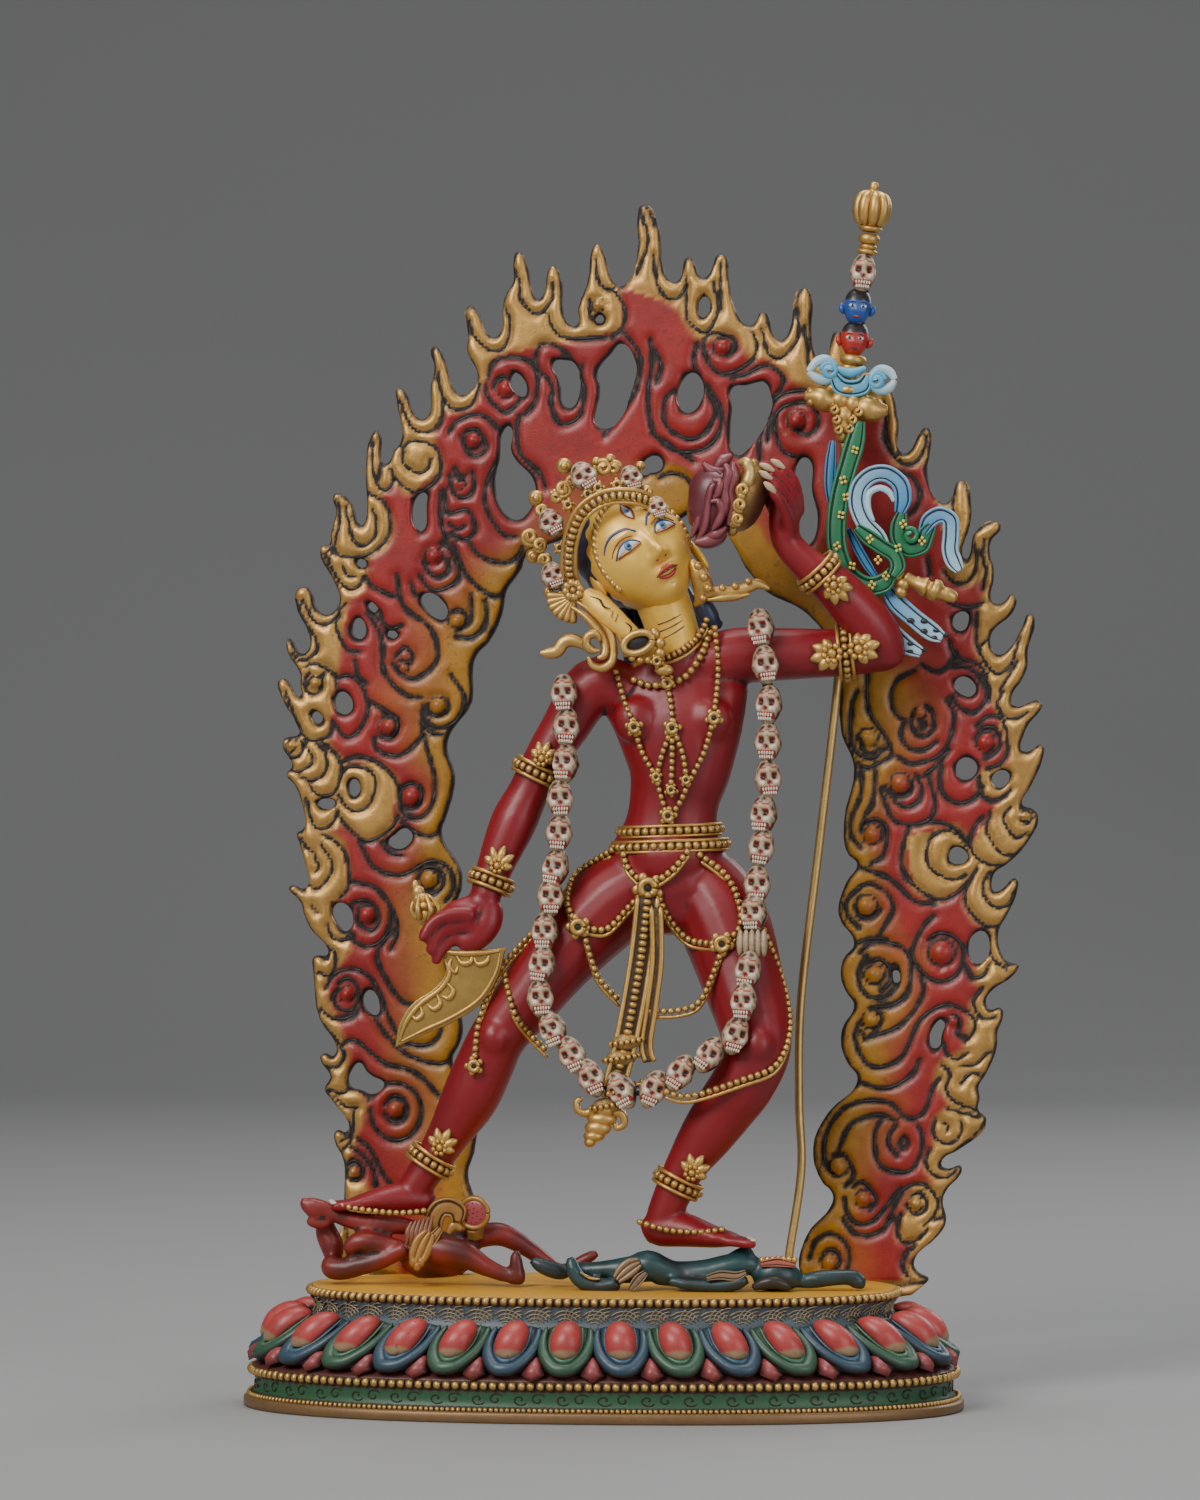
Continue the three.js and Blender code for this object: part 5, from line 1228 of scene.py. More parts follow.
def leaves(shape, place, up, wide, tall):
    """A rosette standing on a cuff, with pointed leaves fanned out above it."""
    place, up = Vector(place), Vector(up).normalized()
    side = up.cross(Vector((0, -1, 0))).normalized()
    heart = place + up * tall * 0.24
    for k in range(5):
        angle = (k - 2) * 0.66
        way = up * cos(angle) + side * sin(angle)
        reach = tall * (0.5 + 0.28 * cos(angle))
        put(shape, limb([(*heart, 0.8), (*(heart + way * reach * 0.62), wide * 0.2, 1.2),
                         (*(heart + way * reach), 0.3)],
                        rows=12, dirt_and_shade=rubbed_and_shaded(0.85, 0.8)))
    for angle in circle(8)[:-1]:
        put(shape, egg(*(heart + (up * cos(angle) + side * sin(angle)) * wide * 0.26 - Vector((0, 0.9, 0))),
                       wide * 0.11, 0.9, wide * 0.11, dirt_and_shade=0.2))
    put(shape, egg(*(heart - Vector((0, 1.3, 0))), wide * 0.15, 0.9, wide * 0.15, dirt_and_shade=0.05))


# Each cuff: its middle, the way of its limb and its half width, then its rosettes.
for place, way, half, *rosettes in (
    ((-19.4, -2, 184.4), (4.5, 0, 9.5), 7.3, ((-18.6, -9.4, 187), (4.5, 1, 9.5), 7, 7)),
    ((-32.8, -5.8, 152.6), (3, 1, 8), 6.2, ((-31.2, -12, 155.6), (3, 1, 8), 6.6, 8)),
    ((70, 3, 219.8), (1, 0, 0.1), 8, ((68.16, -5.4, 219.8), (-4.6, 0, -1.38), 9, 8.6),
     ((71.84, -5.4, 219.8), (4.6, 0, 1.38), 9, 8.6)),
    ((62.4, -3.9, 242.8), (-6.4, -1.6, 6.8), 6.5, ((65.4, -9.6, 240.2), (6.4, 0.4, -6.8), 8, 8)),
    ((-50.6, 0, 71), (5, 0, 8), 6.9, ((-48.4, -6.8, 73.6), (5, 0, 9), 7, 8)),
    ((22, -9.2, 65.4), (4.4, 0, 9), 6.9, ((25.4, -16, 67.4), (5, 0, 8), 7, 8)),
):
    cuff(ornaments, place, way, half)
    for rosette in rosettes:
        leaves(ornaments, *rosette)
for line in ([(342, 1206), (372, 1211), (402, 1213), (430, 1210)],
             [(640, 1222), (668, 1230), (700, 1232), (724, 1229)]):
    string_beads(ornaments, [spot(u, v, -8.4 if u < 500 else -16.6) for u, v in line], 2, 0.95)
piece("goddess_ornaments", ornaments, gilding, "gold_paint")

# Goddess's head: a gold-leafed face of calm, even proportions with three eyes, under dark blue hair.
# It is modelled upright, then leaned back and turned towards the raised cup.
HEAD_PLACE = Matrix.Translation((9.8, -3.6, 248)) @ Matrix.Rotation(-0.575, 4, "Y") @ Matrix.Rotation(
    0.36, 4, "Z") @ Matrix.Rotation(-0.12, 4, "X")
HAIR_BLUE = (0.012, 0.02, 0.05, 0)
BROW_BLUE = (0.01, 0.04, 0.14, 0)
EYE_WHITE = (0.62, 0.6, 0.56, 0)
IRIS_BLUE = (0.03, 0.2, 0.42, 0)
LIP_RED = (0.42, 0.02, 0.015, 0)
LINE_RED = (0.25, 0.02, 0.01, 0)


def hump(*ratios):
    """One at the middle of a soft hump, falling to nothing a few widths away."""
    return exp(-sum(ratio * ratio for ratio in ratios))


def sculpted(columns, rows, form, tint, dirt_and_shade=0.1):
    """A closed ball whose points are moved, painted and rubbed by functions of their direction and place."""
    made = bmesh.new()
    bmesh.ops.create_uvsphere(made, u_segments=columns, v_segments=rows, radius=1)
    paint, wash_and_shade = layers(made)
    for vert in made.verts:
        vert.co = form(vert.co.normalized())
        vert[paint] = tint(vert.co) if callable(tint) else tint
        vert[wash_and_shade] = dirt_and_shade(vert.co) if callable(dirt_and_shade) else dirt_and_shade
    return mesh_of(made, "ball")


def face_form(way):
    low, front = max(0, -way.z), way.y < 0
    x, y, z = 15.4 * way.x * (1 - 0.27 * low ** 1.5), 15.2 * way.y * (1 - 0.1 * low), 19.2 * way.z
    if front:
        side = abs(x)
        y += 1.5 * hump((side - 6.2) / 3.4,
                        (z - 1.4) / 2) - 1.35 * hump((side - 6.2) / 2.5, (z - 0.7) / 1.45)
        y -= 2.5 * hump(x / 1.5) * max(0, min(1, (4.4 - z) / 9)) * max(0, min(1, (z + 8) / 2))
        y -= 1.7 * hump(x / 1.9, (z + 5.4) / 1.7) + 1.1 * hump((side - 2.3) / 1, (z + 6) / 1.1)
        y += 0.7 * hump(x / 3.2, (z + 8.4) / 0.9) - 1.3 * hump(x / 3.4, (z + 10.9) / 1.5) + 0.5 * hump(
            x / 2.6, (z + 13.4) / 0.8)
        y -= 1.5 * hump(x / 3.2, (z + 16) / 2.2) + 0.9 * hump((side - 8) / 3.4, (z + 6) / 4)
        y -= 0.5 * hump((side - 5.5) / 4, (z - 4.6) / 1.1)
    return Vector((x, y, z))


face = shape_of(sculpted(120, 90, face_form, SKIN_GOLD, 0.08))
face_tree = BVHTree.FromBMesh(face)


def on_face(x, z, lift=0):
    hit = face_tree.ray_cast(Vector((x, -40, z)), Vector((0, 1, 0)))[0]
    return Vector((x, hit.y - lift if hit else 0, z))


def mark(shape, places, halves, tint, deep, lift=0):
    """A painted line or low form laid on the face: its places are side and height."""
    line = [on_face(x, z, lift) for x, z in places]
    put(shape, limb([(*place, half, deep) for place, half in zip(line, halves)], tint, rows=20))


features = shape_of()
for side in (-1, 1):
    for places, halves, tint, deep, lift in (
        (((1.6, 3.2), (4, 5.6), (7.4, 6.3), (10.2, 5.2), (12.2, 3)), (0.25, 0.5, 0.52, 0.42, 0.15),
         BROW_BLUE, 0.22, 0),
        (((3, 0.1), (4.4, 0.9), (6.2, 1.1), (8.2, 0.8), (9.9, -0.1)), (0.1, 0.95, 1.35, 0.9, 0.1),
         EYE_WHITE, 0.5, 0),
        (((2.5, -0.2), (4.1, 1.9), (6.4, 2.6), (8.6, 1.8), (10.9, -0.5)), (0.12, 0.3, 0.34, 0.3, 0.12),
         BROW_BLUE, 0.3, 0.5),
        (((2.6, -0.3), (4.4, -0.5), (6.4, -0.65), (8.4, -0.5), (10.4, -0.5)), (0.1, 0.24, 0.26, 0.24, 0.1),
         LINE_RED, 0.3, 0.45),
        (((3.2, 2.9), (6.4, 3.8), (9.2, 2.8), (11.3, 0.8)), (0.08, 0.16, 0.16, 0.08), LINE_RED, 0.2, 0.15),
    ):
        mark(features, [(side * x, z) for x, z in places], halves, tint, deep, lift)
    centre = on_face(side * 6, 1, 0.3)
    put(features, egg(*centre, 1.3, 0.5, 1.3, IRIS_BLUE, sides=14))
    put(features, egg(*(centre + Vector((0, -0.3, 0))), 0.6, 0.4, 0.6, BLACK, sides=10))
    put(features, egg(side * 15.2, 1.6, -1.6, 1.3, 2.6, 4.2, SKIN_GOLD, sides=12, dirt_and_shade=0.2))
    put(features, egg(side * 15.6, 1.8, -9, 1.2, 2, 5.6, SKIN_GOLD, sides=12, dirt_and_shade=0.3))
mark(features, [(0, z) for z in (7.2, 8.6, 10, 11.4, 12.8)], [0.1, 0.85, 1.15, 0.8, 0.1], EYE_WHITE, 0.45)
for side in (-1, 1):
    mark(features, [(side * x, z) for x, z in ((0, 6.8), (1, 8.5), (1.35, 10), (0.9, 11.6), (0, 13.2))],
         [0.1, 0.26, 0.28, 0.24, 0.1], LINE_RED, 0.3, 0.4)
put(features, egg(*on_face(0, 10, 0.3), 0.85, 0.5, 0.85, IRIS_BLUE, sides=12))
put(features, egg(*on_face(0, 10, 0.6), 0.4, 0.35, 0.4, BLACK))
mark(features, [(-3.7, -10.9), (-1.8, -10.3), (-0.7, -9.9), (0, -10.2), (0.7, -9.9), (1.8, -10.3),
                (3.7, -10.9)], [0.12, 0.55, 0.72, 0.6, 0.72, 0.55, 0.12], LIP_RED, 0.55)
mark(features, [(-3.1, -11.3), (-1.5, -11.9), (0, -12.1), (1.5, -11.9), (3.1, -11.3)],
     [0.12, 0.7, 0.85, 0.7, 0.12], LIP_RED, 0.65)
mark(features, [(-3.9, -11), (-1.8, -10.95), (0, -11.05), (1.8, -10.95), (3.9, -11)],
     [0.1, 0.2, 0.2, 0.2, 0.1], BLACK, 0.3, 0.65)
for side in (-1, 1):
    put(features, egg(*on_face(side * 1.35, -7, -0.1), 0.55, 0.3, 0.35, LINE_RED))
for angle in (k * radians(7.5) for k in range(-15, 16)):
    x, z = 14.3 * sin(angle), 15.4 * cos(angle) - 0.4
    place = on_face(x * 0.97, z, -0.3)
    put(features, egg(place.x, place.y, place.z, 1, 1.1, 1.5, dirt_and_shade=0.3))
face.transform(HEAD_PLACE)
features.transform(HEAD_PLACE)
face_paint = painted("gold leaf skin", grime_and_shade=(0.2, 0.1, 0.02), mottle=0.2, gloss=0.5, bump=0.00004)
piece("goddess_face", face, face_paint, "painted_skin")
piece("goddess_features", features, painted("face paint", mottle=0.15, gloss=0.4), "painted_skin")


def hair_form(way):
    strand = 0.28 * sin(26 * atan2(way.x, way.z + 0.6))
    return Vector(((16.2 + strand) * way.x, 3.4 + (14.6 + strand) * way.y, 3 + (18.4 + strand) * way.z))


hair = shape_of(sculpted(150, 60, hair_form, HAIR_BLUE, 0.3))
hair.transform(HEAD_PLACE)
for k in range(9):
    aside = (k - 4) * 2.2
    top = HEAD_PLACE @ Vector((aside * 0.9, 15 - 0.16 * abs(aside), 2))
    lock = [(*top, 2.2), (13 + aside, 13.6, 238, 2.4), (17 + aside * 1.15, 11.8, 226, 2.6),
            (19 + aside * 1.3, 12.2, 214, 2.4), (20 + aside * 1.15, 13, 203 + 0.2 * abs(aside), 0.5)]
    put(hair, limb(lock, HAIR_BLUE, rows=24, dirt_and_shade=0.2))
piece("goddess_hair", hair, painted("hair paint", grime_and_shade=(0.01, 0.01, 0.012), gloss=0.3, mottle=0.2),
      "painted_skin")

# Skulls: one carved and painted skull of bone colour with red lines, set again and again along the garland.
# The same skull, smaller, stands on the crown and the staff. The garland's skulls touch on a dark cord.
BONE = (0.52, 0.39, 0.24, 0)
BONE_WHITE = (0.72, 0.64, 0.5, 0)
SKULL_RED = (0.32, 0.012, 0.01, 0)
SOCKET = (0.02, 0.004, 0.004, 0)


def skull_form(way):
    low = max(0, -way.z)
    x, y, z = 4.1 * way.x * (1 - 0.2 * low ** 2), 3.8 * way.y, 5.1 * way.z
    if abs(way.x) > 0.2:
        x += 0.35 * copysign(1, x) * hump((z + 0.4) / 1)
    if way.y < 0:
        side = abs(x)
        y += 1.7 * hump((side - 1.75) / 1, (z - 0.7) / 0.95) - 0.55 * hump(
            x / 3, (z - 2.2) / 0.8) + 1.1 * hump(x / 0.6, (z + 0.9) / 0.75)
        y -= 0.75 * hump((side - 2.4) / 1, (z + 1) / 0.65) + 0.5 * hump(
            x / 2.4, (z + 3.2) / 0.8) - 0.4 * hump(x / 2.6, (z + 2.4) / 0.45)
    return Vector((x, y, z))


def skull_tint(place):
    if place.y > 0.5:
        return BONE
    side, z = abs(place.x), place.z
    socket, nose = hump((side - 1.75) / 1, (z - 0.7) / 0.95), hump(place.x / 0.6, (z + 0.9) / 0.75)
    if socket > 0.5 or nose > 0.55:
        return SOCKET
    if socket > 0.27 or nose > 0.3 or abs(z - 3 - 0.25 * cos(place.x * 2)) < 0.24 and side < 2.6:
        return SKULL_RED
    if side < 3 and -3.5 < z < -1.7:
        return SKULL_RED
    # The raised cheekbones are painted lighter: a painted highlight.
    return BONE_WHITE if hump((side - 2.4) / 1, (z + 1) / 0.65) > 0.4 else BONE


# Darker towards the back of the skull: painted shade; the clouding is dirt.
def skull_dirt_and_shade(place):
    return 0.6 if place.y > 0.6 else 0.27 + 0.14 * max(0,
                                                       place.y + 3) + 0.6 * max(0, noise.noise(place * 0.7))


skull_shape = shape_of(sculpted(46, 32, skull_form, skull_tint, skull_dirt_and_shade))
for row, level in ((0, -2.4), (1, -3.4)):
    for k in range(6):
        aside = (k - 2.5) * (0.86 - 0.1 * row)
        put(skull_shape, egg(aside, -3.45 + 0.07 * aside * aside + 0.25 * row, level, 0.38, 0.45, 0.46,
                             BONE_WHITE, sides=6))
skull = mesh_of(skull_shape, "skull")


def set_skull(shape, place, tilt=0, scale=1, turn=0, tall=1):
    put(shape, skull, Matrix.Translation(place) @ Matrix.Rotation(tilt, 4, "Y")
        @ Matrix.Rotation(turn, 4, "Z") @ Matrix.Diagonal((scale / tall, scale, scale * tall, 1)),
        keep=True)


GARLAND = [(564, 694), (566, 727), (566, 763), (560, 799), (559, 833), (556, 868), (550, 897), (545, 932),
           (542, 965), (540, 998), (553, 1029), (572, 1055),
           (591, 1078), (622, 1090), (653, 1089), (680, 1073), (710, 1055), (735, 1035), (744, 1002),
           (748, 971), (752, 943), (754, 913), (757, 885), (761, 848),
           (764, 815), (768, 779), (768, 743), (769, 705), (765, 665), (761, 628)]
GARLAND_FREE = -15.5
garland_line = drape(GARLAND, 4.2, GARLAND_FREE)
depths = [place.y for place in garland_line]
for _ in range(3):
    depths = [min(depths[k], (depths[max(0, k - 1)] + depths[k] * 2 + depths[min(len(depths) - 1, k + 1)])
                  / 4) for k in range(len(depths))]
garland_line = [spot(u, v, depth) for (u, v), depth in zip(GARLAND, depths)]
garland = shape_of()
RIBBED_KNOT = 20
LOWEST_SKULL = 14
for k, place in enumerate(garland_line):
    before, after = garland_line[max(0, k - 1)], garland_line[min(len(garland_line) - 1, k + 1)]
    way = (before - after) if k < LOWEST_SKULL else (after - before)
    tilt = max(-0.5, min(0.5, atan2(way.x, way.z) * 0.6))
    if k == RIBBED_KNOT:
        for rib in range(5):
            put(garland, egg(place.x + (rib - 2) * 1.7, place.y - 1 + 0.4 * abs(rib - 2), place.z, 1.1, 2.6,
                             4, BONE, sides=12, dirt_and_shade=0.5))
    else:
        set_skull(garland, place, tilt + 0.1 * sin(k * 1.7), 1.03, 0.3 * sin(k * 2.3) - 0.1, 1.14)
put(garland, limb([(place.x, place.y + 1.6, place.z, 1.5) for place in garland_line], BLACK, rows=150))
bone_paint = painted("bone paint", grime_and_shade=(0.05, 0.012, 0.008), mottle=0.35, gloss=0.35)
piece("garland_skulls", garland, bone_paint, "painted_bone", "skull_garland")

# Crown and ear ornaments: an open gold diadem with five skulls and curls, a flower and pleated fan at the
# ear, long ear ribbons with a hoop, and an earring on the far side. Cast with the head and gilded.
NECK_RED = (0.1, 0.02, 0.01, 0)
crown_skulls = shape_of()
for (u, v), y, tilt, scale in (((584, 477), -15.5, -0.55, 0.92), ((551, 523), -13, -0.5, 0.86),
                               ((553, 576), -9, -0.35, 0.84), ((631, 479), -12, -0.3, 0.8),
                               ((657, 508), -12.5, -0.3, 0.7)):
    set_skull(crown_skulls, spot(u, v, y), tilt, scale, 0.2)
piece("crown_skulls", crown_skulls, bone_paint, "painted_bone")
crown = shape_of()


def scroll(shape, u, v, y, radius, turns, half, start, tint=OLD_GOLD):
    """A raised spiral; its radius is in millimetres and it unrolls outwards from its eye."""
    middle = spot(u, v, y)
    count = max(6, int(9 * abs(turns)))
    line = []
    for k in range(count + 1):
        share = k / count
        angle = start + tau * turns * share
        reach = radius * (0.18 + 0.82 * share)
        line.append((middle.x + reach * cos(angle), middle.y - 0.8 * (1 - share),
                     middle.z + reach * sin(angle), half * (1.15 - 0.35 * share)))
    put(shape, limb(line, tint, rows=4 * count, dirt_and_shade=0.35))


def strand(shape, places, y_line, half, tint=OLD_GOLD, dirt_and_shade=0.3, deep=None):
    """A plain rope through front view places at given depths, thinned at its ends."""
    count = len(places)
    line = []
    for k, (u, v) in enumerate(places):
        share = k / (count - 1)
        y = y_line[0] + (y_line[1] - y_line[0]) * share
        line.append((*spot(u, v, y), half * min(1, 0.35 + 3 * min(share, 1 - share)))
                    + ((deep,) if deep else ()))
    put(shape, limb(line, tint, rows=8 * count, dirt_and_shade=dirt_and_shade))


diadem = [spot(u, v, y) for u, v, y in ((661, 512, -9), (650, 502, -13), (636, 497, -16), (618, 496, -18.4),
                                        (602, 499, -19.2), (588, 507, -19.2), (578, 519, -18.4),
                                        (572, 535, -17), (569, 552, -15), (569, 570, -12.4),
                                        (573, 588, -9))]
string_beads(crown, diadem, 2, 1.5)
for shift in (-1.9, 1.9):
    middle = sum(diadem, Vector()) / len(diadem)
    rope(crown, [place + (place - (middle + Vector((10, 0, -12)))).normalized() * shift
                 for place in diadem], 0.7, rows=90)
for u, v, y, radius, turns, start in ((603, 468, -13, 2.6, 1.6, 0.4), (614, 468, -12.4, 1.9, -1.4, 2.6),
                                      (563, 489, -14, 2.6, -1.7, 1.2), (556, 497, -13.6, 1.8, 1.4, 0.2),
                                      (530, 537, -8, 2.5, 1.6, 2),
                                      (539, 545, -9, 1.9, -1.4, 0.5), (572, 481, -14, 1.7, 1.4, 3),
                                      (541, 511, -12, 1.7, -1.3, 1), (646, 492, -11, 1.6, 1.4, 1),
                                      (545, 560, -9, 1.8, 1.3, 2)):
    scroll(crown, u, v, y, radius, turns, 0.95, start)
for u, v, y, half in ((564, 466, -13.6, 2.4), (536, 498, -11, 2.3), (533, 556, -7, 2.2),
                      (610, 459, -12, 1.6), (640, 466, -10, 1.5), (549, 592, -6, 1.7),
                      (596, 462, -13, 1.5)):
    put(crown, egg(*spot(u, v, y), half, half * 0.8, half, sides=12, dirt_and_shade=0.2))
    put(crown, egg(*spot(u, v, y - 1.4), half * 0.5, half * 0.5, half * 0.5, sides=12))
for (u, v), y in (((598, 488), -17), ((568, 505), -16.4), ((560, 548), -12), ((617, 485), -16),
                  ((561, 596), -9), ((588, 494), -17)):
    boss(crown, spot(u, v, y), 2)
# The small band of scallops above the forehead ends at the ear flower and its pleated fan.
flower = spot(573, 590, -12.5)
for k in range(8):
    angle = tau * k / 8 + 0.2
    put(crown, egg(flower.x + 2.1 * cos(angle), flower.y - 0.3, flower.z + 2.1 * sin(angle), 1.25, 0.9,
                   1.25, dirt_and_shade=0.15))
put(crown, egg(flower.x, flower.y - 0.9, flower.z, 0.9, 0.8, 0.9))
for k in range(7):
    angle = radians(176 + 15 * k)
    root, tip = flower + Vector((0.4, 1.2, -1.6)), flower + Vector(
        (0.4 + 7.6 * cos(angle), 2.2, -2 + 7 * sin(angle)))
    put(crown, limb([(*root, 0.6), (*(root.lerp(tip, 0.5)), 0.85), (*tip, 1.15),
                     (*(tip + (tip - root) * 0.1), 0.3)], rows=14, dirt_and_shade=rubbed_and_shaded(0.75, 0.7)))
put(crown, limb(seen((586, 590, -11.5, 1.4), (592, 599, -12, 3.3, 1.5), (606, 612, -13.4, 3.5, 1.5),
                     (622, 626, -14, 3, 1.4), (636, 638, -14.4, 2.2, 1.2), (640, 643, -14.4, 0.5)),
                SKIN_GOLD, sides=14, rows=40, dirt_and_shade=0.15))
for places in ([(590, 596), (600, 600), (603, 606), (611, 609)], [(613, 611), (611, 618)],
               [(618, 614), (615, 622)], [(625, 622), (631, 627), (630, 632)]):
    strand(crown, places, (-15.2, -15.8), 0.28, BLACK, 1)
for places, y_line, half, *deep in (
    ([(574, 600), (592, 612), (608, 630), (613, 648), (611, 662), (602, 668), (592, 665), (588, 656)],
     (-12, -15), 1.35),
    ([(570, 606), (586, 617), (600, 634), (605, 648), (603, 656), (597, 658)], (-12.6, -15.8), 1.2),
    ([(578, 598), (598, 610), (616, 630), (623, 646)], (-11.6, -14.4), 1.1),
    ([(600, 650), (592, 650), (586, 644), (588, 636), (596, 634), (600, 641)], (-16, -16.4), 1.35),
    ([(589, 650), (580, 643), (571, 640), (563, 643), (557, 651), (548, 653), (540, 653)], (-14.6, -14),
     1.9, 1.2),
):
    strand(crown, places, y_line, half, OLD_GOLD, 0.3, *deep)
hoop = spot(638, 643, -16.4)
hoop_line = [(hoop.x + 4.4 * cos(a) * 0.96, hoop.y - 0.3 * cos(a), hoop.z + 2.9 * sin(a) + 0.9 * cos(a),
              1.15) for a in circle(16)]
put(crown, limb(hoop_line, sides=10, rows=80, dirt_and_shade=0.15))
put(crown, egg(hoop.x, hoop.y + 0.8, hoop.z, 4, 0.7, 2.5, BLACK, sides=12))
knobs(crown, ((655, 634, 1.6), (660, 643, 1.7), (660, 653, 1.7), (654, 631, 1.2), (632, 658, 1.1),
              (640, 660, 1.1), (648, 660, 1.1), (626, 654, 1)), -15.6, 0.9, 0.1)
boss(crown, spot(657, 661, -16), 2)
put(crown, egg(*spot(664, 670, -14.4), 2.8, 1.4, 1.7, sides=12, dirt_and_shade=0.2))
put(crown, limb(seen((690, 560, -8, 0.8), (698, 572, -8, 2.6, 2), (703, 588, -7, 3, 2),
                     (700, 600, -6, 2, 1.6), (694, 606, -5, 0.4)), rows=30, dirt_and_shade=0.35))
knobs(crown, ((698, 566, 1.3), (704, 577, 1.5), (708, 588, 1.4), (703, 598, 1.2)), -9.4)
strand(crown, [(700, 596), (716, 592), (732, 592), (746, 588), (757, 584), (770, 589)], (-7, -5), 1.7,
       deep=1.2)
strand(crown, [(706, 600), (722, 598), (738, 596), (750, 594)], (-7.4, -6), 1.2)
knobs(crown, ((722, 588, 1.1), (735, 586, 1.1), (748, 581, 1)), -7.4)
strand(crown, [(696, 592), (704, 606), (712, 620), (722, 626)], (-5, -3), 2.6, HAIR_BLUE)
piece("crown_and_ears", crown, gilding, "gold_paint")
neck_lines = shape_of()
for places in ([(657, 625), (668, 621), (678, 616), (686, 610)],
               [(659, 632), (671, 627), (681, 621), (689, 614)],
               [(662, 639), (674, 633), (684, 626), (693, 617)]):
    put(neck_lines, limb([(*place, 0.22) for place in drape(places, 0.02)], NECK_RED, sides=6, rows=16))
piece("neck_lines", neck_lines, face_paint, "painted_skin")

# Curved knife: a flat crescent blade with cloud trim along two edges, on a short gilded handle held in the
# fist. Cast separately and glued into the hand.
KNIFE_GOLD = (0.42, 0.26, 0.07, 0.85)
BLADE = [(436, 946), (452, 951), (478, 951), (504, 949), (497, 976), (480, 1002), (452, 1021), (424, 1033),
         (397, 1045), (401, 1024), (414, 1004), (434, 990), (446, 975), (446, 960)]
BLADE_Y = -9
BLADE_CORNERS = (0, 3, 8)
knife = bmesh.new()
knife.from_mesh(cut_plate([[spot(u, v, BLADE_Y).xz for u, v in BLADE]], 0.9, 10, 0.4, BLADE_CORNERS))
bmesh.ops.remove_doubles(knife, verts=knife.verts, dist=0.0001)
bmesh.ops.translate(knife, verts=knife.verts, vec=(0, BLADE_Y, 0))
bmesh.ops.recalc_face_normals(knife, faces=knife.faces)
paint, wash_and_shade = layers(knife)
for vert in knife.verts:
    vert[paint], vert[wash_and_shade] = KNIFE_GOLD, 0.25
for places, half in (([(440, 950), (456, 953), (478, 953), (500, 951)], 0.9),
                     ([(500, 952), (495, 974), (479, 999), (452, 1017), (424, 1030), (400, 1042)], 0.55),
                     ([(444, 958), (449, 974), (440, 989), (420, 1004), (406, 1022), (399, 1042)], 0.8),
                     ([(456, 955), (462, 963), (470, 962), (472, 956)], 0.9),
                     ([(474, 957), (478, 964), (486, 962), (489, 955)], 0.85),
                     ([(452, 958), (449, 966), (455, 972), (458, 966)], 0.7),
                     ([(446, 982), (453, 990), (449, 998), (442, 996)], 0.85),
                     ([(436, 993), (440, 1003), (434, 1009), (427, 1004)], 0.85),
                     ([(420, 1005), (422, 1014), (416, 1019), (411, 1013)], 0.75)):
    strand(knife, places, (-10.4, -10.4), half, OLD_GOLD, 0.2)
for (u, v), wide, tall in (((443, 942), 3.2, 1.5), ((440, 936), 2.6, 1.5), ((425, 916), 2.6, 3),
                           ((424, 906), 3.6, 1.6), ((421, 899), 2.8, 2), ((418, 892), 1.9, 2),
                           ((415, 886), 1, 1.8)):
    put(knife, egg(*spot(u, v, -9), wide, wide * 0.8, tall, sides=12, dirt_and_shade=0.2))
middle = spot(425, 909, -9)
for angle in circle(6)[:-1]:
    put(knife, limb([(middle.x + 2.2 * cos(angle), middle.y + 2.2 * sin(angle), middle.z - 3.2, 0.8),
                     (middle.x + 3.9 * cos(angle), middle.y + 3.9 * sin(angle), middle.z, 0.9),
                     (middle.x + 1.6 * cos(angle) - 0.8, middle.y + 1.6 * sin(angle), middle.z + 4.4, 0.4)],
                    sides=6, rows=12, dirt_and_shade=0.2))
piece("knife", knife, gilding, "gold_paint", "curved_knife")

# Skull cup: a gilded round bowl tipped towards the face, with cloud trim on its rim and maroon folds
# spilling from its mouth, pink on their forward crests as a painted highlight. Carved in one, held by the
# raised fingers.
CUP_GOLD = (0.4, 0.22, 0.05, 0.85)
CUP_BROWN = (0.1, 0.03, 0.012, 0.4)
CUP_BRIGHT = (0.62, 0.42, 0.14, 0.8)
FOLD_HIGHLIGHT_PINK = (0.3, 0.07, 0.085, 0)
FOLD_MAROON = (0.1, 0.01, 0.016, 0)
cup = shape_of(limb([(46.6, -9, 262.4, 3.5), (45.8, -9, 262.7, 6.4), (43.8, -9, 263.4, 9.2),
                     (41.4, -9, 264.2, 10.3), (39.4, -9, 264.8, 10), (38.6, -9, 265, 7.8)],
                    lambda share, front: mix(CUP_GOLD, CUP_BROWN, 2.6 * (0.66 - share)), sides=30, rows=50,
                    dirt_and_shade=lambda share, front: 0.25 + 0.3 * (1 - share)))
for k, angle in enumerate(circle(20)[:-1]):
    around = Vector((0.3 * sin(angle) * 10.2, -cos(angle) * 10.2, 0.95 * sin(angle) * 10.2))
    put(cup, egg(40.4 + around.x, -9 + around.y, 264.3 + around.z, 1.5, 1.4, 1.6, dirt_and_shade=0.3 + 0.3 * (k % 2)))
for u, v, y, radius in ((743, 490, -19.4, 1.9), (740, 505, -19.8, 1.9), (738, 519, -18.6, 1.7)):
    scroll(cup, u, v, y, radius, 1.5, 0.8, 2)
strand(cup, [(738, 463), (746, 463), (750, 472), (747, 483), (741, 487)], (-17, -18.4), 1.8, CUP_BRIGHT,
       0.05)
piece("cup_bowl", cup, gilding, "gold_paint", "skull_cup")
folds = shape_of()


# The maroon folds are painted pink along their forward crests: a painted highlight.
def fold_tint_with_highlight(share, front):
    return mix(FOLD_MAROON, FOLD_HIGHLIGHT_PINK, front * 1.7 - 0.95)


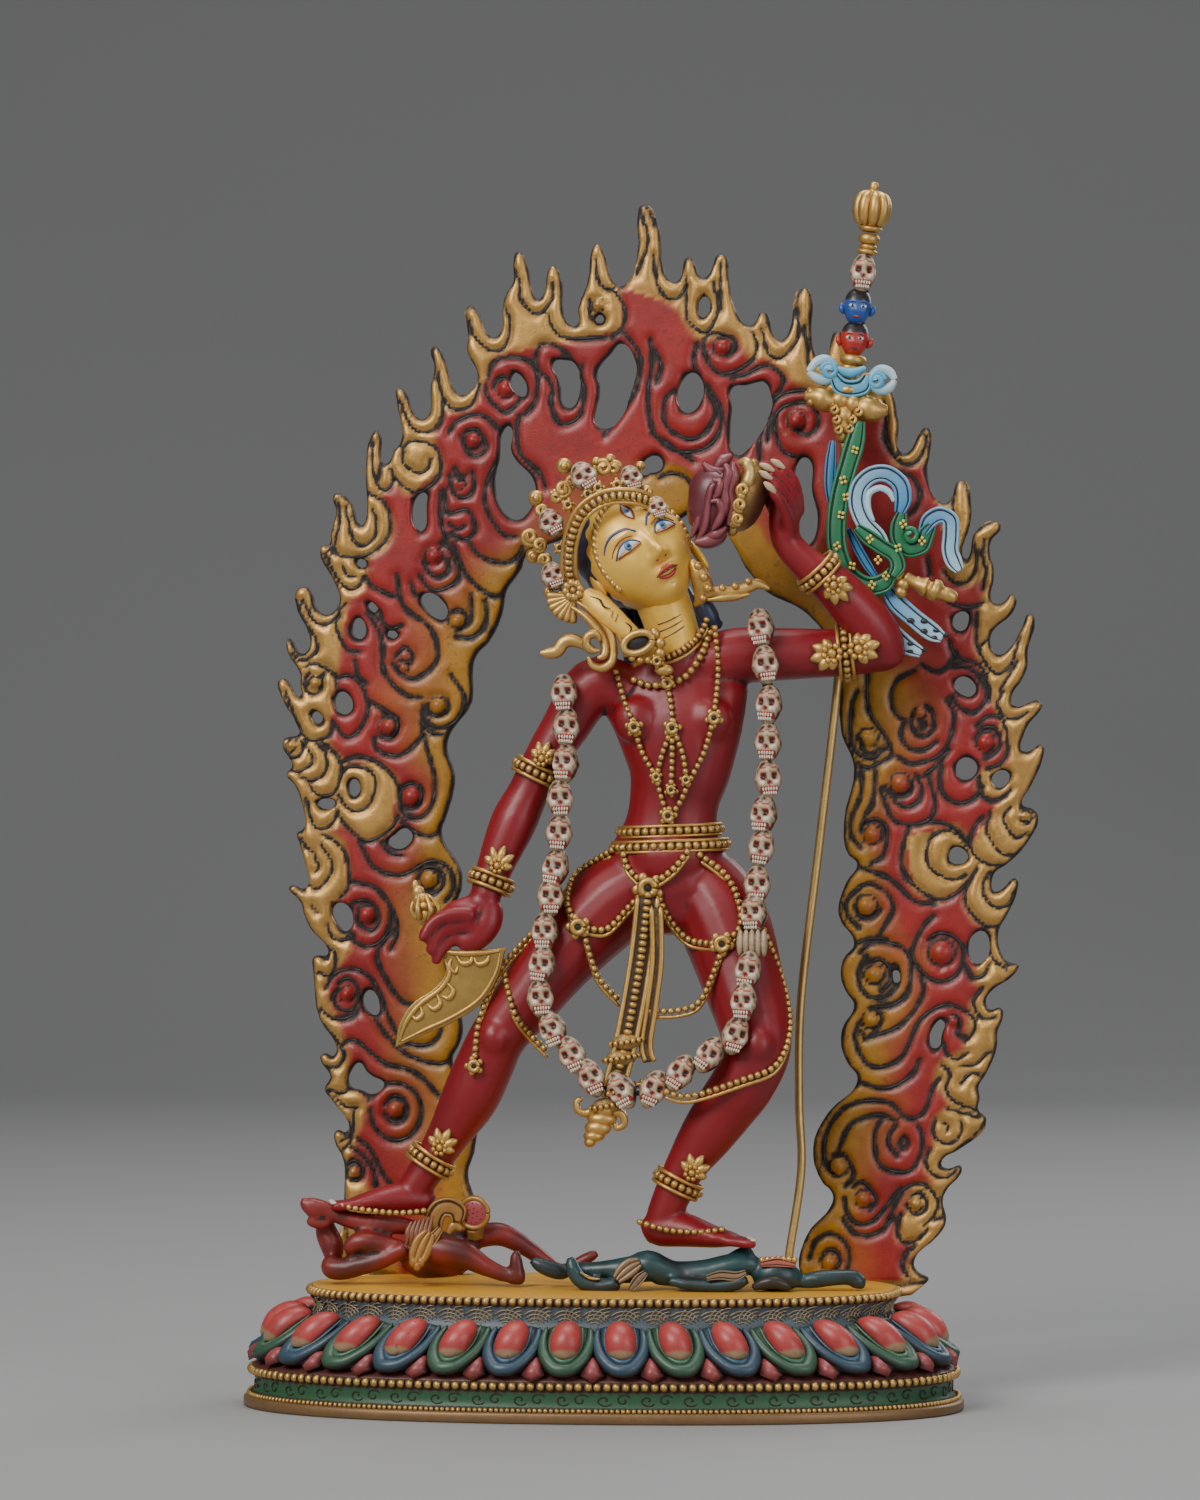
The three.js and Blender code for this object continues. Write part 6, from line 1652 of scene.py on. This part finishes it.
put(folds, limb(seen((734, 486, -10, 4, 5), (722, 494, -10.5, 9.6, 6), (712, 512, -11, 7.6, 5),
                     (706, 532, -11, 5, 3.4), (698, 542, -11, 1)), FOLD_MAROON, sides=20, rows=40))
for places, y_line, half in (
    ([(728, 468), (714, 472), (703, 463)], (-12, -13), 1.7),
    ([(716, 480), (710, 484), (703, 503), (698, 522), (691, 538)], (-15, -13), 1.35),
    ([(718, 483), (712, 488), (708, 506), (705, 526), (697, 541)], (-17, -14), 1.3),
    ([(694, 542), (706, 541), (718, 537), (726, 533)], (-14, -12), 2.3),
    ([(710, 502), (718, 501), (722, 511), (718, 522), (712, 530)], (-17.4, -16), 1.35),
    ([(724, 464), (729, 473), (725, 490), (726, 506), (721, 520)], (-18, -16), 1.7),
    ([(712, 480), (720, 482), (718, 493), (713, 498)], (-18, -17.6), 1.3),
    ([(733, 462), (734, 476), (731, 492), (732, 508), (728, 526)], (-17.6, -15), 1.9),
    ([(716, 470), (722, 474)], (-18, -18), 1.4),
    ([(727, 526), (716, 534), (704, 537)], (-15, -14), 1.8),
    ([(712, 489), (704, 510), (700, 530)], (-11, -11), 1.4),
    ([(732, 455), (722, 462), (714, 470)], (-10, -12), 2.2),
):
    strand(folds, places, y_line, half, fold_tint_with_highlight, 0.1)
piece("cup_folds", folds, painted("fold paint", grime_and_shade=(0.08, 0.006, 0.012), mottle=0.3, gloss=0.35),
      "painted_skin")

# Staff: a thin, slightly bent brass rod behind the goddess's arm, standing on the base, with a stacked
# finial: a ribbed ball, rings, a skull, a blue head, a red head, a tied cloth and a crossed gold ornament
# with a small pendant.
BRASS = (0.62, 0.43, 0.16, 1)
ROD = [(53.2, 10, 35.6), (53.7, 10.2, 43), (57.2, 11, 68), (56.5, 12, 88.5), (57, 12.6, 118),
       (62, 13.2, 162), (67.6, 13.4, 213), (68.6, 13.4, 245), (69.2, 13, 286)]
# The rod darkens towards its back: painted shade.
rod = shape_of(limb([(*place, 1.25) for place in ROD], BRASS, sides=14, rows=90,
                    dirt_and_shade=lambda share, front: 0.18 * (1 - front)))
piece("rod", rod, gilding, "brass_rod", "staff_rod")
HEAD_BLUE = (0.012, 0.07, 0.3, 0)
HEAD_RED = (0.4, 0.02, 0.012, 0)
LIP_DARK = (0.08, 0.004, 0.004, 0)
CLOTH_BLUE = (0.1, 0.38, 0.55, 0)
CLOTH_WHITE = (0.55, 0.66, 0.68, 0)
FINIAL_Y = 13
STACK_LEAN = Matrix.Rotation(0.122, 4, "Y")
HEAD_LEAN = Matrix.Rotation(0.1, 4, "Y")
finial = shape_of()


def stack(u, v, wide, tall):
    """One round member of the leaning stack; sizes are in steps of the front view."""
    put(finial, limb([(0, 0, -tall, wide * 0.55), (0, 0, -tall * 0.7, wide * 0.88), (0, 0, 0, wide),
                      (0, 0, tall * 0.7, wide * 0.88), (0, 0, tall, wide * 0.55)],
                     sides=16, rows=14, dirt_and_shade=0.2),
        Matrix.Translation(spot(u, v, FINIAL_Y)) @ STACK_LEAN @ Matrix.Scale(VIEW_STEP, 4))


for u, v, wide, tall in ((874, 187, 4.6, 5), (873, 193, 6.4, 3), (871, 224, 9, 3), (870.5, 229, 12, 3.4),
                         (869, 239, 11, 5.4), (868, 247, 9, 3), (867, 252, 10.4, 3), (853, 360, 13.6, 5.6),
                         (850, 368, 11, 4)):
    stack(u, v, wide, tall)
ball = spot(872, 209, FINIAL_Y)
RIB = ((1.2, 4.7, 0.9), (3.4, 3.2, 1.6), (4.1, 0, 1.7), (3.4, -3.2, 1.5), (2.4, -4.8, 0.8))
for k in range(8):
    angle = tau * k / 8 + 0.2
    across = Vector((cos(angle), sin(angle), 0))
    rib = [(*(across * out + Vector((0, 0, rise))), half) for out, rise, half in RIB]
    put(finial, limb(rib, rows=20, dirt_and_shade=0.1), Matrix.Translation(ball) @ STACK_LEAN)
# The ball's core, seen between the ribs, is dark with wash and painted shade.
put(finial, egg(*ball, 3.6, 3.6, 4.6, sides=12, dirt_and_shade=0.9))
put(finial, limb(seen((843, 442, 13, 1.9), (846, 405, 12, 3.2), (851, 364, 13, 2.4)), rows=20, dirt_and_shade=0.4))
for places, half in (([(842, 402), (828, 401), (818, 397), (804, 396)], 3.4),
                     ([(850, 405), (862, 407), (874, 410), (888, 410)], 3.6)):
    strand(finial, places, (9, 8.6), half, OLD_GOLD, 0.15)
for u, v, y, half_x, half_z in ((840, 400, 8, 3, 2.8), (853, 404, 7.6, 2.6, 2.8), (845, 416, 8, 3.4, 3.4),
                                (843, 426, 8, 3, 3.2), (842, 436, 8, 1.8, 2.2), (830, 404, 8.6, 2.6, 2.4),
                                (864, 405, 8.2, 2.2, 3.2), (836, 388, 9, 3.4, 2), (848, 390, 8.4, 3, 2),
                                (858, 393, 9, 3, 1.8), (820, 398, 8.4, 2.4, 2.6), (811, 392, 9, 1.4, 1.5),
                                (811, 402, 9, 1.4, 1.5), (876, 404, 8.8, 1.9, 1.6),
                                (876, 415, 8.8, 1.9, 1.6)):
    put(finial, egg(*spot(u, v, y), half_x, 2.4, half_z, sides=12, dirt_and_shade=0.15))
for u, v in ((838, 430), (849, 429), (836, 420), (852, 420), (834, 410), (858, 412)):
    scroll(finial, u, v, 5.4, 1.3, 1.1, 0.7, 1)
piece("finial_gold", finial, gilding, "gold_paint", "staff_finial")
heads = shape_of()
put(heads, skull, Matrix.Translation(spot(863, 273, FINIAL_Y - 0.5)) @ HEAD_LEAN
    @ Matrix.Rotation(0.1, 4, "Z") @ Matrix.Diagonal((0.9, 0.95, 1.18, 1)), keep=True)
put(heads, limb(seen((854, 356, FINIAL_Y, 2), (861, 300, FINIAL_Y, 2), (866, 256, FINIAL_Y, 1.8)), BLACK,
                sides=12, rows=20))


def small_head(u, v, tint, half_x, half_z):
    """A stacked severed head: black hair on top, eyes, brows, a nose, lips and ears."""
    middle = spot(u, v, FINIAL_Y)

    def form(way):
        x, z = half_x * copysign(abs(way.x) ** 0.8, way.x), half_z * copysign(abs(way.z) ** 0.85, way.z)
        x, y = x * (1 - 0.15 * max(0, -way.z)), half_x * 0.95 * way.y
        if way.y < 0:
            y -= 0.9 * hump(x / 0.7, (z + 1.2) / 1) + 0.3 * hump(x / 1.2, (z + 2.9) / 0.4) - 0.3 * hump(
                (abs(x) - 1.5) / 0.8, z / 0.6)
        return Vector((x, y, z))

    at = Matrix.Translation(middle) @ HEAD_LEAN @ Matrix.Rotation(0.05, 4, "Z")
    put(heads, sculpted(40, 28, form, lambda place: BLACK if place.z > half_z * 0.36 else tint, 0.1), at)
    deep = half_x * 0.95
    lips = LIP_RED if tint is HEAD_BLUE else LIP_DARK
    for side in (-1, 1):
        put(heads, egg(side * 1.7, -deep * 0.9, 0.1, 0.95, 0.4, 0.5, EYE_WHITE), at)
        put(heads, egg(side * 1.6, -deep * 0.9 - 0.3, 0.1, 0.42, 0.3, 0.42, BLACK), at)
        put(heads, limb([(side * 0.6, -deep * 0.97, 1, 0.12), (side * 1.6, -deep * 0.94, 1.3, 0.22),
                         (side * 2.6, -deep * 0.76, 0.9, 0.12)], BLACK, sides=6, rows=8), at)
        put(heads, limb([(side * (half_x - 0.3), 0, -2.4, 0.4), (side * (half_x + 0.5), -0.4, -1, 0.9, 0.6),
                         (side * (half_x + 0.9), 0, 0.8, 0.25)], tint, rows=10), at)
    put(heads, limb([(-0.9, -deep * 0.9, -2.9, 0.15), (0, -deep * 0.98, -3, 0.36),
                     (0.9, -deep * 0.9, -2.9, 0.15)], lips, sides=6, rows=8), at)


small_head(857.5, 307, HEAD_BLUE, 4, 5.4)
small_head(854.5, 339, HEAD_RED, 4.1, 5.2)
piece("finial_heads", heads, bone_paint, "painted_bone")

# Staff ribbons: flat painted bands cast with the finial's cloth. A green one with yellow dots hangs and
# loops, a blue and white one curls beside it, two spotted tails and a small gold ornament hang at the side.
GREEN = (0.006, 0.16, 0.06, 0)
DOT_YELLOW = (0.75, 0.55, 0.1, 0)
SKY_BLUE = (0.03, 0.22, 0.46, 0)
PALE_BLUE = (0.4, 0.62, 0.72, 0)
ribbons = shape_of()


def sash(shape, places, y_line, half, tint, strands=2, deep=0.9, dirt_and_shade=0.25):
    """A painted band along front view places: one flat scarf with two hems, or side by side rolls."""
    count = len(places)
    line = [spot(u, v, y_line[0] + (y_line[1] - y_line[0]) * k / (count - 1))
            for k, (u, v) in enumerate(places)]

    def course(aside, wide, thick, lift, colour, wash_and_shade):
        made = []
        for k, place in enumerate(line):
            way = line[min(count - 1, k + 1)] - line[max(0, k - 1)]
            side = Vector((way.z, 0, -way.x)).normalized()
            end = 0.55 if k in (0, count - 1) else 1
            made.append((*(place + side * aside * end - Vector((0, lift, 0))), wide * end, thick))
        put(shape, limb(made, colour, sides=10, rows=7 * count, dirt_and_shade=wash_and_shade))

    if strands == 2:
        course(0, half * 1.7, deep * 0.75, 0, tint, dirt_and_shade)
        for side in (-1, 1):
            course(side * half * 1.38, half * 0.34, deep * 0.8, 0.3, tint, 0.05)
            course(side * half * 0.95, 0.2, deep * 0.5, deep * 0.42, BLACK, 1)
    else:
        for n in range(strands):
            course((n - (strands - 1) / 2) * half * 1.8, half, deep, 0, tint, dirt_and_shade)
        course(0, half * strands * 0.75, deep * 0.7, -0.5, BLACK, 0.8)


def fade(first, last):
    """A tint that changes along a strand."""
    return lambda share, front: mix(first, last, share)


scroll(ribbons, 910, 536, 2.6, 2.4, 1.2, 0.9, 1, GREEN)
for places, y_line, half, tint, strands, deep in (
    ([(833, 440), (831, 462), (830, 484), (831, 504)], (9, 8), 1, SKY_BLUE, 2, 0.9),
    ([(848, 528), (856, 545), (868, 566), (878, 580)], (9, 8), 0.8, SKY_BLUE, 2, 0.9),
    ([(860, 420), (855, 442), (848, 466), (840, 495), (836, 525), (838, 552), (848, 574), (866, 586),
      (884, 583), (893, 571)],
     (6, 3), 1.7, GREEN, 2, 1.2),
    ([(856, 527), (868, 537), (882, 547), (894, 555), (898, 567), (892, 577)], (3.4, 1.8), 1.35, GREEN, 2,
     1.2),
    ([(889, 556), (878, 538), (864, 522), (857, 503), (860, 486), (872, 475), (887, 474), (900, 484),
      (903, 500), (899, 514)],
     (4.4, 4), 1.5, fade(PALE_BLUE, SKY_BLUE), 2, 1.2),
    ([(874, 522), (868, 508), (869, 494), (879, 488), (889, 492), (894, 502)], (3.6, 3.6), 1, PALE_BLUE, 1,
     0.9),
    ([(902, 512), (899, 526), (900, 540), (909, 549), (921, 546), (926, 534), (932, 525)], (4, 4), 1.5,
     GREEN, 2, 1.2),
    ([(922, 534), (929, 521), (940, 515), (950, 520), (951, 535), (950, 550), (954, 562), (960, 571)],
     (4, 4), 1.45, fade(SKY_BLUE, PALE_BLUE), 2, 1.2),
):
    sash(ribbons, places, y_line, half, tint, strands, deep)
for places in ([(884, 586), (897, 603), (914, 618), (932, 632), (943, 638)],
               [(864, 592), (876, 610), (890, 630), (906, 645), (922, 653)]):
    sash(ribbons, places, (6, 4), 1.6, fade(SKY_BLUE, PALE_BLUE), deep=1.1)
    for k in range(6):
        share = 0.5 + 0.09 * k
        at = flow([Vector((u, v)) for u, v in places], share)
        put(ribbons, egg(*spot(at.x + (3.4 if k % 2 else -3.4), at.y - (2.4 if k % 2 else -2.4), 3.7), 1.1,
                         0.5, 0.75, BLACK))
for u, v, y in ((855, 450, 4.2), (843, 480, 3.6), (841, 515, 3.2), (837, 546, 2.6), (870, 539, 2),
                (852, 566, 2), (878, 560, 1.4), (898, 548, 1.6), (872, 585, 1.8), (922, 541, 2.6),
                (903, 524, 2.8), (886, 576, 1.6), (846, 497, 3.6)):
    for k in range(4):
        angle = tau * k / 4 + u
        put(ribbons, egg(*(spot(u, v, y) + Vector((0.75 * cos(angle), 0, 0.9 * sin(angle)))), 0.5, 0.45,
                         0.5, DOT_YELLOW))
# The cloth tied below the red head: a bowed middle between two rolled ends.
sash(ribbons, [(834, 376), (840, 386), (851, 389), (863, 386), (868, 376)], (7.6, 7.6), 1.5, CLOTH_BLUE,
     deep=1.6)
sash(ribbons, [(836, 368), (850, 373), (866, 368)], (8, 8), 1.5, CLOTH_BLUE, strands=1, deep=1.6)
for u, v, way, tip in ((829, 371, 1, (808, 372)), (877, 381, -1, (895, 380))):
    scroll(ribbons, u, v, 7, 2.5, 1.5 * way, 1, 1.6 - 1.6 * way, CLOTH_BLUE)
    for rises in ((-9, -11, -4), (7, 9, 4)):
        places = [tip] + [(u + aside * way, v + rise) for aside, rise in zip((-12, -2, 8), rises)]
        sash(ribbons, places, (8, 7.6), 1.5, fade(CLOTH_WHITE, CLOTH_BLUE), strands=1, deep=1.5)
ribbon_paint = painted("ribbon paint", grime_and_shade=(0.012, 0.014, 0.014), mottle=0.25, gloss=0.4)
piece("staff_ribbons", ribbons, ribbon_paint, "painted_ribbon", "staff_ribbon")
charm = shape_of()
knobs(charm, ((897, 574, 2.2), (903, 584, 2), (901, 592, 1.8), (918, 582, 1.7), (908, 578, 1.5),
              (951, 596, 1.9)), 3.4, 0.9, 0.15)
CHARM = ((904, 576, 1.6), (916, 583, 1.9), (925, 587, 3), (928, 588, 2.2), (932, 590, 3.2), (937, 591, 3.4),
         (942, 593, 2.2), (948, 595, 2.2), (955, 598, 1.6), (957, 599, 0.4))
put(charm, limb([(*spot(u, v, 3.4), half) for u, v, half in CHARM], sides=14, rows=60, dirt_and_shade=0.15))
piece("ribbon_charm", charm, gilding, "gold_paint")

# Red trampled figure: a small crouched body under the right foot, its limbs folded, with a striped
# loincloth and a round gold-rimmed shield. Modelled and cast like the goddess, and painted a browner red.
FALLEN_RED = (0.2, 0.016, 0.011, 0)
FALLEN_DEEP = (0.08, 0.008, 0.006, 0)
LOIN_BROWN = (0.2, 0.06, 0.02, 0.2)
LOIN_OCHRE = (0.34, 0.16, 0.03, 0.3)
SHIELD_PINK = (0.3, 0.03, 0.035, 0)


def through(places, y_line, halves):
    """A round limb through front view places; its half widths are in steps of the front view."""
    count = len(places)
    return limb([(*spot(u, v, y_line[0] + (y_line[1] - y_line[0]) * k / (count - 1)), half * VIEW_STEP)
                 for k, ((u, v), half) in enumerate(zip(places, halves))], FALLEN_RED, sides=14,
                rows=6 * count)


# Darker towards the bottom, where the figure lies on the base: painted shade; the clouding is the paint's
# own.
def fallen_red_tint(place):
    return mix(FALLEN_RED, FALLEN_DEEP, 0.5 + 1.6 * noise.noise(place * 0.11) + (40 - place.z) * 0.05)


red_parts = [
    through([(420, 1228), (404, 1226), (388, 1224), (360, 1222), (336, 1215), (322, 1207), (308, 1202)],
            (-3, -4), (6, 9, 10, 9.6, 8, 7.4, 6)),
    through([(326, 1214), (316, 1211), (308, 1208), (304, 1202), (307, 1198)], (-4, -4), (4, 7, 6, 5, 2)),
    through([(330, 1222), (320, 1224), (311, 1222), (308, 1218)], (-4, -4), (4, 5.5, 5, 3)),
    through([(326, 1214), (326, 1230), (332, 1246), (334, 1262)], (3, 1), (6, 11, 12, 8)),
    through([(345, 1252), (356, 1243), (369, 1242), (386, 1245), (404, 1248)], (-7, -6), (6, 10, 11, 9, 8)),
    through([(334, 1256), (331, 1266), (340, 1269), (358, 1266), (378, 1261), (396, 1253), (408, 1247)],
            (-4, -8), (6, 11, 11.6, 10.6, 9.6, 9, 8)),
    through([(400, 1262), (414, 1258), (440, 1256), (462, 1256), (478, 1260)], (-2, -2),
            (8, 20, 22, 19, 8)),
    through([(418, 1232), (430, 1244), (450, 1246), (470, 1240)], (0, 0), (6, 14, 15, 12)),
    through([(426, 1250), (440, 1250), (462, 1254), (484, 1266), (500, 1273), (512, 1277)], (-8, -10),
            (12, 15, 14, 10, 8, 6.5)),
    through([(518, 1250), (516, 1257), (517, 1268), (519, 1278), (516, 1282)], (-10, -10), (3, 6, 7, 7, 5)),
    through([(505, 1272), (512, 1278), (520, 1280)], (-10, -10), (5, 6.5, 5)),
    through([(458, 1244), (476, 1237), (498, 1234), (514, 1240), (530, 1250), (544, 1260), (556, 1268)],
            (0, 0), (10, 12, 12, 10.6, 9, 8, 6)),
    through([(548, 1264), (562, 1270), (576, 1265), (588, 1258), (598, 1252)], (0, 0), (6, 6.4, 7, 6.4, 4)),
]
# Its wash also grows towards the bottom, where it lies on the base: painted shade.
fallen = fused("fallen", red_parts, 0.8, 4, fallen_red_tint,
               lambda place: 0.2 + 0.5 * max(0, (41 - place.z) / 8))
fallen_paint = painted("brown red lacquer", grime_and_shade=(0.02, 0.006, 0.004), mottle=0.45, gloss=0.1)
piece("fallen_red_body", fallen, fallen_paint, "painted_red_figure", "trampled_figure_red")
dress = shape_of()
for k in range(6):
    u = 412 + 4.2 * k
    strand(dress, [(u, 1221 - 1.2 * k), (u - 4, 1230), (u - 5, 1238), (u - 6, 1246)], (-10.4, -11.4), 0.8,
           LOIN_BROWN, 0.3)
sash(dress, [(430, 1232), (424, 1242), (419, 1254), (415, 1264)], (-11.4, -12.4), 1.1, LOIN_OCHRE,
     strands=3)
sash(dress, [(441, 1228), (432, 1240), (427, 1250)], (-10.4, -11.6), 1, LOIN_OCHRE)
for u, v in ((413, 1262), (417, 1266), (421, 1262)):
    put(dress, egg(*spot(u, v, -12.4), 1.2, 0.9, 1.5, LOIN_OCHRE, dirt_and_shade=0.3))
sash(dress, [(436, 1232), (434, 1220), (440, 1209), (450, 1207), (458, 1212), (458, 1222)], (-6, -6), 1.7,
     LOIN_OCHRE, deep=1.6)
sash(dress, [(448, 1234), (454, 1226), (462, 1230)], (-6, -6), 1.6, LOIN_OCHRE, strands=1)
shield = spot(474, 1213, -6)
lean = Matrix.Translation(shield) @ Matrix.Rotation(-0.25, 4, "Z") @ Matrix.Rotation(pi / 2, 4, "X")
put(dress, limb([(4.3 * cos(a), 4.3 * sin(a), 0, 0.85) for a in circle(20)], LOIN_OCHRE, rows=100,
                deep=(0, 0, 1), dirt_and_shade=0.2), lean)
put(dress, limb([(0, 0, -2, 3.4), (0, 0, -1.6, 4.4), (0, 0, 0.2, 3.9), (0, 0, 0.7, 2.4), (0, 0, 0.8, 0.3)],
                SHIELD_PINK, sides=20, rows=20), lean)
for ring_size, count in ((0, 1), (1.4, 6), (2.8, 11)):
    for k in range(count):
        angle = tau * k / count + ring_size
        put(dress, egg(ring_size * cos(angle), ring_size * sin(angle), 0.72 - 0.05 * ring_size ** 1.6, 0.3,
                       0.3, 0.3, BLACK, sides=6), lean)
put(dress, limb(seen((474, 1226, -4, 2.6), (476, 1236, -2, 3)), LOIN_OCHRE, rows=8, dirt_and_shade=0.5))
piece("fallen_red_dress", dress, painted("cloth paint", grime_and_shade=(0.03, 0.01, 0.005), mottle=0.4, gloss=0.45),
      "painted_red_figure")

# Blue trampled figure: a thin body lying on its back under the left foot, one arm stretched out, with a
# gold and white hip cloth and a small crown on dark hair. Painted teal over black.
FALLEN_BLUE = (0.01, 0.05, 0.055, 0)
FALLEN_BLUE_DEEP = (0.006, 0.022, 0.026, 0)
CLOTH_CREAM = (0.26, 0.17, 0.09, 0.2)
CLOTH_ROSE = (0.42, 0.12, 0.08, 0.1)


# Darker towards the bottom, where the figure lies on the base: painted shade; the clouding is the paint's
# own.
def fallen_blue_tint(place):
    return mix(FALLEN_BLUE, FALLEN_BLUE_DEEP, 0.45 + 1.8 * noise.noise(place * 0.13) + (39 - place.z)
               * 0.06)


blue_parts = [
    through([(531, 1259), (538, 1264), (550, 1269), (562, 1272), (572, 1270)], (-12, -11),
            (3.5, 7, 8.6, 8, 5)),
    through([(572, 1256), (572, 1266), (578, 1278), (590, 1285), (606, 1286), (620, 1282)], (-17, -18),
            (4, 7, 8, 8, 8, 7)),
    through([(566, 1268), (580, 1270), (600, 1270), (624, 1268), (640, 1264)], (-11, -14),
            (6, 8, 9, 11, 10)),
    through([(618, 1276), (634, 1270), (648, 1266), (664, 1270), (682, 1275)], (-14, -15),
            (8, 14, 16, 13, 10)),
    through([(654, 1272), (680, 1274), (706, 1273), (728, 1268), (746, 1264), (760, 1266)], (-14, -14),
            (13, 13, 14, 14, 12, 7)),
    through([(730, 1262), (742, 1256), (752, 1250)], (-14, -12), (8, 9, 6)),
    through([(668, 1280), (684, 1284), (702, 1286), (720, 1286), (736, 1284), (748, 1278)], (-20, -20),
            (4, 6, 6.6, 7, 7, 5)),
    through([(752, 1276), (764, 1275), (776, 1275), (790, 1277), (800, 1278)], (-14, -14),
            (8, 15, 17, 14, 7)),
    through([(796, 1282), (812, 1280), (828, 1278), (846, 1277), (858, 1278)], (-13, -12),
            (6, 8.6, 8.6, 8, 8)), through([(852, 1276), (858, 1282), (858, 1289)], (-12, -12), (7, 8.6, 6)),
]
# Its wash also grows towards the bottom, where it lies on the base: painted shade.
fallen = fused("fallen", blue_parts, 0.8, 3, fallen_blue_tint,
               lambda place: 0.3 + 0.5 * max(0, (40 - place.z) / 7))
piece("fallen_blue_body", fallen, painted("teal lacquer", grime_and_shade=(0.008, 0.01, 0.01), mottle=0.5,
                                          gloss=0.35), "painted_blue_figure", "trampled_figure_blue")
dress = shape_of()
sash(dress, [(640, 1262), (632, 1266), (624, 1272), (616, 1280)], (-19.4, -20.4), 0.9, CLOTH_CREAM,
     strands=3, dirt_and_shade=0.4)
sash(dress, [(646, 1272), (638, 1280), (630, 1290)], (-20, -20.6), 0.9, CLOTH_CREAM, strands=2, dirt_and_shade=0.5)
sash(dress, [(706, 1278), (720, 1275), (736, 1276), (746, 1272)], (-22, -20), 0.8, CLOTH_CREAM, dirt_and_shade=0.3)
FALLEN_HAIR = ((752, 1288, 3), (762, 1284, 6), (774, 1282, 7), (786, 1286, 5), (790, 1290, 2))
fallen_hair = [(*spot(u, v, -18.8), half * VIEW_STEP) for u, v, half in FALLEN_HAIR]
put(dress, limb(fallen_hair, FALLEN_BLUE_DEEP, sides=10, rows=20, dirt_and_shade=0.8))
for k in range(7):
    put(dress, egg(*spot(762 + 5.4 * k, 1260 - 1.2 * sin(k * 0.5), -17.4), 0.95, 0.9, 0.95, dirt_and_shade=0.2))
sash(dress, [(760, 1264), (778, 1262), (796, 1265)], (-18, -17), 0.8, CLOTH_ROSE)
sash(dress, [(580, 1272), (590, 1278), (600, 1279)], (-19.6, -19.6), 0.5, OLD_GOLD, strands=1)
piece("fallen_blue_dress", dress, painted("cloth paint blue", grime_and_shade=(0.02, 0.012, 0.008), mottle=0.4,
                                          gloss=0.45), "painted_blue_figure")
